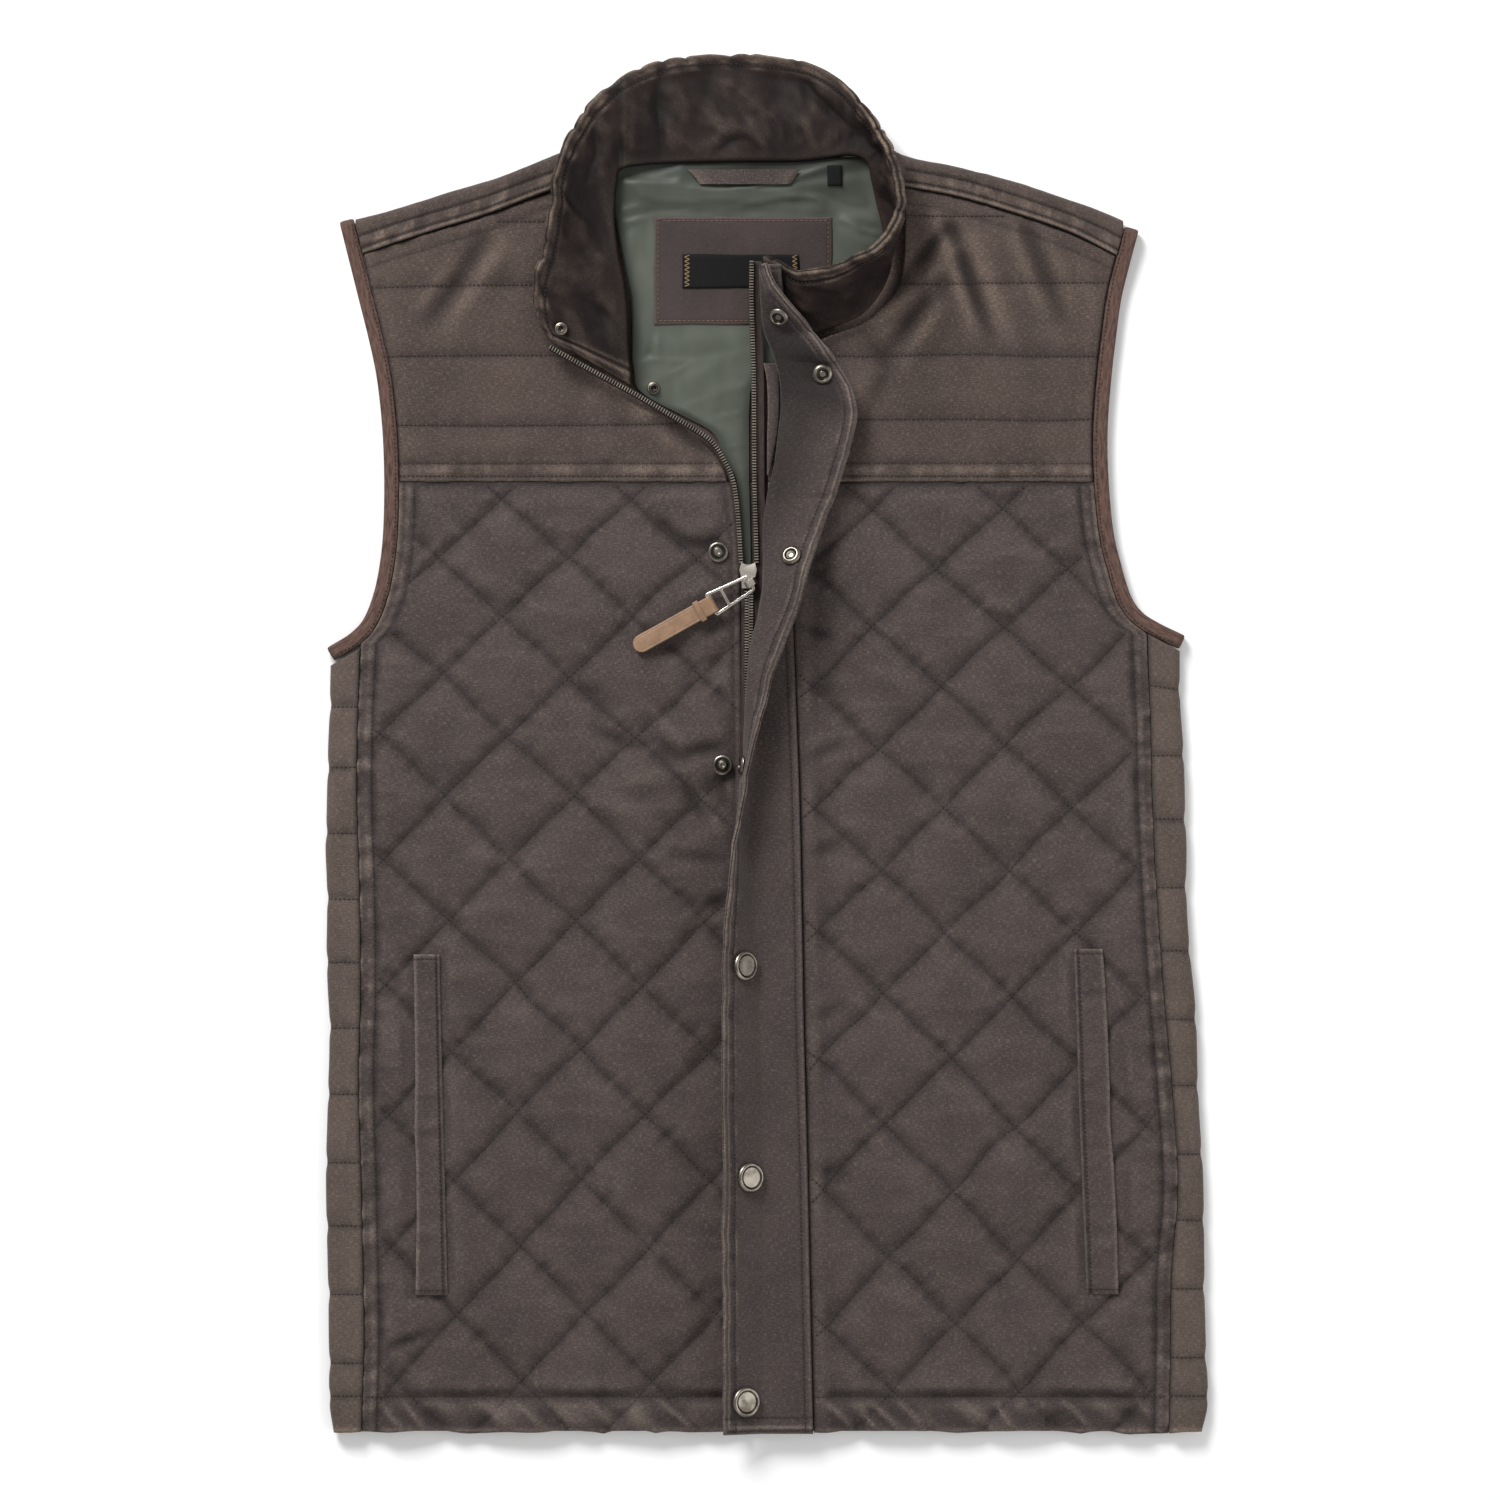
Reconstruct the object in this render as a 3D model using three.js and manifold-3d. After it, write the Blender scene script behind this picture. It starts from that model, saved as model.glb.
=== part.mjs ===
// A quilted vest with a stand-up collar, laid flat on its back with the front partly open.
// Millimetres. +Y runs from the hem to the collar, +Z rises from the surface it lies on,
// and the wearer's right is at -X, so left and right in the names are the wearer's.
import * as THREE from "three";
import Module from "manifold-3d";

const wasm = await Module();
wasm.setup();

// Cloth layers, from the surface upward
const BACK_THICKNESS = 3.2;
const LAYER_GAP = 0.4;
const FRONT_BASE = BACK_THICKNESS + LAYER_GAP;
const SEAM_GAP = 0.3;
const FOLD_RADIUS = 4.7;
const FOLD_INNER_RADIUS = 1.6;
const FOLD_TOP = 2 * FOLD_RADIUS;
const STITCHED_THICKNESS = 2.6;
const SEAM_THICKNESS = 3.8;
const HEM_Y = -377;
const HEM_STITCH_Y = -358;
const YOKE_SEAM_Y = 144.5;

// Diamond quilting of the two fronts
const QUILT_HALF_WIDTH = 35.5;
const QUILT_HALF_HEIGHT = 34.65;
const QUILT_RISE = 4;
const QUILT_LEAN = 0.024;
const QUILT_SAG = 9.9;
const QUILT_SAG_STEPS = 14;
const QUILT_STEPS = 4;
const EDGE_TAPER = 12;

// Channel quilting of the yokes and side panels
const CHANNEL_RISE = 4.2;
const CHANNEL_POWER = 0.6;
const SIDE_RISE = 1.5;

// Collar, flap and trims
const COLLAR_THICKNESS = 5;
const COLLAR_BULGE = 3;
const FLAP_THICKNESS = 2.2;
const BINDING_WIDTH = 8;
const BINDING_GAP = 1.1;
const LINING_THICKNESS = 1.5;
const PLACKET_TOP = 9.9;
const TAPE_THICKNESS = 0.8;
const CHAIN_HEIGHT = 2.2;
const CHAIN_CLOSED_WIDTH = 5.3;
const CAP_RADIUS = 8.5;
const STUD_RADIUS = 5.6;
const SOCKET_RADIUS = 5.6;
const POST_RADIUS = 3.6;

// Colours and finishes
const FINISH = {
  shell: { color: 0x4f4642, roughness: 0.92, metalness: 0 },
  yoke: { color: 0x504a43, roughness: 0.92, metalness: 0 },
  binding: { color: 0x5d463d, roughness: 0.95, metalness: 0 },
  lining: { color: 0x66736a, roughness: 0.5, metalness: 0 },
  patch: { color: 0x564c4b, roughness: 0.92, metalness: 0 },
  label: { color: 0x1f1f22, roughness: 0.7, metalness: 0 },
  tape: { color: 0x4a3d38, roughness: 0.9, metalness: 0 },
  teeth: { color: 0x5a5550, roughness: 0.45, metalness: 0.8 },
  silver: { color: 0xb8b2a6, roughness: 0.3, metalness: 1 },
  leather: { color: 0xa97f62, roughness: 0.6, metalness: 0 },
};

const group = new THREE.Group();

function add(name, geometry, finish) {
  const mesh = new THREE.Mesh(geometry, new THREE.MeshStandardMaterial(finish));
  mesh.name = name;
  group.add(mesh);
  return mesh;
}

function mix(a, b, share) {
  return a + (b - a) * share;
}

function clamp(value, low, high) {
  return Math.min(Math.max(value, low), high);
}

function ease(value) {
  const t = clamp(value, 0, 1);
  return t * t * (3 - 2 * t);
}

// Reads one column of a table, smoothly, at a place given in the table's first column.
function read(table, place, column = 1) {
  const rising = table[table.length - 1][0] > table[0][0];
  const rows = rising ? table : [...table].reverse();
  if (place <= rows[0][0]) return rows[0][column];
  if (place >= rows[rows.length - 1][0]) return rows[rows.length - 1][column];
  let k = 0;
  while (rows[k + 1][0] < place) k += 1;
  const slope = (i) => {
    const before = rows[Math.max(i - 1, 0)];
    const after = rows[Math.min(i + 1, rows.length - 1)];
    return (after[column] - before[column]) / (after[0] - before[0]);
  };
  const span = rows[k + 1][0] - rows[k][0];
  const t = (place - rows[k][0]) / span;
  const t2 = t * t;
  const t3 = t2 * t;
  return (
    (2 * t3 - 3 * t2 + 1) * rows[k][column] +
    (t3 - 2 * t2 + t) * span * slope(k) +
    (3 * t2 - 2 * t3) * rows[k + 1][column] +
    (t3 - t2) * span * slope(k + 1)
  );
}

// Closed solids from lists of triangles

const GRID = 1000;

// Joins equal corners, drops triangles that have closed up and turns the faces outward.
function solid(triangles) {
  const places = new Map();
  const points = [];
  const corner = (p) => {
    const q = p.map((value) => Math.round(value * GRID) / GRID + 0);
    const key = q.join();
    if (!places.has(key)) {
      places.set(key, points.length);
      points.push(q);
    }
    return places.get(key);
  };
  const faces = [];
  for (const triangle of triangles) {
    const [a, b, c] = triangle.map(corner);
    if (a !== b && b !== c && c !== a) faces.push([a, b, c]);
  }
  let volume = 0;
  for (const [a, b, c] of faces) {
    const u = new THREE.Vector3(...points[a]);
    volume += u.dot(new THREE.Vector3(...points[b]).cross(new THREE.Vector3(...points[c])));
  }
  const order = volume < 0 ? faces.map(([a, b, c]) => [a, c, b]) : faces;
  const geometry = new THREE.BufferGeometry();
  geometry.setAttribute("position", new THREE.Float32BufferAttribute(points.flat(), 3));
  geometry.setIndex(order.flat());
  geometry.computeVertexNormals();
  return geometry;
}

function quad(list, a, b, c, d, rising = true) {
  if (rising) list.push([a, b, c], [a, c, d]);
  else list.push([a, b, d], [b, c, d]);
}

// A wall of cloth between two grids of points, closed along its four edges.
function sheet(outer, inner, slant = () => true) {
  const list = [];
  const lastRow = outer.length - 1;
  const lastColumn = outer[0].length - 1;
  for (let j = 0; j < lastRow; j += 1) {
    for (let i = 0; i < lastColumn; i += 1) {
      quad(list, outer[j][i], outer[j][i + 1], outer[j + 1][i + 1], outer[j + 1][i], slant(j, i));
      quad(list, inner[j][i], inner[j + 1][i], inner[j + 1][i + 1], inner[j][i + 1]);
    }
    quad(list, inner[j][lastColumn], inner[j + 1][lastColumn], outer[j + 1][lastColumn], outer[j][lastColumn]);
    quad(list, inner[j + 1][0], inner[j][0], outer[j][0], outer[j + 1][0]);
  }
  for (let i = 0; i < lastColumn; i += 1) {
    quad(list, inner[0][i], inner[0][i + 1], outer[0][i + 1], outer[0][i]);
    quad(list, inner[lastRow][i + 1], inner[lastRow][i], outer[lastRow][i], outer[lastRow][i + 1]);
  }
  return solid(list);
}

// A panel with shaped rows of points on top, plain walls and a flat underside.
function panel(rows, base, slant = () => true) {
  const list = [];
  const low = (p) => [p[0], p[1], base];
  const last = rows.length - 1;
  const end = rows[0].length - 1;
  for (let j = 0; j < last; j += 1) {
    for (let i = 0; i < end; i += 1) {
      quad(list, rows[j][i], rows[j][i + 1], rows[j + 1][i + 1], rows[j + 1][i], slant(j, i));
    }
    quad(list, low(rows[j][end]), low(rows[j + 1][end]), rows[j + 1][end], rows[j][end]);
    quad(list, low(rows[j + 1][0]), low(rows[j][0]), rows[j][0], rows[j + 1][0]);
    if (j > 0 && j < last - 1) {
      quad(list, low(rows[j][0]), low(rows[j + 1][0]), low(rows[j + 1][end]), low(rows[j][end]));
    }
  }
  const first = low(rows[1][0]);
  const final = low(rows[last - 1][0]);
  for (let i = 0; i < end; i += 1) {
    quad(list, low(rows[0][i]), low(rows[0][i + 1]), rows[0][i + 1], rows[0][i]);
    quad(list, low(rows[last][i + 1]), low(rows[last][i]), rows[last][i], rows[last][i + 1]);
    list.push([first, low(rows[0][i + 1]), low(rows[0][i])]);
    list.push([final, low(rows[last][i]), low(rows[last][i + 1])]);
  }
  list.push([first, low(rows[1][end]), low(rows[0][end])]);
  list.push([final, low(rows[last][end]), low(rows[last - 1][end])]);
  return solid(list);
}

// A closed band: each station is a loop of points, and the last station joins the first.
function ring(stations) {
  const list = [];
  const count = stations[0].length;
  stations.forEach((station, j) => {
    const next = stations[(j + 1) % stations.length];
    for (let i = 0; i < count; i += 1) {
      const k = (i + 1) % count;
      quad(list, station[i], station[k], next[k], next[i]);
    }
  });
  return solid(list);
}

// A bar: each station is a loop of points, and both ends are closed by a fan.
function bar(stations) {
  const list = [];
  const count = stations[0].length;
  const last = stations.length - 1;
  for (let j = 0; j < last; j += 1) {
    for (let i = 0; i < count; i += 1) {
      const k = (i + 1) % count;
      quad(list, stations[j][i], stations[j][k], stations[j + 1][k], stations[j + 1][i]);
    }
  }
  for (let i = 1; i < count - 1; i += 1) {
    list.push([stations[0][0], stations[0][i + 1], stations[0][i]]);
    list.push([stations[last][0], stations[last][i], stations[last][i + 1]]);
  }
  return solid(list);
}

// Places a grid of mid-surface points half a thickness to each side.
function thicken(middle, thickness) {
  const vector = (p) => new THREE.Vector3(...p);
  const grid = middle.map((row) => row.map(vector));
  const outer = [];
  const inner = [];
  grid.forEach((row, j) => {
    outer.push([]);
    inner.push([]);
    row.forEach((point, i) => {
      const along = row[Math.min(i + 1, row.length - 1)].clone().sub(row[Math.max(i - 1, 0)]);
      const across = grid[Math.min(j + 1, grid.length - 1)][i].clone().sub(grid[Math.max(j - 1, 0)][i]);
      const normal = along.cross(across).normalize().multiplyScalar(thickness(j, i) / 2);
      outer[j].push(point.clone().add(normal).toArray());
      inner[j].push(point.clone().sub(normal).toArray());
    });
  });
  return [outer, inner];
}

// Outlines, read from the hem upward unless a table says otherwise

// Columns: y, x of the fold at the wearer's right, x of the fold at the wearer's left
const SIDE_FOLDS = [
  [-377, -240, 237.5],
  [-360, -242, 240.5],
  [-327, -242.5, 239.5],
  [-283, -243, 238.5],
  [-239, -244, 238],
  [-195, -243, 235.5],
  [-151, -242.5, 234.5],
  [-118, -243.5, 231],
  [-85, -243.5, 229],
  [-47, -244, 228.5],
  [-8, -243, 227.5],
  [25, -242, 225.5],
  [60, -241, 225],
];

// Columns: y, x of the right side seam, x of the left side seam
const SIDE_SEAMS = [
  [-377, -224.5, 219],
  [-329, -223, 220],
  [-290, -223.5, 220.5],
  [-243, -224.5, 224],
  [-184, -226, 220.5],
  [-139, -225, 216.5],
  [-74, -225.5, 212],
  [-30, -227, 210],
  [14, -226.5, 209],
  [56, -224.5, 207],
];

// Columns: x, y of the armhole's outer edge, from the shoulder down to the underarm
const ARMHOLE_RIGHT = [
  [-236, 285],
  [-231.5, 267],
  [-226, 245],
  [-220.5, 223],
  [-216, 201],
  [-213, 173],
  [-212, 146],
  [-212.5, 118.5],
  [-214.5, 99],
  [-218, 82.5],
  [-223.5, 69],
  [-231, 61],
  [-241.5, 54.5],
];
const ARMHOLE_LEFT = [
  [202, 280.5],
  [198, 265.5],
  [193, 245],
  [190, 223],
  [187.5, 201],
  [185.5, 173],
  [186, 146],
  [188.5, 118.5],
  [192.5, 100.5],
  [198, 82.5],
  [204.5, 73],
  [214.5, 66.5],
  [226, 61],
];

// Columns: y, x of the right front's free edge from the hem to the neck
const RIGHT_FRONT_EDGE = [
  [-377, -16],
  [-195, -16.5],
  [-58, -17],
  [25, -17.5],
  [80, -18.5],
  [102, -19],
  [124, -20.5],
  [144, -23.5],
  [152, -26],
  [162, -33],
  [170, -42],
  [178, -52.5],
  [186, -65],
  [192, -75],
  [200, -79],
  [213.5, -80.5],
  [232.5, -80.5],
  [252, -83],
  [269, -87],
  [286.5, -90],
  [312, -94],
];

// Columns: y, x of the seam between the left front and its flap
const FLAP_SEAM = [
  [-377, 24],
  [-322, 22.5],
  [-250, 21],
  [-140, 18.5],
  [-75, 17.5],
  [-16, 16],
  [25, 14.5],
  [64, 13],
  [102, 12],
  [144, 11],
];

// Columns: y, x of the left yoke's edge, up the zip and then round the neck
const LEFT_YOKE_EDGE = [
  [144, -1],
  [198, -1],
  [206, 0.5],
  [212, 9],
  [218, 19],
  [223.5, 30],
  [227, 40],
  [231, 50.5],
  [239, 60.5],
  [250, 69.5],
  [262, 73],
  [276, 74],
  [307, 74],
];

// Columns: x, y of the shoulder seam, x from low to high
const RIGHT_SHOULDER_SEAM = [
  [-240, 264],
  [-223, 270],
  [-188, 281],
  [-153.5, 291.5],
  [-121.5, 303.5],
  [-93.5, 312],
];
const LEFT_SHOULDER_SEAM = [
  [73.5, 306.5],
  [102, 301],
  [137, 290.5],
  [163.5, 281],
  [187.5, 270],
  [205, 262],
];

// Columns: x, y of the shoulder's fold, and how far up its own cloth the back yoke reaches there,
// as a share: 1 is over the fold to the shoulder seam, 0 is the neckline short of the fold
const SHOULDER = [
  [-240, 284.5, 1],
  [-203.5, 294, 1],
  [-176, 303, 1],
  [-148.5, 311.5, 1],
  [-115.5, 324.5, 1],
  [-97, 331, 1],
  [-91, 334, 0.45],
  [-86, 336, 0],
  [-40, 338, 0],
  [30, 335, 0],
  [56, 330, 0],
  [64, 328, 0.4],
  [73, 324, 1],
  [93.5, 319, 1],
  [126.5, 311, 1],
  [154, 302, 1],
  [181.5, 292, 1],
  [205, 280.5, 1],
];
const NECKLINE_Y = 318.5;

// Places on a smooth curve through a table of points, evenly spread.
function curvePoints(table, count) {
  const curve = new THREE.CatmullRomCurve3(table.map(([x, y]) => new THREE.Vector3(x, y, 0)));
  return curve.getSpacedPoints(count);
}

// Armhole bindings: a tape round each armhole, one strand on the front and one under it
const BINDING_STATIONS = 20;
const BINDING_TOP = 7.6;
const BINDING_END_TOP = 9.6;
const BINDING_BACK_THICKNESS = 3;
const BINDING_END_SHARE = 0.14;

// The armhole's outer points with the direction into the cloth at each.
function armholeEdge(table, inward) {
  const points = curvePoints(table, BINDING_STATIONS);
  return points.map((point, k) => {
    const next = points[Math.min(k + 1, points.length - 1)];
    const before = points[Math.max(k - 1, 0)];
    const run = next.clone().sub(before).normalize();
    const into = new THREE.Vector3(-run.y * inward, run.x * inward, 0);
    return { point, run, into };
  });
}

const armholeRight = armholeEdge(ARMHOLE_RIGHT, 1);
const armholeLeft = armholeEdge(ARMHOLE_LEFT, -1);

// Columns: y, x of a binding's inner edge, from the underarm up
function innerEdge(edge, sign) {
  const table = edge.map(({ point, into }) => {
    const inner = point.clone().addScaledVector(into, BINDING_WIDTH);
    return [inner.y, inner.x + sign * BINDING_GAP];
  });
  return table.reverse();
}

const innerRight = innerEdge(armholeRight, 1);
const innerLeft = innerEdge(armholeLeft, -1);

function linear(table, place) {
  if (place <= table[0][0]) return table[0][1];
  for (let k = 1; k < table.length; k += 1) {
    if (place <= table[k][0]) {
      const [y0, x0] = table[k - 1];
      const [y1, x1] = table[k];
      return mix(x0, x1, (place - y0) / (y1 - y0));
    }
  }
  return table[table.length - 1][1];
}

// The outer limits of the fronts and the back: side seam low down, binding above it.
function outerRight(y) {
  const seam = read(SIDE_SEAMS, y, 1);
  return y < 40 ? seam : Math.max(seam, linear(innerRight, y));
}

function outerLeft(y) {
  const seam = read(SIDE_SEAMS, y, 2);
  return y < 40 ? seam : Math.min(seam, linear(innerLeft, y));
}

function bindingRing(edge) {
  const count = edge.length - 1;
  const up = new THREE.Vector3(0, 0, 1);
  const down = new THREE.Vector3(0, 0, -1);
  const station = (place, facing, height, z, shift) => {
    const half = facing.clone().multiplyScalar(height / 2);
    const centre = place.point.clone().addScaledVector(place.run, shift).setZ(z);
    const far = centre.clone().addScaledVector(place.into, BINDING_WIDTH);
    const crown = centre.clone().addScaledVector(place.into, BINDING_WIDTH / 2);
    const swell = facing.clone().multiplyScalar(height / 2 + 0.4);
    return [
      centre.clone().sub(half).toArray(),
      far.clone().sub(half).toArray(),
      far.clone().add(half).toArray(),
      crown.clone().add(swell).toArray(),
      centre.clone().add(half).toArray(),
    ];
  };
  const stations = [];
  edge.forEach((place, k) => {
    const fromEnd = Math.min(k, count - k) / count;
    const top = mix(BINDING_END_TOP, BINDING_TOP, ease(fromEnd / BINDING_END_SHARE));
    stations.push(station(place, up, top - FRONT_BASE, (top + FRONT_BASE) / 2, 0));
  });
  const turnHeight = 2.4;
  const turnZ = 3.4;
  const turnShift = 1.2;
  stations.push(station(edge[count], edge[count].run, turnHeight, turnZ, turnShift));
  for (let k = count; k >= 0; k -= 1) {
    stations.push(station(edge[k], down, BINDING_BACK_THICKNESS - 0.4, BINDING_BACK_THICKNESS / 2 + 0.2, 0));
  }
  const start = edge[0].run.clone().negate();
  const first = { point: edge[0].point, run: edge[0].run, into: edge[0].into };
  stations.push(station(first, start, turnHeight, turnZ, -turnShift));
  return ring(stations);
}

add("armhole_binding_right", bindingRing(armholeRight), FINISH.binding);
add("armhole_binding_left", bindingRing(armholeLeft), FINISH.binding);

// Back: a flat plate under the fronts, from the hem to the yoke seam
const HEM_WAVE = 0.8;
const HEM_WAVE_LENGTH = 46;

function hemY(x) {
  return HEM_Y + HEM_WAVE * Math.sin((2 * Math.PI * x) / HEM_WAVE_LENGTH);
}

function plateRow(y, left, right, count, z) {
  const row = [];
  for (let i = 0; i <= count; i += 1) row.push([mix(left, right, i / count), y, z]);
  return row;
}

function buildBack() {
  const rows = [];
  const levels = [HEM_Y, -368, -340, -290, -240, -190, -140, -74, -30, 14, 35, 56, 62, 68, 74, 80, 88, 96, 106, 118, 130];
  for (const y of [...levels, YOKE_SEAM_Y - SEAM_GAP]) {
    rows.push(plateRow(y, outerRight(y) + SEAM_GAP, outerLeft(y) - SEAM_GAP, 4, BACK_THICKNESS));
  }
  return panel(rows, 0);
}

add("back_panel", buildBack(), FINISH.yoke);

// Back yoke: a plate that turns over each shoulder and comes forward to the shoulder seams
const BACK_YOKE_COLUMNS = 16;
const BACK_YOKE_ROWS = [0, 0.08, 0.16, 0.24, 0.35, 0.5, 0.65, 0.76, 0.81, 0.84, 0.87, 0.9, 0.93, 0.965, 1];

function buildBackYoke() {
  const outer = [];
  const inner = [];
  const arc = Math.PI * FOLD_RADIUS;
  for (const share of BACK_YOKE_ROWS) {
    outer.push([]);
    inner.push([]);
    for (let i = 0; i <= BACK_YOKE_COLUMNS; i += 1) {
      const u = i / BACK_YOKE_COLUMNS;
      const topLeft = outerRight(270) + SEAM_GAP;
      const topRight = outerLeft(268) - SEAM_GAP;
      const xTop = mix(topLeft, topRight, u);
      const fold = read(SHOULDER, xTop, 1);
      const reach = clamp(read(SHOULDER, xTop, 2), 0, 1);
      const seamTable = xTop < 0 ? RIGHT_SHOULDER_SEAM : LEFT_SHOULDER_SEAM;
      const seam = read(seamTable, xTop) + SEAM_GAP;
      const lower = fold - FOLD_RADIUS - YOKE_SEAM_Y;
      const whole = lower + arc + (fold - FOLD_RADIUS - seam);
      const length = share * mix(NECKLINE_Y - YOKE_SEAM_Y, whole, reach);
      let y = YOKE_SEAM_Y + length;
      let turn = 0;
      if (length > lower + arc) {
        y = fold - FOLD_RADIUS - (length - lower - arc);
        turn = Math.PI;
      } else if (length > lower) {
        turn = (length - lower) / FOLD_RADIUS;
        y = fold - FOLD_RADIUS;
      }
      const edgeY = Math.min(y + Math.sin(turn) * FOLD_RADIUS, 282);
      const x = mix(outerRight(edgeY) + SEAM_GAP, outerLeft(edgeY) - SEAM_GAP, u);
      const place = (radius) => [x, y + Math.sin(turn) * radius, FOLD_RADIUS - Math.cos(turn) * radius];
      outer[outer.length - 1].push(place(FOLD_RADIUS));
      inner[inner.length - 1].push(place(FOLD_INNER_RADIUS));
    }
  }
  return sheet(outer, inner);
}

add("back_yoke", buildBackYoke(), FINISH.yoke);

// Side panels: quilted strips that turn round each side from the back to the side seam
const SIDE_STITCH_RIGHT = [-339.5, -301.5, -264.5, -229, -192, -155, -119, -84, -48, -13, 21.5];
const SIDE_STITCH_LEFT = [-336.5, -298, -261, -224.5, -187.5, -150.5, -113.5, -78, -41, -5.5, 30.5];
const SIDE_TOP_RISE = 9.5;

// Share of full height between stitch lines: 0 on a line, 1 midway.
function channel(lines, y) {
  let below = -Infinity;
  let above = Infinity;
  for (const line of lines) {
    if (line <= y) below = Math.max(below, line);
    if (line >= y) above = Math.min(above, line);
  }
  if (below === above) return 0;
  const low = Number.isFinite(below) ? below : above - 30;
  const high = Number.isFinite(above) ? above : below + 30;
  const share = clamp((y - low) / (high - low), 0, 1);
  return Math.pow(Math.sin(Math.PI * share), CHANNEL_POWER);
}

function buildSidePanel(side) {
  const foldColumn = side < 0 ? 1 : 2;
  const stitches = [HEM_STITCH_Y, ...(side < 0 ? SIDE_STITCH_RIGHT : SIDE_STITCH_LEFT)];
  const top = side < 0 ? 43.5 : 51.5;
  const levels = [HEM_Y, (HEM_Y + HEM_STITCH_Y) / 2];
  stitches.forEach((line, k) => {
    const next = k + 1 < stitches.length ? stitches[k + 1] : top;
    levels.push(line, mix(line, next, 0.3), mix(line, next, 0.7));
  });
  levels.push(top);
  const turns = [0, 0.25, 0.5, 0.75, 1].map((share) => share * Math.PI);
  const outer = [];
  const inner = [];
  for (const level of levels) {
    const seam = read(SIDE_SEAMS, level, foldColumn);
    const fold = read(SIDE_FOLDS, level, foldColumn);
    const centre = fold - side * FOLD_RADIUS;
    const puff = SIDE_RISE * (1 - channel(stitches, level));
    const lift = (x) => (SIDE_TOP_RISE * ease((level - 20) / (top - 20)) * (fold - x)) / (fold - seam);
    const outerRow = [];
    const innerRow = [];
    const point = (x, z) => [x, level + lift(x), z];
    for (const share of [0]) {
      const x = mix(seam + side * SEAM_GAP, centre, share);
      outerRow.push(point(x, FOLD_TOP - puff));
      innerRow.push(point(x, FOLD_RADIUS + FOLD_INNER_RADIUS));
    }
    for (const turn of turns) {
      const radius = FOLD_RADIUS - puff * Math.sin(Math.min(turn, Math.PI / 2) + Math.PI / 2) ** 2;
      const round = turn < Math.PI / 2 ? radius : FOLD_RADIUS;
      outerRow.push(point(centre + side * Math.sin(turn) * FOLD_RADIUS, FOLD_RADIUS + Math.cos(turn) * round));
      innerRow.push(
        point(centre + side * Math.sin(turn) * FOLD_INNER_RADIUS, FOLD_RADIUS + Math.cos(turn) * FOLD_INNER_RADIUS),
      );
    }
    for (const share of [1]) {
      const x = mix(centre, seam + side * SEAM_GAP, share);
      outerRow.push(point(x, 0));
      innerRow.push(point(x, FOLD_RADIUS - FOLD_INNER_RADIUS));
    }
    outer.push(outerRow);
    inner.push(innerRow);
  }
  return sheet(outer, inner);
}

add("side_panel_right", buildSidePanel(-1), FINISH.yoke);
add("side_panel_left", buildSidePanel(1), FINISH.yoke);

// Fronts: diamond quilting over a plain inside

// Height of the quilting, from 0 on a stitch line to 1 in the middle of a diamond.
function diamond(u, v) {
  const along = Math.abs(Math.sin((Math.PI * (u + v)) / 2));
  const across = Math.abs(Math.sin((Math.PI * (u - v)) / 2));
  return Math.sqrt(along * across);
}

function quiltY(origin, v) {
  return origin + v * QUILT_HALF_HEIGHT + QUILT_SAG * Math.sin((-Math.PI * v) / QUILT_SAG_STEPS);
}

// The quilting's own height coordinate at y, by a few steps of repeated correction.
function quiltV(origin, y) {
  let v = (y - origin) / QUILT_HALF_HEIGHT;
  for (let k = 0; k < 12; k += 1) v += (y - quiltY(origin, v)) / QUILT_HALF_HEIGHT;
  return v;
}

// The pocket lies in a level bed. Columns: y, x of the bed's two sides
const POCKET_RIGHT = [
  [-303, -197.5, -176],
  [-243, -199, -177.5],
  [-183, -200, -179],
  [-114, -200.5, -180.5],
];
const POCKET_LEFT = [
  [-302.5, 172.5, 194.5],
  [-242, 170, 195.5],
  [-190, 168.5, 194],
  [-154, 167.5, 190.5],
  [-111, 166, 185],
];
const POCKET_BED = 3.5;
const WELT_THICKNESS = 2.2;
const WELT_EDGE = 6;
const WELT_MARGIN = 8;

// How far a place is inside the pocket's bed: 1 inside, 0 well outside.
function pocketShare(pocket, x, y) {
  const low = pocket[0][0];
  const high = pocket[pocket.length - 1][0];
  const dy = Math.max(low - y, y - high, 0);
  const level = clamp(y, low, high);
  const dx = Math.max(read(pocket, level, 1) - x, x - read(pocket, level, 2), 0);
  return 1 - ease((Math.hypot(dx, dy) - WELT_MARGIN) / WELT_EDGE);
}

// Columns: x, y of the quilting's origin and the panel's limits and pocket
const FRONTS = {
  right: { originX: -147.5, originY: 135.5, pocket: POCKET_RIGHT },
  left: { originX: 126.5, originY: 130, pocket: POCKET_LEFT },
};

function frontHeight(front, x, y, u, v, low, high) {
  const edge = ease(Math.min(x - low, high - x, YOKE_SEAM_Y - y) / EDGE_TAPER);
  const hem = Math.min(1, Math.abs(y - HEM_STITCH_Y) / 8);
  const band = y < HEM_STITCH_Y ? 0.6 : 1;
  const quilt = STITCHED_THICKNESS + QUILT_RISE * diamond(u, v) * hem * band;
  const height = mix(mix(SEAM_THICKNESS, quilt, 0.35), quilt, edge);
  return FRONT_BASE + mix(height, POCKET_BED, pocketShare(front.pocket, x, y));
}

const FRONT_SNAP = 2.5;

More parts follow.
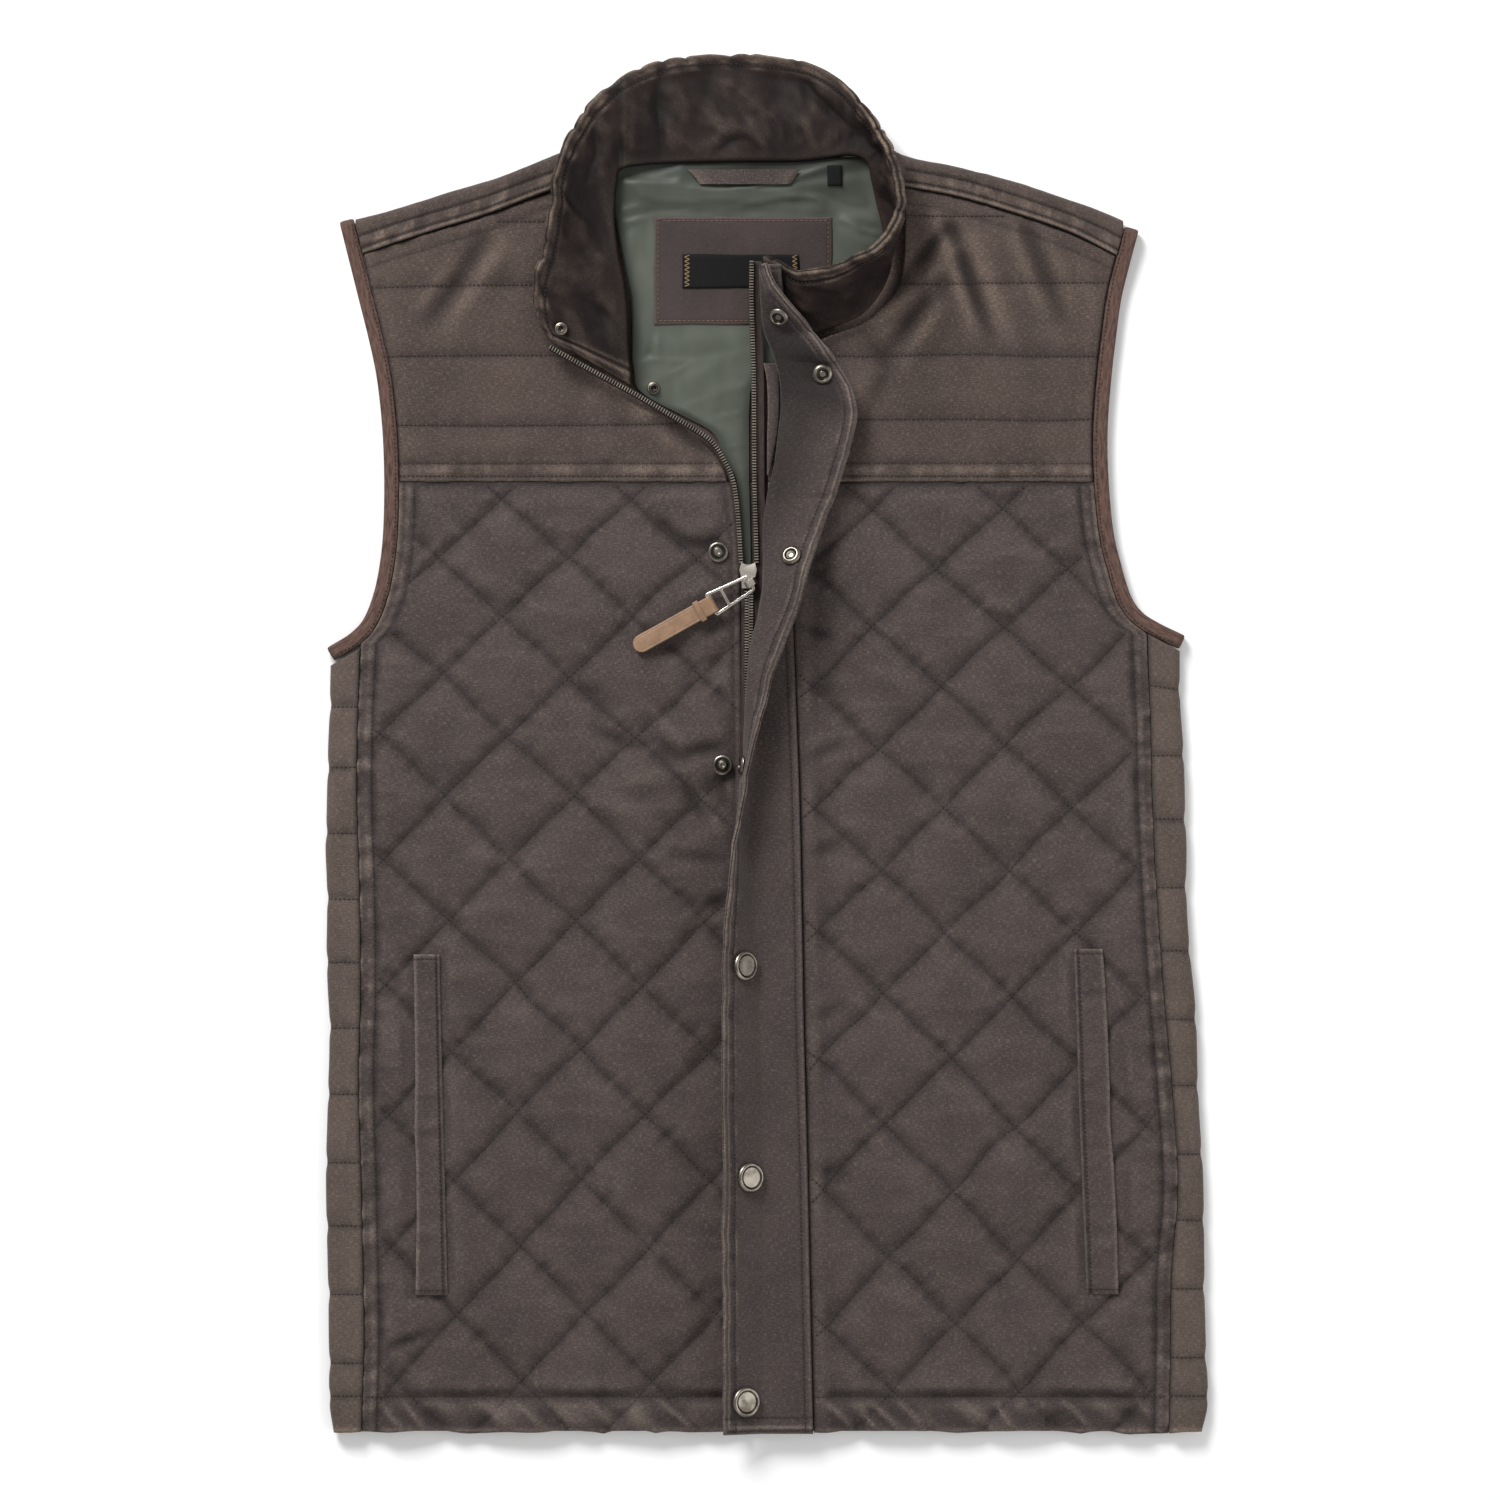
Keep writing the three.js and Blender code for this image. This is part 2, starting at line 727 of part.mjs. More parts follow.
function buildFront(front, low, high) {
  const top = YOKE_SEAM_Y - SEAM_GAP;
  const levels = [[HEM_Y, true], [(HEM_Y + HEM_STITCH_Y) / 2, false], [HEM_STITCH_Y, false]];
  for (let k = -15 * QUILT_STEPS; k <= 2; k += 1) {
    const y = quiltY(front.originY, k / QUILT_STEPS);
    if (y > HEM_STITCH_Y + 4 && y < top - 3) levels.push([y, false, k]);
  }
  levels.push([top, false]);
  const rows = [];
  for (const [y, hem] of levels) {
    const v = quiltV(front.originY, y);
    const left = low(y);
    const right = high(y);
    const shift = front.originX + QUILT_LEAN * (front.originY - y);
    const row = [];
    const count = 7 * QUILT_STEPS;
    for (let i = -count; i <= count; i += 1) {
      let x = shift + (i * QUILT_HALF_WIDTH) / QUILT_STEPS;
      if (x < left + FRONT_SNAP || i === -count) x = left;
      if (x > right - FRONT_SNAP || i === count) x = right;
      const u = (x - shift) / QUILT_HALF_WIDTH;
      row.push([x, hem ? hemY(x) : y, frontHeight(front, x, y, u, v, left, right)]);
    }
    rows.push(row);
  }
  const centre = 7 * QUILT_STEPS;
  const slant = (j, i) => {
    const k = levels[j][2] ?? Math.round(quiltV(front.originY, levels[j][0]) * QUILT_STEPS);
    const period = 2 * QUILT_STEPS;
    const falling = (((i - centre + k + 1) % period) + period) % period;
    const rising = (((i - centre - k) % period) + period) % period;
    return Math.min(rising, period - rising) <= Math.min(falling, period - falling);
  };
  return panel(rows, FRONT_BASE, slant);
}

const frontRight = buildFront(
  FRONTS.right,
  (y) => outerRight(y) + SEAM_GAP,
  (y) => read(RIGHT_FRONT_EDGE, y),
);
const frontLeft = buildFront(
  FRONTS.left,
  (y) => read(FLAP_SEAM, y) + SEAM_GAP,
  (y) => outerLeft(y) - SEAM_GAP,
);
add("front_right", frontRight, FINISH.shell);
add("front_left", frontLeft, FINISH.shell);

// Pocket welts: flat bands on the pockets' beds, open along one side
// Columns: y, x of the band's two sides
const WELT_RIGHT = [
  [-302, -194.5, -177],
  [-243, -194.5, -178.5],
  [-183, -195, -180],
  [-115, -196, -181.5],
];
const WELT_LEFT = [
  [-301.5, 174, 191.5],
  [-242, 171.5, 189],
  [-190, 169.5, 186.5],
  [-154, 168.5, 185],
  [-112, 167, 182.5],
];

function buildWelt(table) {
  const base = FRONT_BASE + POCKET_BED + SEAM_GAP;
  const rows = [];
  const low = table[0][0];
  const high = table[table.length - 1][0];
  for (let k = 0; k <= 6; k += 1) {
    const y = mix(low, high, k / 6);
    const left = read(table, y, 1);
    const right = read(table, y, 2);
    rows.push([0, 0.12, 0.5, 0.88, 1].map((share) => {
      const round = share === 0 || share === 1 ? 0.7 : 0;
      return [mix(left, right, share), y, base + WELT_THICKNESS - round];
    }));
  }
  return panel(rows, base);
}

add("pocket_welt_right", buildWelt(WELT_RIGHT), FINISH.shell);
add("pocket_welt_left", buildWelt(WELT_LEFT), FINISH.shell);

// Front yokes: channel quilting, a double row of stitching along the lower seam, and drag folds
const YOKE_COLUMNS = 14;
const YOKE_NECK_RISE = 2;
const YOKE_NECK_SPREAD = 14;

// Columns: x and y of one end, x and y of the other, rise, spread. A rise below 0 is a trough.
const RIGHT_YOKE_FOLDS = [
  [-158, 274, -192, 227, -2, 7],
  [-76, 192, -30, 160, 3.5, 10],
  [-58, 176, -30, 156, -2, 5],
  [-100, 262, -112, 214, 1.5, 9],
];
const LEFT_YOKE_FOLDS = [
  [94, 285, 114, 229, 2.5, 7],
  [81, 276, 60, 222, -2, 6],
  [140, 278, 165, 205, -1.5, 8],
  [78, 262, 92, 200, 2.2, 7],
  [52, 224, 92, 226, 2, 7],
];

function foldRise(folds, x, y) {
  let rise = 0;
  for (const [x0, y0, x1, y1, height, spread] of folds) {
    const length = (x1 - x0) ** 2 + (y1 - y0) ** 2;
    const share = clamp(((x - x0) * (x1 - x0) + (y - y0) * (y1 - y0)) / length, 0, 1);
    const distance = Math.hypot(x - mix(x0, x1, share), y - mix(y0, y1, share));
    rise += height * Math.sin(Math.PI * mix(0.25, 1, share)) * Math.exp(-((distance / spread) ** 2));
  }
  return rise;
}

// Columns: height above the yoke seam, cloth thickness there
const YOKE_TOPSTITCH = [
  [0, 4.1],
  [3.3, 3.3],
  [6.6, 4.2],
  [10, 2.9],
];

function buildYoke({ lines, low, high, seam, folds, neckAtLow, partLine, partFrom, partTo, ceiling }) {
  const start = YOKE_SEAM_Y;
  const levels = YOKE_TOPSTITCH.map(([rise]) => start + rise);
  let before = start + 10;
  for (const line of lines) {
    for (const share of [0.2, 0.5, 0.8, 1]) levels.push(mix(before, line, share));
    before = line;
  }
  const last = lines[lines.length - 1];
  const rows = [];
  const makeRow = (levelAt, thicknessAt, near) => {
    const row = [];
    for (let i = 0; i <= YOKE_COLUMNS; i += 1) {
      const u = i / YOKE_COLUMNS;
      let y = near;
      let x = 0;
      for (let k = 0; k < 4; k += 1) {
        x = mix(low(y), high(y), u);
        y = levelAt(x);
      }
      const neck = neckAtLow ? x - low(y) : high(y) - x;
      const outside = neckAtLow ? high(y) - x : x - low(y);
      const full = thicknessAt(x, y);
      const tapered = mix(mix(SEAM_THICKNESS, full, 0.4), full, ease(outside / EDGE_TAPER));
      const rise = YOKE_NECK_RISE * (1 - ease(neck / YOKE_NECK_SPREAD)) * ease((y - 150) / 40);
      const fold = foldRise(folds, x, y) * ease((y - start - 8) / 14);
      row.push([x, y, Math.min(FRONT_BASE + Math.max(tapered + rise + fold, 1.8), ceiling(x, y))]);
    }
    rows.push(row);
  };
  levels.forEach((level) => {
    const stitched = level <= start + 10 ? read(YOKE_TOPSTITCH, level - start) : null;
    const puffed = STITCHED_THICKNESS + CHANNEL_RISE * channel([start + 10, ...lines], level);
    makeRow(() => level, () => stitched ?? puffed, level);
  });
  for (const share of [0.2, 0.5, 0.8, 1]) {
    const levelAt = (x) => mix(last, read(seam, x) - SEAM_GAP, share);
    const thicknessAt = (x, y) => {
      const room = clamp((read(seam, x) - last) / 30, 0, 1);
      const divided = x > partFrom && x < partTo;
      const puff = channel(divided ? [last, partLine, read(seam, x)] : [last, read(seam, x)], y);
      const edge = share === 1 ? SEAM_THICKNESS : 0;
      return Math.max(STITCHED_THICKNESS + CHANNEL_RISE * room * puff, edge);
    };
    makeRow(levelAt, thicknessAt, mix(last, read(seam, low(last)), share));
  }
  return panel(rows, FRONT_BASE);
}

const yokeRight = buildYoke({
  lines: [176, 213.5, 252],
  low: (y) => outerRight(Math.min(y, 275)) + SEAM_GAP,
  high: (y) => read(RIGHT_FRONT_EDGE, y),
  seam: RIGHT_SHOULDER_SEAM,
  folds: RIGHT_YOKE_FOLDS,
  neckAtLow: false,
  partLine: 287.5,
  partFrom: -150,
  partTo: -80,
  ceiling: (x, y) => {
    const inside = read(RIGHT_FRONT_EDGE, y) - x;
    return mix(mix(9.2, 11, ease((y - 190) / 12)), 14, ease((inside - 3) / 18));
  },
});
const yokeLeft = buildYoke({
  lines: [179, 214, 253.5],
  low: (y) => read(LEFT_YOKE_EDGE, y) + SEAM_GAP,
  high: (y) => outerLeft(Math.min(y, 275)) - SEAM_GAP,
  seam: LEFT_SHOULDER_SEAM,
  folds: LEFT_YOKE_FOLDS,
  neckAtLow: true,
  partLine: 290.5,
  partFrom: 70,
  partTo: 130,
  ceiling: (x) => mix(PLACKET_TOP, 13, ease((x - 13) / 16)),
});
add("front_yoke_right", yokeRight, FINISH.yoke);
add("front_yoke_left", yokeLeft, FINISH.yoke);

// Placket: the plain strip under the flap that carries the left half of the zip
function buildPlacket() {
  const rows = [];
  for (const y of [HEM_Y + 1, -300, -200, -100, -50, 0, 50, 80, 110, YOKE_SEAM_Y - SEAM_GAP]) {
    const right = read(FLAP_SEAM, y) - SEAM_GAP;
    rows.push([[-1, y, 8.6], [1, y, PLACKET_TOP], [right, y, PLACKET_TOP]]);
  }
  return panel(rows, FRONT_BASE);
}

add("placket_left", buildPlacket(), FINISH.shell);

// Lining in the neck, with the soft folds that show
// Columns: y, x of the lining's two edges
const LINING = [
  [94, -15, -10.5],
  [100, -16, -10.5],
  [124, -17, -11],
  [146, -18.5, -11.5],
  [158, -25, -11.5],
  [172, -32, -11.5],
  [181, -48, -11.5],
  [188, -62, -11],
  [196, -73, -10],
  [206, -75, -3],
  [212, -76, 8],
  [218, -76, 18],
  [225, -76, 33],
  [230, -76, 44],
  [236, -76, 52],
  [246, -76.5, 62],
  [258, -79, 66],
  [272, -81, 68],
  [288, -84, 66],
  [300, -82, 60],
  [310, -74, 48],
  [316.5, -66, 40],
];

// Columns as for the drag folds of the yokes
const LINING_FOLDS = [
  [-72, 306, 40, 300, 1.6, 4],
  [-60, 297, 55, 311, 1.4, 4],
  [-74, 292, -20, 299, -1.2, 4],
  [52, 276, 20, 296, 1.4, 5],
  [-60, 205, -66, 240, 1.2, 5],
  [-45, 200, -20, 214, 0.8, 6],
];
const LINING_TOP = FRONT_BASE - 0.1 + LINING_THICKNESS;
const LINING_COLUMNS = 10;

// Neck patch, label, hanger loop and size tab. Each: low x, high x, low y, high y
const PATCH = [-63.5, 34, 231, 290];
const LABEL = [-48, 16, 251, 269.5];

function patchShare(x, y) {
  const dx = Math.max(PATCH[0] - x, x - PATCH[1], 0);
  const dy = Math.max(PATCH[2] - y, y - PATCH[3], 0);
  return 1 - ease(Math.hypot(dx, dy) / 7);
}

function buildLining() {
  const rows = [];
  for (const y of [94, 120, 146, 158, 170, 181, 190, 198, 206, 214, 222, 231, 248, 270, 290, 296, 301, 306, 311, 316.5]) {
    const left = read(LINING, y, 1);
    const right = read(LINING, y, 2);
    const row = [];
    for (let i = 0; i <= LINING_COLUMNS; i += 1) {
      const x = mix(left, right, i / LINING_COLUMNS);
      const near = ease(Math.min(x - left, right - x, 316.5 - y) / 8);
      const fold = foldRise(LINING_FOLDS, x, y) * near * (1 - patchShare(x, y));
      row.push([x, y, LINING_TOP + Math.max(fold, -0.8)]);
    }
    rows.push(row);
  }
  return panel(rows, FRONT_BASE - 0.1);
}

add("neck_lining", buildLining(), FINISH.lining);

function flatPiece([lowX, highX, lowY, highY], base, thickness) {
  const rows = [lowY, mix(lowY, highY, 0.5), highY].map((y) => plateRow(y, lowX, highX, 2, base + thickness));
  return panel(rows, base);
}

const PATCH_BASE = LINING_TOP + SEAM_GAP;
const PATCH_THICKNESS = 0.9;
const LABEL_BASE = PATCH_BASE + PATCH_THICKNESS + SEAM_GAP;
add("neck_patch", flatPiece(PATCH, PATCH_BASE, PATCH_THICKNESS), FINISH.patch);
add("neck_label", flatPiece(LABEL, LABEL_BASE, 0.8), FINISH.label);

// Hanger loop: a folded band with slanted ends, over the lining at the back of the neck
const HANGER_Z = LINING_TOP + 2;
const HANGER = [
  [-38.5, 11, 308],
  [-40.5, 13, 311],
  [-45, 16.5, 316],
];

function buildHanger() {
  const rows = HANGER.map(([left, right, y]) => plateRow(y, left, right, 6, HANGER_Z + 1.6));
  return panel(rows, HANGER_Z);
}

add("hanger_loop", buildHanger(), FINISH.shell);
add("size_tab", flatPiece([31, 40, 300, 312], LINING_TOP + 0.8, 0.8), FINISH.label);

// Collar: a padded band from the right front, round the back of the neck, to the left front
// Columns: neck edge x, y, z, top edge x, y, z, and how much of the full bulge the band takes
const COLLAR = [
  [-76, 196.5, 13.5, -121.5, 223.5, 18, 0.2],
  [-77, 213, 13.4, -128, 232.5, 22, 0.5],
  [-77.5, 228.5, 13.3, -130, 245, 25, 0.7],
  [-78, 241, 13.3, -128, 260, 27, 0.9],
  [-80, 256, 13.3, -124.5, 272, 28, 1],
  [-83, 269, 13.3, -122, 284.5, 29, 1],
  [-85, 284.5, 13.3, -120.5, 301, 29, 1],
  [-85, 297, 13.2, -119.5, 312, 28, 1],
  [-82.5, 307, 12, -115.5, 324.5, 25, 0.8],
  [-76, 314, 9.6, -109, 337, 20, 0.6],
  [-65, 318.3, 7, -99, 352.5, 15, 0.4],
  [-49.5, 319.5, 6, -81.5, 367.5, 9, 0.2],
  [-33, 319.8, 5.8, -58, 377, 5, 0],
  [-14, 320, 5.8, -33, 380, 3.6, 0],
  [5.5, 320, 5.8, -5.5, 379.5, 3.6, 0],
  [19, 320.5, 5.9, 19, 375.5, 5, 0],
  [31.5, 322, 6.2, 37.5, 366, 9, 0.2],
  [42, 323.5, 7, 50.5, 352, 16, 0.5],
  [51.5, 322.5, 7.8, 60, 338, 25, 0.8],
  [60.5, 317.5, 8.3, 66, 324, 34, 1],
  [66.5, 309, 9, 70, 311, 41, 1],
  [69.5, 297, 9, 71.5, 297, 45, 1],
  [69.5, 280.5, 9, 67.5, 284.5, 47, 1],
  [66.5, 264, 9, 58.5, 272, 46, 1],
  [59, 248.5, 9, 44, 265.5, 44, 1],
  [48, 236, 9, 28.5, 261, 38, 1],
  [28.5, 228, 9, 15, 260, 31, 0.8],
  [15, 221.5, 9, 4.5, 265.5, 25, 0.5],
  [2.5, 214.5, 9.5, -3, 269, 20, 0.2],
];
const COLLAR_ROWS = 46;
const COLLAR_COLUMNS = 4;

function collarMiddle() {
  const necks = new THREE.CatmullRomCurve3(COLLAR.map((row) => new THREE.Vector3(row[0], row[1], row[2])));
  const tops = new THREE.CatmullRomCurve3(COLLAR.map((row) => new THREE.Vector3(row[3], row[4], row[5])));
  const grid = [];
  for (let j = 0; j <= COLLAR_ROWS; j += 1) {
    const t = j / COLLAR_ROWS;
    const neck = necks.getPoint(t);
    const top = tops.getPoint(t);
    const k = t * (COLLAR.length - 1);
    const from = Math.min(Math.floor(k), COLLAR.length - 2);
    const share = mix(COLLAR[from][6], COLLAR[from + 1][6], k - from);
    const along = necks.getTangent(t);
    const across = top.clone().sub(neck).normalize();
    const out = across.clone().cross(along).normalize();
    const row = [];
    for (let i = 0; i <= COLLAR_COLUMNS; i += 1) {
      const w = i / COLLAR_COLUMNS;
      const bulge = COLLAR_BULGE * share * Math.sin(Math.PI * w);
      row.push(neck.clone().lerp(top, w).addScaledVector(out, bulge).toArray());
    }
    grid.push(row);
  }
  return grid;
}

function buildCollar() {
  const middle = collarMiddle();
  const thickness = (j, i) => {
    const w = i / COLLAR_COLUMNS;
    return COLLAR_THICKNESS * (1 - 0.3 * Math.abs(2 * w - 1) ** 4);
  };
  const [outer, inner] = thicken(middle, thickness);
  return sheet(outer, inner);
}

add("collar", buildCollar(), FINISH.shell);

// Flap over the zip: a plain band sewn at the seam, closed below and rolled back above
// Columns: y, seam x, seam z, leftmost x of the roll, roll radius, free edge x, width
const FLAP = [
  [-378, 23.7, 11.4, -8.8, 5, -25.5, 51.9],
  [-300, 22, 11.4, -7.9, 5, -26, 51.6],
  [-237, 20.7, 11.4, -7, 5, -26, 51.2],
  [-180, 19.2, 11.4, -8.5, 5, -26.3, 51],
  [-140, 18.2, 11.4, -9.5, 5, -26.3, 50.8],
  [-121, 18, 11.4, -9.8, 5, -26, 50.5],
  [-100, 17.6, 11.4, -11.4, 5, -24.8, 50.2],
  [-80, 17.2, 11.4, -13.1, 5, -23, 49.7],
  [-62, 16.9, 11.4, -14.6, 5, -20.8, 49.3],
  [-41, 16.4, 11.4, -16.8, 7, -16.6, 49.6],
  [-24, 16, 11.4, -15.4, 7, -13.2, 49.6],
  [-8, 15.4, 11.4, -14, 7, -10.5, 49.6],
  [8, 14.8, 11.4, -13.2, 7, -6.5, 49.6],
  [22, 14.2, 11.4, -12.7, 7, -2.8, 49.6],
  [38, 13.7, 11.4, -11.8, 7, 1.5, 49.6],
  [54, 13, 11.4, -9.9, 7, 7.5, 49.6],
  [70, 12.6, 11.4, -6.1, 7, 14, 49.6],
  [86, 12.2, 11.4, -3.3, 7, 19, 49.6],
  [102, 11.7, 11.4, -3.3, 5.5, 23.5, 49.6],
  [118, 11.2, 11.4, -3.3, 3.4, 29.5, 50.6],
  [135, 10.7, 11.4, -0.8, 2.4, 35.5, 50.5],
  [152, 10.4, 11.4, 2.7, 2.2, 41, 48.8],
  [170, 10.6, 11.5, 5.5, 2.2, 46, 48.4],
  [182, 10.8, 11.8, 6.6, 2.2, 48, 48.4],
  [195, 10.4, 12.6, 6.6, 2.4, 45.5, 45.6],
  [206, 9.6, 13.8, 6, 2.4, 40.5, 42],
  [216, 9, 16, 5, 2.4, 32.5, 38],
  [228, 8.6, 18.8, 3.8, 2.4, 22.5, 33],
  [242, 7.8, 23.6, 0.5, 2.4, 10.5, 28],
  [252, 6.8, 26.8, -1.1, 2.4, 2, 20],
];
const FLAP_COLUMNS = 10;

// A point of the flap's middle layer, a given way along the cloth from the seam.
function flapPoint(row, turn, way) {
  const [y, seamX, seamZ, rollX, radius] = row;
  const flat = seamX - rollX - radius;
  if (way <= flat) return [seamX - way, y, seamZ];
  const angle = (way - flat) / radius;
  if (angle <= turn) {
    return [seamX - flat - radius * Math.sin(angle), y, seamZ + radius * (1 - Math.cos(angle))];
  }
  const rest = way - flat - radius * turn;
  return [
    seamX - flat - radius * Math.sin(turn) - rest * Math.cos(turn),
    y,
    seamZ + radius * (1 - Math.cos(turn)) + rest * Math.sin(turn),
  ];
}

// The turn of the roll that brings the free edge to the x that its row gives.
function flapTurn(row) {
  let low = 0;
  let high = Math.PI;
  for (let k = 0; k < 40; k += 1) {
    const turn = (low + high) / 2;
    if (flapPoint(row, turn, row[6])[0] < row[5]) low = turn;
    else high = turn;
  }
  return (low + high) / 2;
}

function flapRow(y) {
  const row = [y];
  for (let column = 1; column <= 6; column += 1) row.push(read(FLAP, y, column));
  return row;
}

function flapMiddle() {
  const grid = [];
  for (const [y] of FLAP) {
    const row = flapRow(y);
    const turn = flapTurn(row);
    const points = [];
    for (let i = 0; i <= FLAP_COLUMNS; i += 1) points.push(flapPoint(row, turn, (row[6] * i) / FLAP_COLUMNS));
    grid.push(points);
  }
  return grid;
}

const [flapOuter, flapInner] = thicken(flapMiddle(), () => FLAP_THICKNESS);
add("flap", sheet(flapOuter, flapInner), FINISH.shell);

// A place on the flap for a snap: the middle point and the direction out of the outer face.
function flapPlace(y, fromEdge) {
  const at = (level, shift) => {
    const row = flapRow(level);
    return new THREE.Vector3(...flapPoint(row, flapTurn(row), row[6] - fromEdge + shift));
  };
  const along = at(y, 3).sub(at(y, -3));
  const upward = at(y + 5, 0).sub(at(y - 5, 0));
  return { point: at(y, 0), out: upward.cross(along).normalize() };
}

// Edge strip: a folded facing beside the zip, on the yoke and the foot of the collar
// Columns: y, x of its two edges, z of its underside
const EDGE_STRIP = [
  [148, -1.6, -0.3, 10.4],
  [158, -1.6, 1.6, 10.4],
  [170, -1.5, 3.8, 10.4],
  [184, -1.2, 4.9, 10.5],
  [200, -1, 4.6, 11],
];
const EDGE_STRIP_THICKNESS = 1.4;

function buildEdgeStrip() {
  const row = ([y, left, right, z], lift) => [0, 0.5, 1].map((share) => [mix(left, right, share), y, z + lift]);
  const outer = EDGE_STRIP.map((line) => row(line, EDGE_STRIP_THICKNESS));
  const inner = EDGE_STRIP.map((line) => row(line, 0));
  return sheet(outer, inner);
}

add("edge_strip_left", buildEdgeStrip(), FINISH.shell);

// Zip: tapes, open rows of teeth, the closed chain below the slider
// Columns: x, y and z of the tape's middle under the teeth, from the top stop to the slider
const ZIP_RIGHT = [
  [-120.5, 218, 19],
  [-104.5, 209, 18],
  [-88, 200, 16.5],
  [-74, 192.5, 14],
  [-62, 185.5, 12],
  [-48.5, 177.5, 10.5],
  [-33, 167.5, 9.2],
  [-25, 156, 8.4],
  [-20, 144, 7.8],
  [-17.5, 124, 7.2],
  [-16, 100.4, 7],
];
const ZIP_LEFT = [
  [-10, 265, 20],
  [-10.2, 245, 16.5],
  [-9.4, 220, 11.5],
  [-9, 206, 9.6],
  [-8.8, 190, 8.4],
  [-8.6, 146, 7.6],
  [-8, 124, 7.2],
  [-7.4, 100.4, 7],
];
const ZIP_FOOT_Y = -352;
const TAPE_LOW_Z = 6.8;

// The tapes run on past the slider to the foot of the zip.
function tapeRun(open, x) {
  return [...open, [x, 84, TAPE_LOW_Z], [x, 0, TAPE_LOW_Z], [x, -200, TAPE_LOW_Z], [x, ZIP_FOOT_Y, TAPE_LOW_Z]];
}

// A flat band along a table of points, from one way to another across it.
function band(table, steps, from, to, lift, thickness) {
  const curve = new THREE.CatmullRomCurve3(table.map((row) => new THREE.Vector3(...row)));
  const stations = [];
  for (let k = 0; k <= steps; k += 1) {
    const point = curve.getPoint(k / steps);
    const run = curve.getTangent(k / steps).setZ(0).normalize();
    const side = new THREE.Vector3(-run.y, run.x, 0);
    const corner = (way, z) => {
      return point.clone().addScaledVector(side, way).add(new THREE.Vector3(0, 0, z)).toArray();
    };
    stations.push([
      corner(from, lift),
      corner(to, lift),
      corner(to, lift + thickness),
      corner(from, lift + thickness),
    ]);
  }
  return bar(stations);
}

const TEETH_LIFT = TAPE_THICKNESS + SEAM_GAP;
add("zip_tape_right", band(tapeRun(ZIP_RIGHT, -14), 28, -1.9, 1.2, 0, TAPE_THICKNESS), FINISH.tape);
add("zip_tape_left", band(tapeRun(ZIP_LEFT, -7.8), 22, -1.4, 4, 0, TAPE_THICKNESS), FINISH.tape);
add("zip_teeth_right", band(ZIP_RIGHT, 20, -1, 1.6, TEETH_LIFT, CHAIN_HEIGHT), FINISH.teeth);
add("zip_teeth_left", band(ZIP_LEFT, 14, -1.6, 1, TEETH_LIFT, CHAIN_HEIGHT), FINISH.teeth);

// Slider with its lug, and the pull: a frame, a leather tab and a keeper
const SLIDER_X = -12;
const SLIDER_Y = 93;
const SLIDER_LENGTH = 14;
const SLIDER_WIDTH = 9.6;
const SLIDER_NECK = 6.8;
const SLIDER_BASE = 8.2;
const SLIDER_TOP = 11.3;
const HINGE = [-10.5, 89, 12.9];
const LUG_LENGTH = 7;
const LUG_WIDTH = 3.6;
const LUG_TOP = 15.2;
const LUG_HOLE = 1.35;
const PULL_DIRECTION = new THREE.Vector3(-0.874, -0.486, 0).normalize();
const FRAME_BAR = 1.6;
const FRAME_LENGTH = 24.7;
const FRAME_NARROW = 4.9;
const FRAME_WIDE = 7;
const FRAME_CROSSBAR = 16.2;
const LEATHER_LENGTH = 73.4;
const LEATHER_HALF_WIDTH = 4.9;
const LEATHER_THICKNESS = 2.4;
const LEATHER_LOOP = 2.25;
const KEEPER_AT = 30.6;
const KEEPER_LENGTH = 3.2;
const KEEPER_WALL = 0.8;

const chainMiddle = SLIDER_X + 0.4;
const chainBase = TAPE_LOW_Z + TEETH_LIFT;
const chainRun = [
  [chainMiddle, SLIDER_Y - SLIDER_LENGTH / 2 - SEAM_GAP, chainBase],
  [chainMiddle, -100, chainBase],
  [chainMiddle + 0.6, ZIP_FOOT_Y, chainBase],
];
const chainHalf = CHAIN_CLOSED_WIDTH / 2;
add("zip_teeth_closed", band(chainRun, 6, -chainHalf, chainHalf, 0, 2), FINISH.teeth);

// Turns a solid drawn along the pull into its place: x along the pull, y across it, z up.
function alongPull(geometry) {
  const across = new THREE.Vector3(0, 0, 1).cross(PULL_DIRECTION);
  const turn = new THREE.Matrix4().makeBasis(PULL_DIRECTION, across, new THREE.Vector3(0, 0, 1));
  return geometry.applyMatrix4(turn.setPosition(...HINGE));
}

function prism(outline, holes, low, high) {
  const shape = new THREE.Shape(outline.map(([x, y]) => new THREE.Vector2(x, y)));
  for (const hole of holes) shape.holes.push(new THREE.Path(hole.map(([x, y]) => new THREE.Vector2(x, y))));
  const geometry = new THREE.ExtrudeGeometry(shape, { depth: high - low, bevelEnabled: false });
  return geometry.translate(0, 0, low);
}

function circle(x, y, radius, count) {
  const points = [];
  for (let k = 0; k < count; k += 1) {
    const angle = (2 * Math.PI * k) / count;
    points.push([x + radius * Math.cos(angle), y + radius * Math.sin(angle)]);
  }
  return points;
}

function toManifold(geometry) {
  const source = geometry.index ? geometry.toNonIndexed() : geometry;
  const position = source.getAttribute("position");
  const places = new Map();
  const points = [];
  const corners = [];
  for (let k = 0; k < position.count; k += 1) {
    const q = [position.getX(k), position.getY(k), position.getZ(k)];
    const key = q.map((value) => Math.round(value * GRID)).join();
    if (!places.has(key)) {
      places.set(key, points.length / 3);
      points.push(...q);
    }
    corners.push(places.get(key));
  }
  const mesh = new wasm.Mesh({
    numProp: 3,
    vertProperties: new Float32Array(points),
    triVerts: new Uint32Array(corners),
  });
  return new wasm.Manifold(mesh);
}

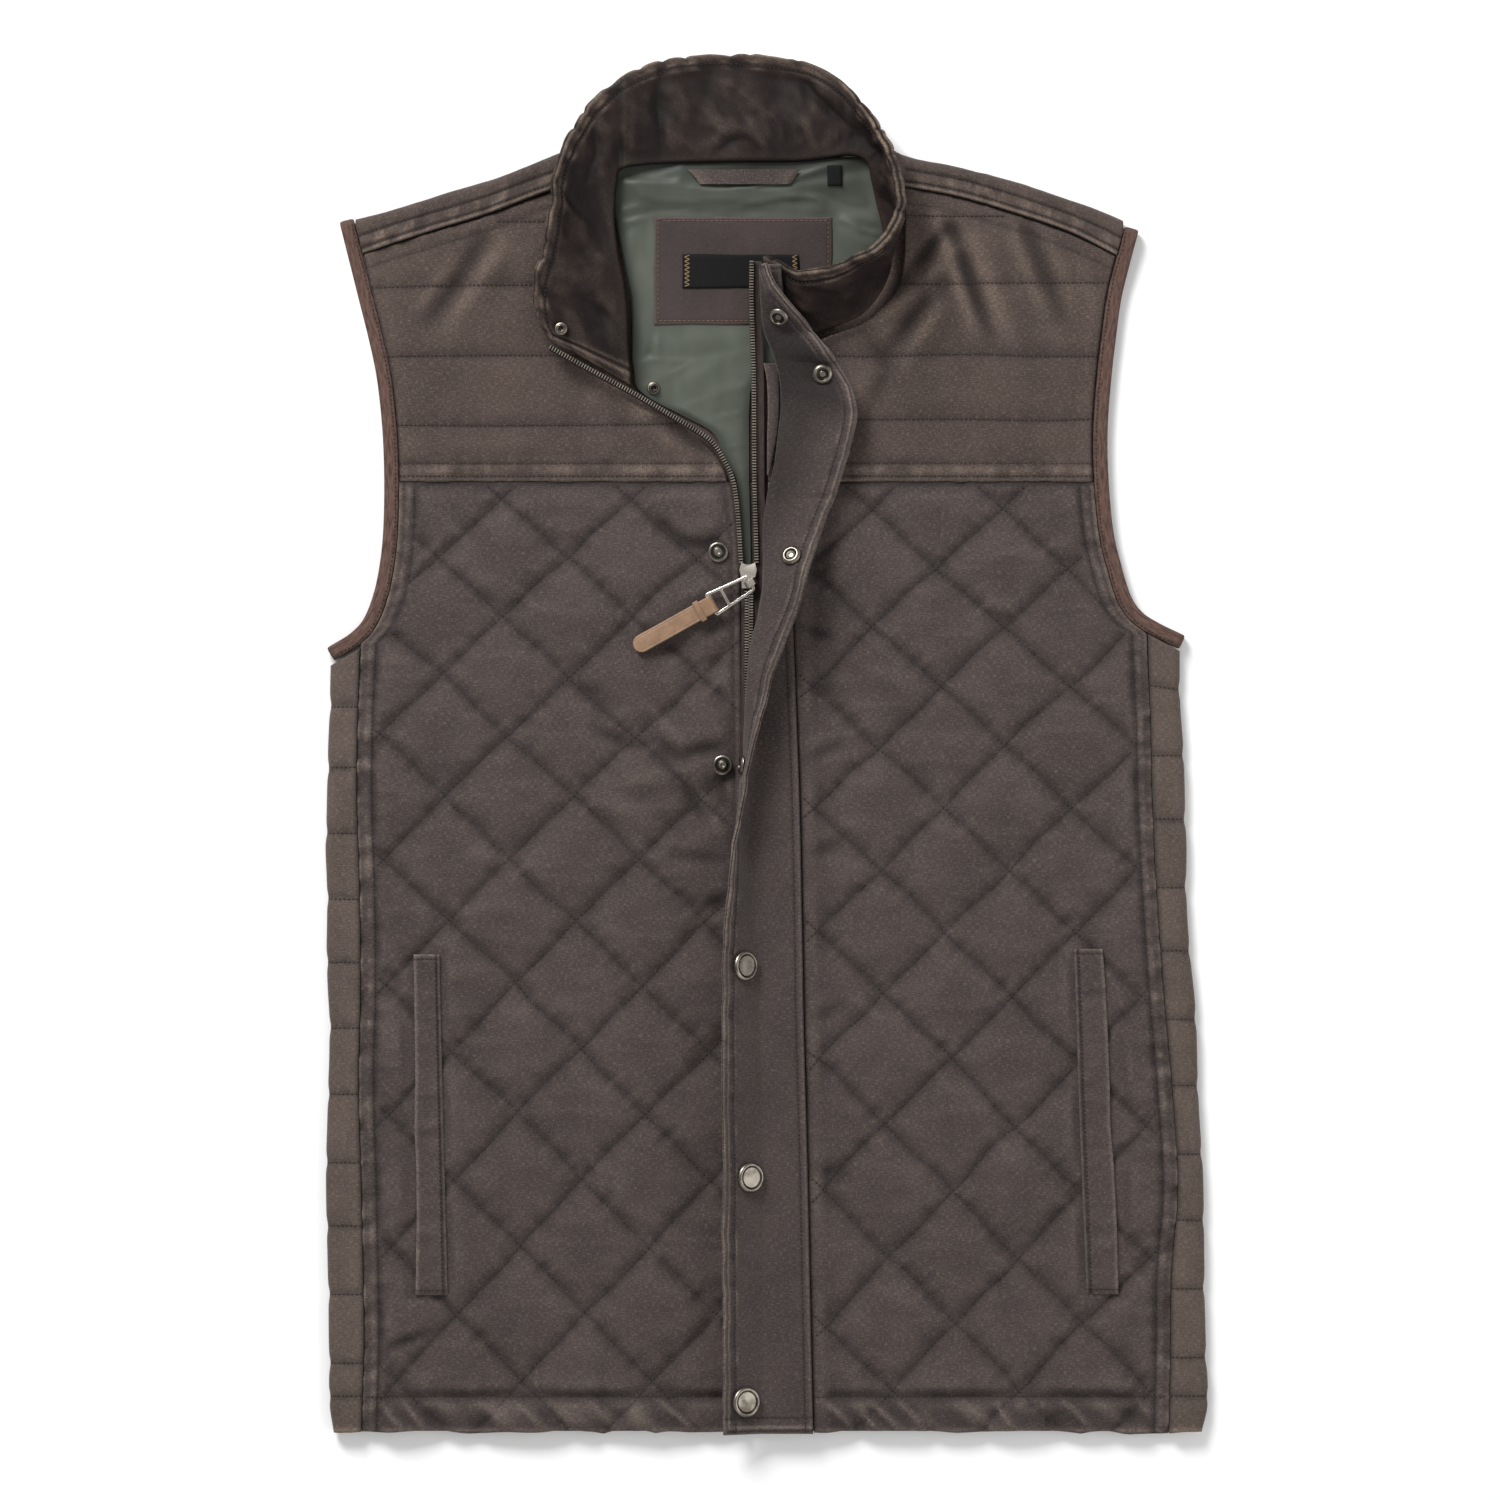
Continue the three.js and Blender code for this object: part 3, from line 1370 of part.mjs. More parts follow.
function fromManifold(manifold) {
  const mesh = manifold.getMesh();
  const geometry = new THREE.BufferGeometry();
  geometry.setAttribute("position", new THREE.Float32BufferAttribute(mesh.vertProperties, 3));
  geometry.setIndex(new THREE.Uint32BufferAttribute(mesh.triVerts, 1));
  geometry.computeVertexNormals();
  return geometry;
}

// Stands a prism up, so that its drawing lies along the pull and its depth across it.
function upright(geometry) {
  return geometry.rotateX(Math.PI / 2);
}

function buildSlider() {
  const half = SLIDER_WIDTH / 2;
  const neck = SLIDER_NECK / 2;
  const end = SLIDER_LENGTH / 2;
  const outline = [[-neck, -end], [neck, -end], [neck + 0.4, -1], [half, 3], [half - 1, end], [1, end - 1], [-1, end - 1]];
  outline.push([-half + 1, end], [-half, 3], [-neck - 0.4, -1]);
  const body = prism(outline, [], SLIDER_BASE, SLIDER_TOP).translate(SLIDER_X, SLIDER_Y, 0);
  const low = SLIDER_TOP - 0.5 - HINGE[2];
  const top = LUG_TOP - HINGE[2];
  const reach = LUG_LENGTH / 2;
  const side = [[-reach, low], [reach, low], [reach, 0.6], [reach - 1.6, top], [1.6 - reach, top], [-reach, 0.6]];
  const lug = upright(prism(side, [circle(0, 0, LUG_HOLE, 12)], -LUG_WIDTH / 2, LUG_WIDTH / 2));
  return fromManifold(toManifold(body).add(toManifold(alongPull(lug))));
}

function frameHalf(way) {
  return mix(FRAME_NARROW, FRAME_WIDE, way / FRAME_LENGTH);
}

function buildFrame() {
  const r = FRAME_BAR / 2;
  const window = (from, to) => {
    const start = frameHalf(from) - FRAME_BAR;
    const finish = frameHalf(to) - FRAME_BAR;
    return [[from, -start], [to, -finish], [to, finish], [from, start]];
  };
  const end = FRAME_LENGTH + r;
  const outline = [
    [-r, 1 - FRAME_NARROW],
    [0.2, -FRAME_NARROW],
    [FRAME_LENGTH - 0.2, -FRAME_WIDE],
    [end, 1 - FRAME_WIDE],
    [end, FRAME_WIDE - 1],
    [FRAME_LENGTH - 0.2, FRAME_WIDE],
    [0.2, FRAME_NARROW],
    [-r, FRAME_NARROW - 1],
  ];
  const windows = [window(r, FRAME_CROSSBAR - r), window(FRAME_CROSSBAR + r, FRAME_LENGTH - r)];
  return alongPull(prism(outline, windows, -r, r));
}

function buildLeather() {
  const half = LEATHER_THICKNESS / 2;
  const side = [];
  for (let k = 0; k <= 8; k += 1) {
    const angle = mix(0.3, 1.7, k / 8) * Math.PI;
    side.push([FRAME_LENGTH + LEATHER_LOOP * Math.cos(angle), LEATHER_LOOP * Math.sin(angle)]);
  }
  side.push([FRAME_LENGTH + 4.4, -half], [LEATHER_LENGTH, -half], [LEATHER_LENGTH, half], [FRAME_LENGTH + 4.4, half]);
  const hole = circle(FRAME_LENGTH, 0, LUG_HOLE, 10);
  const strip = upright(prism(side, [hole], -LEATHER_HALF_WIDTH, LEATHER_HALF_WIDTH));
  const plan = [[FRAME_LENGTH - 4, -6], [40, -6]];
  const tipCentre = LEATHER_LENGTH - LEATHER_HALF_WIDTH;
  for (let k = 0; k <= 8; k += 1) {
    const angle = mix(-0.5, 0.5, k / 8) * Math.PI;
    plan.push([tipCentre + LEATHER_HALF_WIDTH * Math.cos(angle), LEATHER_HALF_WIDTH * Math.sin(angle)]);
  }
  plan.push([40, 6], [FRAME_LENGTH - 4, 6]);
  const cutter = prism(plan, [], -5, 5);
  return alongPull(fromManifold(toManifold(strip).intersect(toManifold(cutter))));
}

function buildKeeper() {
  const innerHalf = LEATHER_HALF_WIDTH + SEAM_GAP;
  const innerHigh = LEATHER_THICKNESS / 2 + SEAM_GAP;
  const rectangle = (wide, high) => [[-wide, -high], [wide, -high], [wide, high], [-wide, high]];
  const outline = rectangle(innerHalf + KEEPER_WALL, innerHigh + KEEPER_WALL);
  const loop = prism(outline, [rectangle(innerHalf, innerHigh)], 0, KEEPER_LENGTH);
  const stand = new THREE.Matrix4().makeBasis(
    new THREE.Vector3(0, 1, 0),
    new THREE.Vector3(0, 0, 1),
    new THREE.Vector3(1, 0, 0),
  );
  return alongPull(loop.applyMatrix4(stand.setPosition(KEEPER_AT, 0, 0)));
}

add("zip_slider", buildSlider(), FINISH.silver);
add("pull_frame", buildFrame(), FINISH.silver);
add("pull_tab", buildLeather(), FINISH.leather);
add("pull_keeper", buildKeeper(), FINISH.leather);

// Snap fasteners: turned discs set on the cloth
// Each profile is a list of radius and height
const CAP_PROFILE = [[0, 0], [8.1, 0], [CAP_RADIUS, 0.7], [7.4, 2.1], [6.3, 2.1], [5.9, 1.5], [0, 1.5]];
const SOCKET_PROFILE = [[0, 0], [SOCKET_RADIUS, 0], [SOCKET_RADIUS, 0.8], [4.4, 1.7], [3.3, 1.7], [2.8, 0.7], [0, 0.7]];
const STUD_PROFILE = [[0, 0], [STUD_RADIUS, 0], [STUD_RADIUS, 0.6], [2.4, 1], [2, 1.6], [2.3, 2.6], [0, 2.9]];
const POST_PROFILE = [[0, 0], [POST_RADIUS, 0], [POST_RADIUS, 0.6], [1.8, 0.9], [1.8, 3.2], [0, 3.4]];
const SNAP_SEGMENTS = 12;
const SNAP_LIFT = 0.9;

function turned(profile, point, out) {
  const outline = profile.map(([radius, height]) => new THREE.Vector2(radius, height));
  const geometry = new THREE.LatheGeometry(outline, SNAP_SEGMENTS);
  const turn = new THREE.Quaternion().setFromUnitVectors(new THREE.Vector3(0, 1, 0), out);
  return geometry.applyQuaternion(turn).translate(point.x, point.y, point.z);
}

// Columns: y, way in from the flap's free edge
const CAPS = [[-121, 14.8], [-237, 16.9], [-360, 13.1]];
const SOCKETS = [[235, 12], [203.5, 12.5], [103, 12.5], [-11, 11.5]];

function onFlap(profile, [y, fromEdge], outward) {
  const { point, out } = flapPlace(y, fromEdge);
  const facing = out.clone().multiplyScalar(outward);
  point.addScaledVector(facing, FLAP_THICKNESS / 2 + SNAP_LIFT);
  return turned(profile, point, facing);
}

CAPS.forEach((place, k) => add(`snap_cap_${k + 1}`, onFlap(CAP_PROFILE, place, 1), FINISH.silver));
SOCKETS.forEach((place, k) => add(`snap_socket_${k + 1}`, onFlap(SOCKET_PROFILE, place, -1), FINISH.silver));

const UP = new THREE.Vector3(0, 0, 1);
// Columns: x, y, z
const STUDS = [[-28.5, 106, 8.5], [-26, -11, 9.8]];
STUDS.forEach(([x, y, z], k) => {
  add(`snap_stud_${k + 1}`, turned(STUD_PROFILE, new THREE.Vector3(x, y, z), UP), FINISH.silver);
});

// Columns: x, y, z
const POSTS = [[-114.5, 228, 22.5], [-64, 196, LINING_TOP + 0.6]];
POSTS.forEach(([x, y, z], k) => {
  add(`stud_post_${k + 1}`, turned(POST_PROFILE, new THREE.Vector3(x, y, z), UP), FINISH.silver);
});

// The origin is the middle of the vest's outline, on the surface it lies on.
const outline = new THREE.Box3().setFromObject(group, true);
const middle = outline.getCenter(new THREE.Vector3());
for (const mesh of group.children) mesh.geometry.translate(-middle.x, -middle.y, -outline.min.z);

export default group;
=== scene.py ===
"""Dresses the frame of a quilted vest that lies flat on its back, lit and seen from straight above."""

import functools
import logging
import math
from dataclasses import dataclass
from enum import Enum
from typing import Callable, Sequence

import bpy
import numpy as np
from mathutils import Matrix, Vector


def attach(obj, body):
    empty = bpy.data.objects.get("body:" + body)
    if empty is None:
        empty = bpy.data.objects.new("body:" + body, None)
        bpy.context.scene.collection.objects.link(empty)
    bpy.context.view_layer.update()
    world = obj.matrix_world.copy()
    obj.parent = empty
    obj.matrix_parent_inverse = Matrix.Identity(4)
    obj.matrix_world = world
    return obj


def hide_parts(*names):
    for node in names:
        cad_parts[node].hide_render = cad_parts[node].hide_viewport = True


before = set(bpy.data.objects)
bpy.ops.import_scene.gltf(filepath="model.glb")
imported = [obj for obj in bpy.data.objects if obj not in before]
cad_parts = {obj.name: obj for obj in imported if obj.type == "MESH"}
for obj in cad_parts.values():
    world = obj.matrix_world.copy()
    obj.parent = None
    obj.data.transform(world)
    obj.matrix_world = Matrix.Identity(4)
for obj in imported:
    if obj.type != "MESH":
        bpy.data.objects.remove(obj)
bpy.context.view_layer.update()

LOG = logging.getLogger("vest")
Array = np.ndarray
Tree = bpy.types.NodeTree
Socket = bpy.types.NodeSocket
Profile = Callable[[Array], Array]
Table = Sequence[Sequence[float]]

# The tables below are in millimetres, as the solids' are, and this moves them to the frame's origin.
SHIFT = np.array([1.7195, -1.1470, 0.0])
MM = 0.001

FRONT_BASE = 3.6
SEAM_GAP = 0.15
FOLD_RADIUS = 4.7
YOKE_SEAM_Y = 144.5
HEM_Y = -377.0
HEM_STITCH_Y = -358.0
QUILT_HALF_WIDTH = 35.5
QUILT_HALF_HEIGHT = 34.65
QUILT_SIDE = 49.6
QUILT_LEAN = 0.024
QUILT_SAG = 9.9
QUILT_SAG_STEPS = 14.0
PANEL_STEP = 1.6
THREAD_LIFT = 0.15

SIDE_FOLDS = [
    (-377, -240, 237.5), (-360, -242, 240.5), (-327, -242.5, 239.5), (-283, -243, 238.5), (-239, -244, 238),
    (-195, -243, 235.5), (-151, -242.5, 234.5), (-118, -243.5, 231), (-85, -243.5, 229), (-47, -244, 228.5),
    (-8, -243, 227.5), (25, -242, 225.5), (60, -241, 225),
]
SIDE_SEAMS = [
    (-377, -224.5, 219), (-329, -223, 220), (-290, -223.5, 220.5), (-243, -224.5, 224), (-184, -226, 220.5),
    (-139, -225, 216.5), (-74, -225.5, 212), (-30, -227, 210), (14, -226.5, 209), (56, -224.5, 207),
]
ARMHOLE_RIGHT = [
    (-236, 285), (-231.5, 267), (-226, 245), (-220.5, 223), (-216, 201), (-213, 173), (-212, 146),
    (-212.5, 118.5), (-214.5, 99), (-218, 82.5), (-223.5, 69), (-231, 61), (-241.5, 54.5),
]
ARMHOLE_LEFT = [
    (202, 280.5), (198, 265.5), (193, 245), (190, 223), (187.5, 201), (185.5, 173), (186, 146),
    (188.5, 118.5), (192.5, 100.5), (198, 82.5), (204.5, 73), (214.5, 66.5), (226, 61),
]
RIGHT_FRONT_EDGE = [
    (-377, -16), (-195, -16.5), (-58, -17), (25, -17.5), (80, -18.5), (102, -19), (124, -20.5), (144, -23.5),
    (152, -26), (162, -33), (170, -42), (178, -52.5), (186, -65), (192, -75), (200, -79), (213.5, -80.5),
    (232.5, -80.5), (252, -83), (269, -87), (286.5, -90), (312, -94),
]
FLAP_SEAM = [
    (-377, 24), (-322, 22.5), (-250, 21), (-140, 18.5), (-75, 17.5), (-16, 16), (25, 14.5), (64, 13),
    (102, 12), (144, 11),
]
LEFT_YOKE_EDGE = [
    (144, -1), (198, -1), (206, 0.5), (212, 9), (218, 19), (223.5, 30), (227, 40), (231, 50.5),
    (239, 60.5), (250, 69.5), (262, 73), (276, 74), (307, 74),
]
RIGHT_SHOULDER_SEAM = [(-240, 264), (-223, 270), (-188, 281), (-153.5, 291.5), (-121.5, 303.5), (-93.5, 312)]
LEFT_SHOULDER_SEAM = [(73.5, 306.5), (102, 301), (137, 290.5), (163.5, 281), (187.5, 270), (205, 262)]
SHOULDER = [
    (-240, 284.5, 1), (-203.5, 294, 1), (-176, 303, 1), (-148.5, 311.5, 1), (-115.5, 324.5, 1), (-97, 331, 1),
    (-91, 334, 0.45), (-86, 336, 0), (-40, 338, 0), (30, 335, 0), (56, 330, 0), (64, 328, 0.4), (73, 324, 1),
    (93.5, 319, 1), (126.5, 311, 1), (154, 302, 1), (181.5, 292, 1), (205, 280.5, 1),
]


def read(table: Table, place: Array | float, column: int = 1) -> Array:
    """Reads one column of a table smoothly at places given in its first column.

    Args:
        table: rows whose first column rises.
        place: where to read.
        column: which column to read.

    Returns:
        The values, held level beyond the table's ends.
    """
    rows = np.asarray(table, float)
    x, y = rows[:, 0], rows[:, column]
    at = np.clip(np.asarray(place, float), x[0], x[-1])
    k = np.clip(np.searchsorted(x, at, side="right") - 1, 0, len(x) - 2)
    before, after = np.maximum(np.arange(len(x)) - 1, 0), np.minimum(np.arange(len(x)) + 1, len(x) - 1)
    slope = (y[after] - y[before]) / (x[after] - x[before])
    span = x[k + 1] - x[k]
    t = (at - x[k]) / span
    return (
        (2 * t**3 - 3 * t**2 + 1) * y[k]
        + (t**3 - 2 * t**2 + t) * span * slope[k]
        + (3 * t**2 - 2 * t**3) * y[k + 1]
        + (t**3 - t**2) * span * slope[k + 1]
    )


def ease(value: Array | float) -> Array:
    """A smooth step from 0 to 1."""
    t = np.clip(value, 0, 1)
    return t * t * (3 - 2 * t)


def bell(away: Array, width: float) -> Array:
    """1 on a line, falling smoothly to 0 away from it."""
    return np.exp(-((away / width) ** 2))


def round_over(away: Array, radius: float) -> Array:
    """The height of a rounded edge, from 0 on the edge to 1 a radius away from it."""
    return np.sqrt(1 - (1 - np.clip(away / radius, 0, 1)) ** 2)


def mix(a: Array | float, b: Array | float, share: Array | float) -> Array:
    """The value a share of the way from a to b."""
    return a + (b - a) * share


def resample(points: Array, count: int) -> Array:
    """Points evenly spread along a smooth curve through the given ones.

    Args:
        points: the curve's points, one a row.
        count: how many points to return.

    Returns:
        The new points.
    """
    p = np.asarray(points, float)
    k = np.arange(len(p))
    fine = np.linspace(0, len(p) - 1, len(p) * 24)
    dense = np.stack([read(np.stack([k, p[:, c]], 1), fine) for c in range(p.shape[1])], 1)
    length = np.concatenate([[0], np.cumsum(np.linalg.norm(np.diff(dense, axis=0), axis=1))])
    at = np.linspace(0, length[-1], count)
    return np.stack([np.interp(at, length, dense[:, c]) for c in range(p.shape[1])], 1)


class Noise:
    """Smooth random values over a plane, the same on each run."""

    SIZE = 256

    def __init__(self, seed: int) -> None:
        """Args: seed: which field of values to make."""
        self.grid = np.random.default_rng(seed).uniform(-1, 1, (self.SIZE, self.SIZE))

    def at(self, x: Array, y: Array) -> Array:
        """Values from -1 to 1, with a cell one unit wide."""
        x, y = np.broadcast_arrays(np.asarray(x, float), np.asarray(y, float))
        i, j = np.floor(x).astype(int), np.floor(y).astype(int)
        s, t = ease(x - i), ease(y - j)
        i0, j0, i1, j1 = i % self.SIZE, j % self.SIZE, (i + 1) % self.SIZE, (j + 1) % self.SIZE
        low = mix(self.grid[j0, i0], self.grid[j0, i1], s)
        return mix(low, mix(self.grid[j1, i0], self.grid[j1, i1], s), t)

    def layered(self, x: Array, y: Array, layers: int = 3) -> Array:
        """Several sizes of the same noise added together."""
        total, size = 0.0, 1.0
        for k in range(layers):
            total = total + self.at(x * 2**k + 17.3 * k, y * 2**k - 9.1 * k) * size
            size *= 0.5
        return total / 1.6

    def ridges(self, x: Array, y: Array) -> Array:
        """Narrow creases: 1 on a crest, falling to 0 away from it."""
        return (1 - np.abs(self.at(x, y))) ** 3


def linear(value: str) -> tuple[float, float, float, float]:
    """A colour in sRGB hex as linear red, green, blue and alpha."""
    parts = [int(value[i : i + 2], 16) / 255 for i in (1, 3, 5)]
    r, g, b = (c / 12.92 if c <= 0.04045 else ((c + 0.055) / 1.055) ** 2.4 for c in parts)
    return (r, g, b, 1.0)


def feed(tree: Tree, node: bpy.types.Node, links: dict) -> None:
    """Sets a node's inputs.

    Args:
        tree: the material's node tree.
        node: the node.
        links: input name or index to a value, or to a socket that feeds it.
    """
    for key, value in links.items():
        if isinstance(value, Socket):
            tree.links.new(value, node.inputs[key])
        else:
            node.inputs[key].default_value = value


def add_node(
    tree: Tree,
    kind: str,
    links: dict,
    out: int | str = 0,
    stops: Sequence[tuple[float, str]] = (),
    **settings: object,
) -> Socket:
    """Adds a node.

    Args:
        tree: the material's node tree.
        kind: the node's type name, without ShaderNode.
        links: input name or index to a value, or to a socket that feeds it.
        out: the output to return.
        stops: place and colour of a colour ramp's two stops.
        settings: properties of the node itself.

    Returns:
        The node's output.
    """
    node = tree.nodes.new("ShaderNode" + kind)
    for key, value in settings.items():
        setattr(node, key, value)
    feed(tree, node, links)
    for k, (place, colour) in enumerate(stops):
        element = node.color_ramp.elements[k]
        element.position, element.color = place, linear(colour)
    return node.outputs[out]


def new_material(name: str) -> tuple[bpy.types.Material, Tree]:
    """A material with the standard shader, and its node tree."""
    material = bpy.data.materials.new(name)
    material.use_nodes = True
    return material, material.node_tree


# What makes a mix node dim one colour by another.
DIM = {"data_type": "RGBA", "blend_type": "MULTIPLY"}


def in_grooves(tree: Tree, colour: Socket, least: float) -> Socket:
    """A colour dimmed, to the least share of itself, by the piece's painted shade: shade painted into hollows, folds,
    gaps and seams, with some darker dye along the seams.
    """
    seam_dye_and_shade = add_node(tree, "Attribute", {}, "Fac", attribute_name="seam_dye_and_shade")
    share = add_node(tree, "MapRange", {0: seam_dye_and_shade, 3: 1.0, 4: least})
    return add_node(tree, "Mix", {0: 1.0, 6: colour, 7: share}, 2, **DIM)


def marks(tree: Tree, width: float, length: float, detail: float, roughness: float = 0.5) -> Socket:
    """Noise drawn out along the cloth's own coordinates.

    Args:
        tree: the material's node tree.
        width: a mark's width in millimetres.
        length: its length in millimetres.
        detail: the noise's layers.
        roughness: how strong the finer layers are.

    Returns:
        The noise.
    """
    cloth = add_node(tree, "Attribute", {}, "Vector", attribute_name="cloth")
    size = (1 / (width * MM), 1 / (length * MM), 1.0)
    place = add_node(tree, "Mapping", {"Vector": cloth, "Scale": size})
    return add_node(tree, "TexNoise", {"Vector": place, "Scale": 1.0, "Detail": detail, "Roughness": roughness})


def finished(material: bpy.types.Material, inputs: dict) -> bpy.types.Material:
    """Feeds a material's shader, and returns the material."""
    feed(material.node_tree, material.node_tree.nodes["Principled BSDF"], inputs)
    return material


@dataclass(frozen=True)
class WashedCotton:
    """Garment-dyed cotton twill, washed: slubs and rubbed seams show the paler thread under the dye; the same paler
    colour gives crests a painted highlight, and painted shade dims hollows and seams.
    """

    name: str
    base: str
    dark: str
    slub: str
    # The paler colour of rubbed cloth, also used as a painted highlight on crests.
    worn_and_lit: str
    slub_share: float = 0.42
    roughness: float = 0.86
    sheen: float = 0.12
    gloss: float = 0.3

    def make(self) -> bpy.types.Material:
        """Builds the material. Its slubs run with the piece and are drawn coarser than real so that they show."""
        material, tree = new_material(self.name)
        slubs = marks(tree, 0.55, 2.6, 3.0, 0.62)
        weft = marks(tree, 2.4, 0.6, 2.0)
        wash = marks(tree, 34.0, 60.0, 3.0, 0.55)
        weave = add_node(tree, "Math", {0: slubs, 1: weft}, operation="ADD")
        cotton = add_node(tree, "ValToRGB", {0: wash}, stops=[(0.3, self.dark), (0.62, self.base)])
        mark = add_node(tree, "MapRange", {0: weave, 1: 1.02, 2: 1.34, 3: 0.0, 4: 1.0})
        mark = add_node(tree, "Math", {0: mark, 1: self.slub_share}, operation="MULTIPLY")
        shade = add_node(tree, "MapRange", {0: weave, 1: 0.62, 2: 0.98, 3: 0.68, 4: 1.0})
        with_slubs = add_node(tree, "Mix", {0: mark, 6: cotton, 7: linear(self.slub)}, 2, data_type="RGBA")
        shaded = add_node(tree, "Mix", {0: 1.0, 6: with_slubs, 7: shade}, 2, **DIM)
        # The paler colour stands for rubbed cloth and, on crests, for a painted highlight; painted shade then dims the
        # result.
        wear_and_highlight = add_node(tree, "Attribute", {}, "Fac", attribute_name="wear_and_highlight")
        patchy = add_node(tree, "MapRange", {0: weave, 1: 0.8, 2: 1.2, 3: 0.35, 4: 1.0})
        rubbed_and_lit = add_node(tree, "Math", {0: wear_and_highlight, 1: patchy}, operation="MULTIPLY", use_clamp=True)
        worn_and_lit = add_node(tree, "Mix", {0: rubbed_and_lit, 6: shaded, 7: linear(self.worn_and_lit)}, 2, data_type="RGBA")
        return finished(material, {
            "Base Color": in_grooves(tree, worn_and_lit, 0.2),
            "Normal": add_node(tree, "Bump", {"Height": weave, "Strength": 0.6, "Distance": 0.25 * MM}),
            "Roughness": self.roughness, "Sheen Weight": self.sheen, "Sheen Roughness": 0.45,
            "Specular IOR Level": self.gloss,
        })


@dataclass(frozen=True)
class SatinLining:
    """Polyester satin, woven from bright filament: soft broad highlights along the folds."""

    name: str
    base: str
    dark: str

    def make(self) -> bpy.types.Material:
        """Builds the material, with long clouds and with threads drawn a few times their real width."""
        material, tree = new_material(self.name)
        tone = marks(tree, 50 / 3, 40, 2.0)
        colour = add_node(tree, "ValToRGB", {0: tone}, stops=[(0.3, self.dark), (0.7, self.base)])
        thread = marks(tree, 5 / 6, 5 / 13, 1.0)
        return finished(material, {
            # Painted shade dims the satin in its hollows, along its sides and towards the collar.
            "Base Color": in_grooves(tree, colour, 0.3),
            "Normal": add_node(tree, "Bump", {"Height": thread, "Strength": 0.12, "Distance": 0.1 * MM}),
            "Roughness": 0.5, "Sheen Weight": 0.1, "Specular IOR Level": 0.3,
        })


@dataclass(frozen=True)
class WovenTape:
    """Cotton tape with lengthwise ribs: flat, dull and a little furry."""

    name: str
    base: str
    dark: str
    rib: float = 1.2

    def make(self) -> bpy.types.Material:
        """Builds the material. The ribs run along the tape, across the cloth's first coordinate."""
        material, tree = new_material(self.name)
        ribs = marks(tree, self.rib, 7, 2.0, 0.6)
        colour = add_node(tree, "ValToRGB", {0: ribs}, stops=[(0.32, self.dark), (0.62, self.base)])
        return finished(material, {
            # Painted shade dims the tape where the piece sets it.
            "Base Color": in_grooves(tree, colour, 0.45),
            "Normal": add_node(tree, "Bump", {"Height": ribs, "Strength": 0.5, "Distance": 0.3 * MM}),
            "Roughness": 0.85, "Specular IOR Level": 0.25,
        })


@dataclass(frozen=True)
class Metal:
    """Plated zinc or brass, tumbled: bright where it is rubbed and dark where the plate has aged."""

    name: str
    bright: str
    dark: str
    roughness: float
    spot: float = 9.0

    def make(self) -> bpy.types.Material:
        """Builds the material, with spots some millimetres wide."""
        material, tree = new_material(self.name)
        place = add_node(tree, "TexCoord", {}, "Object")
        scale = 1 / (self.spot * MM)
        spots = add_node(tree, "TexNoise", {"Vector": place, "Scale": scale, "Detail": 4.0, "Roughness": 0.6})
        colour = add_node(tree, "ValToRGB", {0: spots}, stops=[(0.36, self.dark), (0.56, self.bright)])
        dull, clean = self.roughness + 0.12, self.roughness - 0.06
        return finished(material, {
            # Painted shade dims the metal inside a snap's dip.
            "Base Color": in_grooves(tree, colour, 0.1),
            "Roughness": add_node(tree, "MapRange", {0: spots, 1: 0.3, 2: 0.7, 3: dull, 4: clean}),
            "Metallic": 1.0,
        })


@dataclass(frozen=True)
class TannedLeather:
    """Vegetable-tanned leather, rolled smooth: fine pores and a soft waxed gloss."""

    name: str
    base: str
    dark: str

    def make(self) -> bpy.types.Material:
        """Builds the material, with pores under half a millimetre, drawn at twice that so they show."""
        material, tree = new_material(self.name)
        place = add_node(tree, "TexCoord", {}, "Object")
        cloud = add_node(tree, "TexNoise", {"Vector": place, "Scale": 180.0, "Detail": 4.0, "Roughness": 0.6})
        pores = add_node(tree, "TexVoronoi", {"Vector": place, "Scale": 1100.0})
        return finished(material, {
            "Base Color": add_node(tree, "ValToRGB", {0: cloud}, stops=[(0.3, self.dark), (0.65, self.base)]),
            "Normal": add_node(tree, "Bump", {"Height": pores, "Strength": 0.18, "Distance": 0.2 * MM}),
            "Roughness": 0.5,
        })


@dataclass(frozen=True)
class SpunThread:
    """Core-spun sewing thread: dull, a tone darker or paler than the cloth it holds."""

    name: str
    base: str

    def make(self) -> bpy.types.Material:
        """Builds the material, with a twist drawn along each stitch."""
        material, tree = new_material(self.name)
        place = add_node(tree, "TexCoord", {}, "Object")
        tone = add_node(tree, "TexNoise", {"Vector": place, "Scale": 900.0, "Detail": 2.0})
        value = add_node(tree, "MapRange", {0: tone, 1: 0.3, 2: 0.7, 3: 0.7, 4: 1.15})
        colour = add_node(tree, "Mix", {0: 1.0, 6: linear(self.base), 7: value}, 2, **DIM)
        return finished(material, {"Base Color": colour, "Roughness": 0.75})


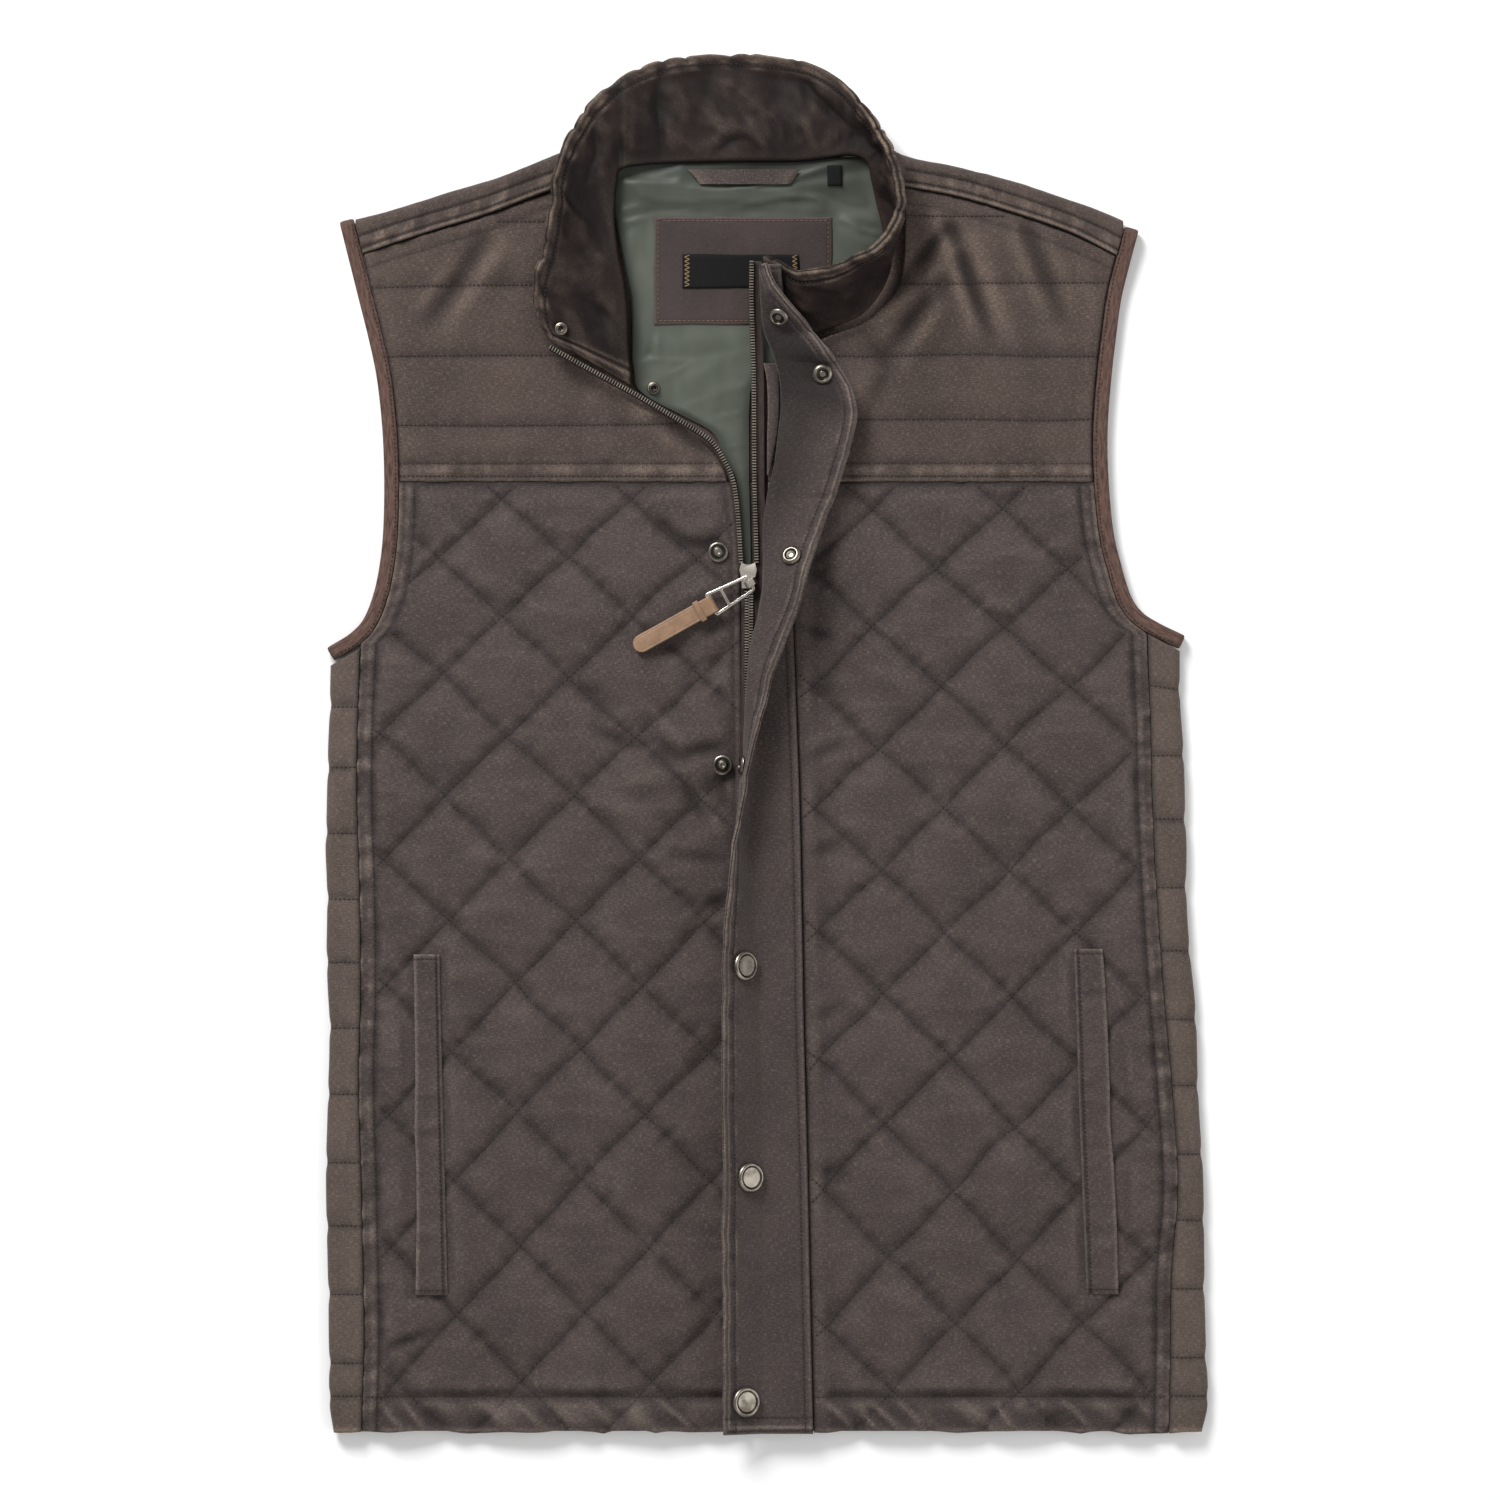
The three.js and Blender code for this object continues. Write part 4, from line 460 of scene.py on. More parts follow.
class Finish(Enum):
    """The vest's finishes."""

    SHELL = WashedCotton("washed_cotton_brown", "#413735", "#372f2d", "#786c65", "#8b7b70")
    YOKE = WashedCotton("washed_cotton_yoke", "#453934", "#382e2a", "#7e7066", "#8b7a6d")
    SIDE = WashedCotton("washed_cotton_side", "#534741", "#453b36", "#867868", "#94826f")
    # The collar's colours are darker than the shell's: its own darker cloth, and in part painted shade for its less lit
    # face.
    COLLAR = WashedCotton("washed_cotton_collar", "#231917", "#170f0e", "#473b36", "#9a8676", 0.2, 0.66, 0.0, 0.18)
    BINDING = WovenTape("cotton_tape_reddish_brown", "#5e4840", "#3f2f29")
    ZIP_TAPE = WovenTape("zip_tape_brown", "#3b312d", "#2c2421", 0.8)
    LINING = SatinLining("polyester_satin_sage", "#51554b", "#43483f")
    PATCH = WashedCotton("washed_cotton_patch", "#3f3434", "#342b2b", "#584a48", "#6f6055", 0.2)
    LABEL = WovenTape("woven_label_black", "#0c0c0d", "#070708", 0.5)
    LABEL_EDGE = SpunThread("label_edge_thread_tan", "#8d7554")
    THREAD_DARK = SpunThread("thread_dark_brown", "#211a17")
    THREAD_TAN = SpunThread("thread_tan", "#6f5a44")
    SILVER = Metal("antique_silver_plate", "#8f887e", "#5f5850", 0.3)
    POLISHED = Metal("polished_nickel", "#d6d0c6", "#b9b2a6", 0.26)
    TEETH = Metal("aged_zip_brass", "#c4bbad", "#938b7f", 0.26)
    LEATHER = TannedLeather("vegetable_tanned_leather", "#8c6e56", "#765b45")

    @functools.cache
    def material(self) -> bpy.types.Material:
        """The finish's material, made once."""
        return self.value.make()


@dataclass
class Cloth:
    """The points of a mesh in millimetres, with what its material reads at each."""

    points: Array
    faces: list
    cloth: Array
    wear_and_highlight: Array
    seam_dye_and_shade: Array

    def build(self, name: str, finish: Finish, body: str = "vest", smooth: bool = True) -> bpy.types.Object:
        """Makes the object and lets it ride on a body.

        Args:
            name: the piece's name.
            finish: its finish.
            body: the body that it rides on.
            smooth: whether its faces are shaded smooth.

        Returns:
            The object.
        """
        mesh = bpy.data.meshes.new(name)
        mesh.from_pydata(((self.points + SHIFT) * MM).tolist(), [], self.faces)
        mesh.validate()
        mesh.polygons.foreach_set("use_smooth", [smooth] * len(mesh.polygons))
        count = len(mesh.vertices)
        coords = np.zeros((count, 3))
        coords[: len(self.cloth), :2] = self.cloth[:count] * MM
        mesh.attributes.new("cloth", "FLOAT_VECTOR", "POINT").data.foreach_set("vector", coords.ravel())
        for key, value in (("wear_and_highlight", self.wear_and_highlight), ("seam_dye_and_shade", self.seam_dye_and_shade)):
            mesh.attributes.new(key, "FLOAT", "POINT").data.foreach_set("value", np.ravel(value)[:count])
        mesh.materials.append(finish.material())
        piece = bpy.data.objects.new(name, mesh)
        bpy.context.scene.collection.objects.link(piece)
        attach(piece, body)
        return piece


def grid_faces(rows: int, columns: int, start: int = 0, flip: bool = False, around: bool = False) -> Array:
    """Four-sided faces over a grid of points.

    Args:
        rows: how many rows of points there are.
        columns: how many points each row has.
        start: the first point's number.
        flip: whether the faces look the other way.
        around: whether each row is a closed loop.

    Returns:
        The faces, one a row.
    """
    j, i = np.meshgrid(np.arange(rows - 1), np.arange(columns - (not around)), indexing="ij")
    k = (i + 1) % columns
    low, high = j * columns + start, (j + 1) * columns + start
    quads = np.stack([low + i, low + k, high + k, high + i], 2).reshape(-1, 4)
    return quads[:, ::-1] if flip else quads


def bare(points: Array, faces: list) -> Cloth:
    """A mesh that nothing has worn or darkened."""
    zero = np.zeros(len(points))
    return Cloth(points, faces, points[:, :2], zero, zero)


def rim(rows: int, columns: int) -> Array:
    """The numbers of a grid's edge points, in order round it."""
    first = np.arange(columns)
    right = np.arange(1, rows) * columns + columns - 1
    last = (rows - 1) * columns + np.arange(columns - 2, -1, -1)
    left = np.arange(rows - 2, 0, -1) * columns
    return np.concatenate([first, right, last, left])


def panel(top: Array, base: float, wear_and_highlight: Array, seam_dye_and_shade: Array, cloth: Array | None = None) -> Cloth:
    """A panel with a shaped top, upright walls and a flat underside.

    Args:
        top: grid of points, rows by columns by 3.
        base: the underside's height.
        wear_and_highlight: how rubbed the cloth is at each point, with any painted highlight.
        seam_dye_and_shade: how much painted shade, with darker seam dye, each point gets.
        cloth: the cloth's own coordinates, if they aren't x and y.

    Returns:
        The mesh.
    """
    rows, columns = top.shape[:2]
    edge = rim(rows, columns)
    flat = top.reshape(-1, 3)
    low = flat[edge].copy()
    low[:, 2] = base
    points = np.concatenate([flat, low])
    count = len(edge)
    lower = rows * columns + np.arange(count)
    following = np.roll(np.arange(count), -1)
    walls = np.stack([edge[following], edge, lower, lower[following]], 1)
    faces = [*grid_faces(rows, columns).tolist(), *walls.tolist(), lower[::-1].tolist()]
    coords = (top[..., :2] if cloth is None else cloth).reshape(-1, 2)
    coords = np.concatenate([coords, coords[edge]])
    spread = [np.concatenate([np.ravel(v), np.ravel(v)[edge]]) for v in (wear_and_highlight, seam_dye_and_shade)]
    return Cloth(points, faces, coords, spread[0], spread[1])


def shell(
    outer: Array, inner: Array, cloth: Array, wear_and_highlight: Array, seam_dye_and_shade: Array, crease: float = 0.0, flip: bool = False
) -> Cloth:
    """A wall of cloth between two grids of points.

    Args:
        outer: the outer face's points.
        inner: the inner face's points.
        cloth: the cloth's own coordinates.
        wear_and_highlight: how rubbed the cloth is, with any painted highlight.
        seam_dye_and_shade: how much painted shade, with darker seam dye, each point gets.
        crease: how deep the seam between two layers lies in the edge.
        flip: whether each row is read backwards, so that the faces look out.

    Returns:
        The mesh.
    """
    if flip:
        outer, inner, cloth, wear_and_highlight, seam_dye_and_shade = (value[:, ::-1] for value in (outer, inner, cloth, wear_and_highlight, seam_dye_and_shade))
    rows, columns = outer.shape[:2]
    size = rows * columns
    edge = rim(rows, columns)
    following = np.roll(np.arange(len(edge)), -1)
    middle = ((outer + inner) / 2).reshape(-1, 3)
    j, i = np.divmod(edge, columns)
    inside = np.clip(j, 1, rows - 2) * columns + np.clip(i, 1, columns - 2)
    way = middle[inside] - middle[edge]
    way /= np.maximum(np.linalg.norm(way, axis=1, keepdims=True), 1e-6)
    seam = middle[edge] + way * crease
    low = 2 * size + np.arange(len(edge))
    upper = np.stack([edge[following], edge, low, low[following]], 1)
    lower = np.stack([low[following], low, edge + size, edge[following] + size], 1)
    faces = np.concatenate([grid_faces(rows, columns), grid_faces(rows, columns, size, True), upper, lower])
    points = np.concatenate([outer.reshape(-1, 3), inner.reshape(-1, 3), seam])
    coords = cloth.reshape(-1, 2)
    worn_and_lit, deep = np.ravel(wear_and_highlight), np.ravel(seam_dye_and_shade)
    # Where two layers meet in a crease, the seam's points get full painted shade.
    flat = crease == 0
    worn_and_lit = np.concatenate([worn_and_lit, worn_and_lit, worn_and_lit[edge] * flat])
    deep = np.concatenate([deep, deep, deep[edge] if flat else np.ones(len(edge))])
    return Cloth(points, faces.tolist(), np.concatenate([coords, coords, coords[edge]]), worn_and_lit, deep)


def normals(grid: Array) -> Array:
    """Unit normals of a grid of points."""
    along = np.gradient(grid, axis=1)
    across = np.gradient(grid, axis=0)
    out = np.cross(along, across)
    return out / np.maximum(np.linalg.norm(out, axis=2, keepdims=True), 1e-9)


def arc_lengths(grid: Array) -> Array:
    """The cloth's own coordinates on a grid: length along each row, then length along the columns."""
    along = np.linalg.norm(np.diff(grid, axis=1), axis=2)
    across = np.linalg.norm(np.diff(grid, axis=0), axis=2)
    u = np.concatenate([np.zeros((grid.shape[0], 1)), np.cumsum(along, axis=1)], 1)
    v = np.concatenate([[0], np.cumsum(across.mean(axis=1))])
    return np.stack([u, np.broadcast_to(v[:, None], u.shape)], 2)


def unit(rows: Array) -> Array:
    """Vectors, one a row, each made one unit long."""
    return rows / np.linalg.norm(rows, axis=-1, keepdims=True)


def line_noise(noise: Noise, run: Array, away: Array, length: float, reach: float) -> Array:
    """Puckers beside a line of stitches.

    Args:
        noise: where the random values come from.
        run: distance along the line.
        away: distance from the line.
        length: the puckers' spacing.
        reach: how far they spread.

    Returns:
        Their height, from about -1 to 1.
    """
    return noise.layered(run / length, away / (reach * 2.5), 2) * bell(away, reach)


def fold_rise(folds: Table, x: Array, y: Array) -> Array:
    """Height that folds add.

    Args:
        folds: x and y of one end, x and y of the other, rise and spread; a rise below 0 is a trough.
        x: places across the vest.
        y: places up the vest.

    Returns:
        The height.
    """
    total = np.zeros(np.broadcast(x, y).shape)
    for x0, y0, x1, y1, height, spread in folds:
        length = (x1 - x0) ** 2 + (y1 - y0) ** 2
        share = np.clip(((x - x0) * (x1 - x0) + (y - y0) * (y1 - y0)) / length, 0, 1)
        away = np.hypot(x - mix(x0, x1, share), y - mix(y0, y1, share))
        total += height * np.sin(math.pi * mix(0.25, 0.95, share)) * bell(away, spread)
    return total


def hollows(relief: Array, spacing: Sequence[float], reach: float) -> Array:
    """How far each point lies below the level around it.

    Args:
        relief: heights on a grid.
        spacing: the distance between rows and between columns.
        reach: how far round a point its surroundings go.

    Returns:
        The depth, below 0 on a crest.
    """
    mean = relief
    for axis in (0, 1):
        half = max(int(round(reach / spacing[axis])), 1)
        for _ in range(2):
            level = np.moveaxis(mean, axis, 0)
            total = np.cumsum(np.pad(level, ((half + 1, half), (0, 0)), mode="edge"), axis=0)
            mean = np.moveaxis((total[2 * half + 1 :] - total[: -2 * half - 1]) / (2 * half + 1), 0, axis)
    return mean - relief


def shade_hollows_light_crests(
    grid: Array, relief: Array, wear_and_highlight: Array, seam_dye_and_shade: Array, depth: float = 0.5, pale: float = 0.3
) -> tuple[Array, Array]:
    """Paints shade into hollows and paints crests paler, the pale crests partly as rubbed cloth and partly as painted
    highlight.

    Args:
        grid: the face's points.
        relief: their heights above the even cloth.
        wear_and_highlight: how rubbed each point is already, with any painted highlight.
        seam_dye_and_shade: how much painted shade, with darker seam dye, each point has already.
        depth: how much painted shade a hollow of a millimetre gets.
        pale: how much paler a crest of a millimetre is, as rubbing and painted highlight.

    Returns:
        The new wear and groove.
    """
    spacing = [float(np.linalg.norm(np.diff(grid, axis=axis), axis=2).mean()) for axis in (0, 1)]
    low = 0.65 * hollows(relief, spacing, 2.6) + 0.6 * hollows(relief, spacing, 8.0)
    crest = np.clip(-low - 0.1, 0, 1.2) * pale
    return np.clip(wear_and_highlight + crest, 0, 1), np.clip(seam_dye_and_shade + np.clip(low - 0.05, 0, 1.3) * depth, 0, 1)


def least(*values: Array | float) -> Array:
    """The least value at each point."""
    return functools.reduce(np.minimum, values)


def most(*values: Array | float) -> Array:
    """The greatest value at each point."""
    return functools.reduce(np.maximum, values)


RUMPLE = Noise(3)
PUCKER = Noise(11)
CREASE = Noise(23)


def armhole_edge(table: Table, inward: int, count: int = 140) -> tuple[Array, Array, Array]:
    """An armhole's outer points, their run and the direction into the cloth."""
    points = resample(np.asarray(table, float), count)
    run = unit(np.gradient(points, axis=0))
    into = np.stack([-run[:, 1] * inward, run[:, 0] * inward], 1)
    return points, run, into


BINDING_WIDTH = 8.0


def inner_edge(table: Table, inward: int, sign: int) -> Array:
    """Table of y and x of a binding's inner edge, y rising."""
    points, _, into = armhole_edge(table, inward)
    inner = points + into * BINDING_WIDTH
    rows = np.stack([inner[:, 1], inner[:, 0] + sign * SEAM_GAP], 1)
    return rows[np.argsort(rows[:, 0])]


INNER_RIGHT = inner_edge(ARMHOLE_RIGHT, 1, 1)
INNER_LEFT = inner_edge(ARMHOLE_LEFT, -1, -1)


def outer_right(y: Array) -> Array:
    """The right front's outer limit: side seam low down, binding above it."""
    seam = read(SIDE_SEAMS, y, 1)
    edge = np.interp(y, INNER_RIGHT[:, 0], INNER_RIGHT[:, 1])
    return np.where(y < 40, seam, np.where(y > 150, edge, np.maximum(seam, edge)))


def outer_left(y: Array) -> Array:
    """The left front's outer limit: side seam low down, binding above it."""
    seam = read(SIDE_SEAMS, y, 2)
    edge = np.interp(y, INNER_LEFT[:, 0], INNER_LEFT[:, 1])
    return np.where(y < 40, seam, np.where(y > 150, edge, np.minimum(seam, edge)))


def quilt_y(origin: float, v: Array) -> Array:
    """Height on the vest of the quilting's own height coordinate."""
    return origin + v * QUILT_HALF_HEIGHT - QUILT_SAG * np.sin(math.pi * v / QUILT_SAG_STEPS)


def quilt_v(origin: float, y: Array) -> Array:
    """The quilting's own height coordinate at a height on the vest."""
    v = (y - origin) / QUILT_HALF_HEIGHT
    for _ in range(12):
        v = v + (y - quilt_y(origin, v)) / QUILT_HALF_HEIGHT
    return v


def catmull(table: Table, columns: Sequence[int], count: int) -> Array:
    """Points evenly numbered along a smooth curve through columns of a table.

    Args:
        table: the curve's rows.
        columns: which columns hold the coordinates.
        count: how many points to return.

    Returns:
        The points.
    """
    rows = np.asarray(table, float)
    k = np.arange(len(rows))
    at = np.linspace(0, len(rows) - 1, count)
    return np.stack([read(np.stack([k, rows[:, c]], 1), at) for c in columns], 1)


class Sewing:
    """Stitches of one thread, gathered from many seams into one piece."""

    RINGS = np.array([(0.0, 0.35, -0.3), (0.22, 1.0, 0.1), (0.78, 1.0, 0.1), (1.0, 0.35, -0.3)])
    SIDES = 4

    def __init__(self, finish: Finish, pitch: float = 2.9, length: float = 2.3, radius: float = 0.3) -> None:
        """Starts with nothing sewn.

        Args:
            finish: the thread.
            pitch: the stitches' spacing.
            length: what shows of a stitch.
            radius: half the thread's width.
        """
        self.finish, self.pitch, self.length, self.radius = finish, pitch, length, radius
        self.points: list[Array] = []

    def seam(self, line: Array, keep: Array | None = None) -> None:
        """Sews along a line of points on the cloth.

        Args:
            line: the seam's points.
            keep: which of them are sewn, all if none is given.
        """
        steps = np.linalg.norm(np.diff(line, axis=0), axis=1)
        length = np.concatenate([[0], np.cumsum(steps)])
        starts = np.arange(0.4, length[-1] - self.length, self.pitch)
        if len(starts) == 0:
            return
        if keep is not None:
            middle = np.interp(starts + self.length / 2, length, keep.astype(float))
            starts = starts[middle > 0.98]
        place = lambda s: np.stack([np.interp(s, length, line[:, c]) for c in range(3)], 1)
        a, b = place(starts), place(starts + self.length)
        run = b - a
        side = np.cross(run, [0.0, 0.0, 1.0])
        side /= np.maximum(np.linalg.norm(side, axis=1, keepdims=True), 1e-6)
        up = np.cross(side, run)
        up /= np.maximum(np.linalg.norm(up, axis=1, keepdims=True), 1e-6)
        block = []
        for t, size, lift in self.RINGS:
            for k in range(self.SIDES):
                angle = 2 * math.pi * k / self.SIDES
                off = side * math.cos(angle) * self.radius * size
                off = off + up * (math.sin(angle) * self.radius * size * 0.8 + lift * self.radius * 2.2)
                block.append(a + run * t + off)
        self.points.append(np.stack(block, 1))

    def build(self, name: str, slot: str = "shell") -> None:
        """Makes one piece of all the stitches."""
        stitches = np.concatenate(self.points)
        first = np.arange(len(stitches))[:, None, None] * stitches.shape[1]
        faces = (grid_faces(len(self.RINGS), self.SIDES, around=True) + first).reshape(-1, 4)
        piece = bare(stitches.reshape(-1, 3), faces.tolist()).build(name, self.finish)


def hem_wave(x: Array) -> Array:
    """How far the puckered hem stands out of its line."""
    return 1.3 * CREASE.layered(x / 17 + 0.4, 0 * x + 2.5, 2) - 1.5 * CREASE.ridges(x / 26, 0 * x + 6.5) + 0.5


@dataclass
class Front:
    """A quilted front: diamonds sewn through thin wadding, a flat-felled side seam and a turned hem."""

    name: str
    origin_x: float
    origin_y: float
    low: Profile
    high: Profile
    pocket: Table
    felled_at_low: bool
    seed: int
    folds: Table
    rise: float = 4.2
    stitched: float = 2.4
    edge_row: float = 2.2
    felled_width: float = 8.0
    edge_height: float = 3.3

    def warp(self, x: Array, y: Array) -> tuple[Array, Array]:
        """How far hand-guided stitch lines wander from their rule."""
        s, far = self.seed, 1.3
        across = far * RUMPLE.at(x / 47 + s, y / 39) + far * PUCKER.at(x / 21, y / 17 + s)
        return across, far * RUMPLE.at(x / 43, y / 51 + s) + far * PUCKER.at(x / 18 + s, y / 22)

    def quilt(self, x: Array, y: Array) -> tuple[Array, Array]:
        """Places across and along the two families of stitch lines, whole numbers on a line."""
        across, up = self.warp(x, y)
        v = quilt_v(self.origin_y, y + up)
        u = (x + across - self.origin_x - QUILT_LEAN * (self.origin_y - y)) / QUILT_HALF_WIDTH
        return (u + v) / 2, (u - v) / 2

    def felled(self, x: Array, y: Array) -> Array:
        """Distance from the side seam."""
        return x - self.low(y) if self.felled_at_low else self.high(y) - x

    def open_side(self, x: Array, y: Array) -> Array:
        """Distance from the other edge."""
        return self.high(y) - x if self.felled_at_low else x - self.low(y)

    def pocket_share(self, x: Array, y: Array, margin: float, width: float) -> Array:
        """1 in the pocket's bed, 0 well outside it."""
        rows = np.asarray(self.pocket, float)
        level = np.clip(y, rows[0, 0], rows[-1, 0])
        dy = most(rows[0, 0] - y, y - rows[-1, 0], 0)
        dx = most(read(self.pocket, level, 1) - x, x - read(self.pocket, level, 2), 0)
        return 1 - ease((np.hypot(dx, dy) - margin) / width)

    def hem_folds(self, x: Array, y: Array) -> Array:
        """The slanting folds that the hem's seam draws up, 1 on a crest."""
        return CREASE.ridges((x + 0.8 * (y - HEM_Y)) / 13 + self.seed, (y - HEM_Y) / 40 + self.seed)

    def height(self, x: Array, y: Array) -> Array:
        """The top's height above the base."""
        p, q = self.quilt(x, y)
        dp = np.abs(p - np.round(p)) * QUILT_SIDE
        dq = np.abs(q - np.round(q)) * QUILT_SIDE
        puff = np.sqrt(np.abs(np.sin(math.pi * p)) * np.abs(np.sin(math.pi * q)))
        sharp = (1 - np.exp(-dp / 4.0)) * (1 - np.exp(-dq / 4.0))
        quilted = self.stitched + self.rise * (0.5 * puff + 0.5 * sharp)
        s = self.seed
        puckers = line_noise(PUCKER, q * QUILT_SIDE + 31 * s, dp, 5.0, 8.0)
        puckers = puckers + line_noise(PUCKER, p * QUILT_SIDE + 57 * s, dq, 5.0, 8.0)
        soft = RUMPLE.layered(x / 26 + s, y / 15 + 2 * s, 3) * 1.1
        drag = (CREASE.ridges(x / 55 + 3 * s, y / 14 + s) - 0.3) * 0.5
        quilted = quilted + 1.2 * puckers + (soft + drag) * (0.35 + 0.65 * puff)
        quilted = quilted + fold_rise(self.folds, x, y)
        hem_away = np.abs(y - HEM_STITCH_Y)
        hem = 1 - 0.8 * bell(hem_away, 3.2)
        up = y - HEM_Y
        slanted = self.hem_folds(x, y) * bell(up - 8, 9)
        hem_puckers = 1.3 * line_noise(CREASE, x + 40 * s, hem_away, 6.5, 12.0) + 5.2 * (slanted - 0.3)
        flat = self.stitched * 0.6
        quilted = flat + (quilted - flat) * hem + 0.9 * hem_puckers * ease(up / 3)
        side = self.felled(x, y)
        band = ease((side - self.felled_width) / 7.0)
        rows = bell(side - self.edge_row, 0.8) + bell(side - self.felled_width, 0.9)
        ruffle = PUCKER.layered(y / 6 + 7 * s, side / 16, 2)
        felled = 3.9 + 1.9 * ruffle - 0.9 * rows
        height = mix(felled, quilted + 0.7 * ruffle * bell(side, 18), band)
        top = YOKE_SEAM_Y - y
        tapered = 3.0 + 0.8 * line_noise(CREASE, x + 9 * s, top, 6.0, 12.0)
        height = mix(tapered, height, ease(top / 9.0))
        other = self.open_side(x, y)
        pulled = PUCKER.layered(y / 9 + s, other / 18, 2)
        edge = self.edge_height + 0.5 * pulled - 0.9 * self.felled_at_low * bell(other - 4.6, 0.8)
        height = mix(edge, height + 0.9 * pulled * bell(other, 16), ease((other - 4.5) / 8.0))
        height = mix(height, np.minimum(height, 3.4), self.pocket_share(x, y, 0.5, 4.0))
        free = least(side + 0.9, other * 3 if self.felled_at_low else 99.0, y - (HEM_Y - 1.5))
        seam = round_over(free, 1.5)
        return np.clip(height, 0.8, 8.5) * (0.45 + 0.55 * seam)

    def grid(self) -> tuple[Array, Array]:
        """The top's x and y."""
        top = YOKE_SEAM_Y - SEAM_GAP
        rows = int((top - HEM_Y) / PANEL_STEP)
        y = np.linspace(HEM_Y, top, rows)
        width = float(np.max(self.high(y) - self.low(y)))
        share = np.linspace(0, 1, int(width / PANEL_STEP))
        yy = np.broadcast_to(y[:, None], (rows, len(share))).copy()
        xx = mix(self.low(yy), self.high(yy), share[None, :])
        near = ease(1 - (yy - HEM_Y) / 15)
        yy = yy + near * hem_wave(xx)
        return xx, yy

    def build(self, quilting: Sewing, topstitch: Sewing) -> None:
        """Makes the front, in the place of its solid, and sews it.

        Args:
            quilting: the thread of the diamonds.
            topstitch: the thread of the seams and hem.
        """
        x, y = self.grid()
        z = FRONT_BASE + self.height(x, y)
        p, q = self.quilt(x, y)
        d = np.minimum(np.abs(p - np.round(p)), np.abs(q - np.round(q))) * QUILT_SIDE
        side = self.felled(x, y)
        on_quilt = ease((side - self.felled_width) / 3.0) * ease((y - HEM_STITCH_Y) / 3.0 + 1)
        patchy = 0.75 + 0.4 * PUCKER.layered(x / 8, y / 8, 2)
        other = self.open_side(x, y)
        # Painted shade in the quilting grooves, with some darker dye along the stitches.
        seam_dye_and_shade = (bell(d, 0.8) * 0.26 + bell(d, 3.4) * 0.1 * patchy) * on_quilt
        # Painted shade along the hem stitching and the felled seam's rows and edge, a painted shadow under the yoke's
        # overlapping edge, and painted shade in fold troughs.
        seam_dye_and_shade = most(
            seam_dye_and_shade,
            bell(y - HEM_STITCH_Y, 1.0) * 0.3,
            bell(side - self.edge_row, 0.8) * 0.35,
            bell(side - self.felled_width - 0.6, 1.6) * 0.6,
            bell(other - 5.0, 1.1) * 0.3 * self.felled_at_low,
            bell(YOKE_SEAM_Y - y, 2.0) * 0.9,
            np.clip(-fold_rise(self.folds, x, y) / 4.5, 0, 0.5),
        )
        blobs = np.clip(0.25 + 1.7 * PUCKER.layered(y / 4.6 + 7 * self.seed, side / 12, 2), 0, 1)
        edge_wear = bell(y - HEM_Y, 1.2) * 0.5
        seam_wear = bell(side - 5.2, 2.0) * 0.36 * blobs + bell(side - 0.5, 0.8) * 0.8
        # The hem's fold troughs get painted shade and their crests a painted highlight, added to the real wear.
        folds = self.hem_folds(x, y)
        at_hem = bell(y - HEM_Y - 9, 8) * ease((side - 4) / 6)
        seam_dye_and_shade = np.maximum(seam_dye_and_shade, np.clip(0.45 - folds, 0, 0.4) * at_hem)
        folded = np.clip(folds - 0.55, 0, 0.45) * 0.45 * at_hem
        wear_and_highlight = np.clip(np.maximum(edge_wear, seam_wear) + folded, 0, 1)
        top = np.stack([x, y, z], 2)
        wear_and_highlight, seam_dye_and_shade = shade_hollows_light_crests(top, z, wear_and_highlight, seam_dye_and_shade, 0.24, 0.13)
        piece = panel(top, FRONT_BASE, wear_and_highlight, seam_dye_and_shade).build(self.name + "_cloth", Finish.SHELL)
        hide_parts(self.name)
        self.sew(quilting, topstitch)

    def on_top(self, x: Array, y: Array) -> Array:
        """Points of a thread that lies on the top."""
        return np.stack([x, y, FRONT_BASE + self.height(x, y) + THREAD_LIFT], 1)

    def sew(self, quilting: Sewing, topstitch: Sewing) -> None:
        """Sews the diamonds, the felled side seam and the hem."""
        for family in (0, 1):
            for line in range(-20, 21):
                along = np.linspace(-20, 20, 2400)
                p, q = (line + 0 * along, along) if family == 0 else (along, line + 0 * along)
                u, v = p + q, p - q
                y = quilt_y(self.origin_y, v)
                x = self.origin_x + QUILT_LEAN * (self.origin_y - y) + u * QUILT_HALF_WIDTH
                across, up = self.warp(x, y)
                x, y = x - across, y - up
                inside = (y > HEM_Y + 4) & (y < YOKE_SEAM_Y - 2)
                inside &= (x > self.low(y) + 1.5) & (x < self.high(y) - 1.5)
                inside &= self.felled(x, y) > self.felled_width + 1
                inside &= self.pocket_share(x, y, 0.5, 4.0) < 0.4
                if inside.sum() < 8:
                    continue
                first, last = np.flatnonzero(inside)[[0, -1]]
                shown = slice(first, last + 1)
                quilting.seam(self.on_top(x[shown], y[shown]), inside[shown])
        y = np.linspace(HEM_Y + 3, YOKE_SEAM_Y - 2, 900)
        for back in (self.edge_row, self.felled_width):
            x = self.low(y) + back if self.felled_at_low else self.high(y) - back
            topstitch.seam(self.on_top(x, y))
        ends = [float(side(np.array(HEM_STITCH_Y))) for side in (self.low, self.high)]
        x = np.linspace(ends[0] + 2, ends[1] - 1, 500)
        topstitch.seam(self.on_top(x, np.full_like(x, HEM_STITCH_Y)))


POCKET_RIGHT = [(-303, -197.5, -176), (-243, -199, -177.5), (-183, -200, -179), (-114, -200.5, -180.5)]
POCKET_LEFT = [
    (-302.5, 172.5, 194.5), (-242, 170, 195.5), (-190, 168.5, 194), (-154, 167.5, 190.5), (-111, 166, 185),
]

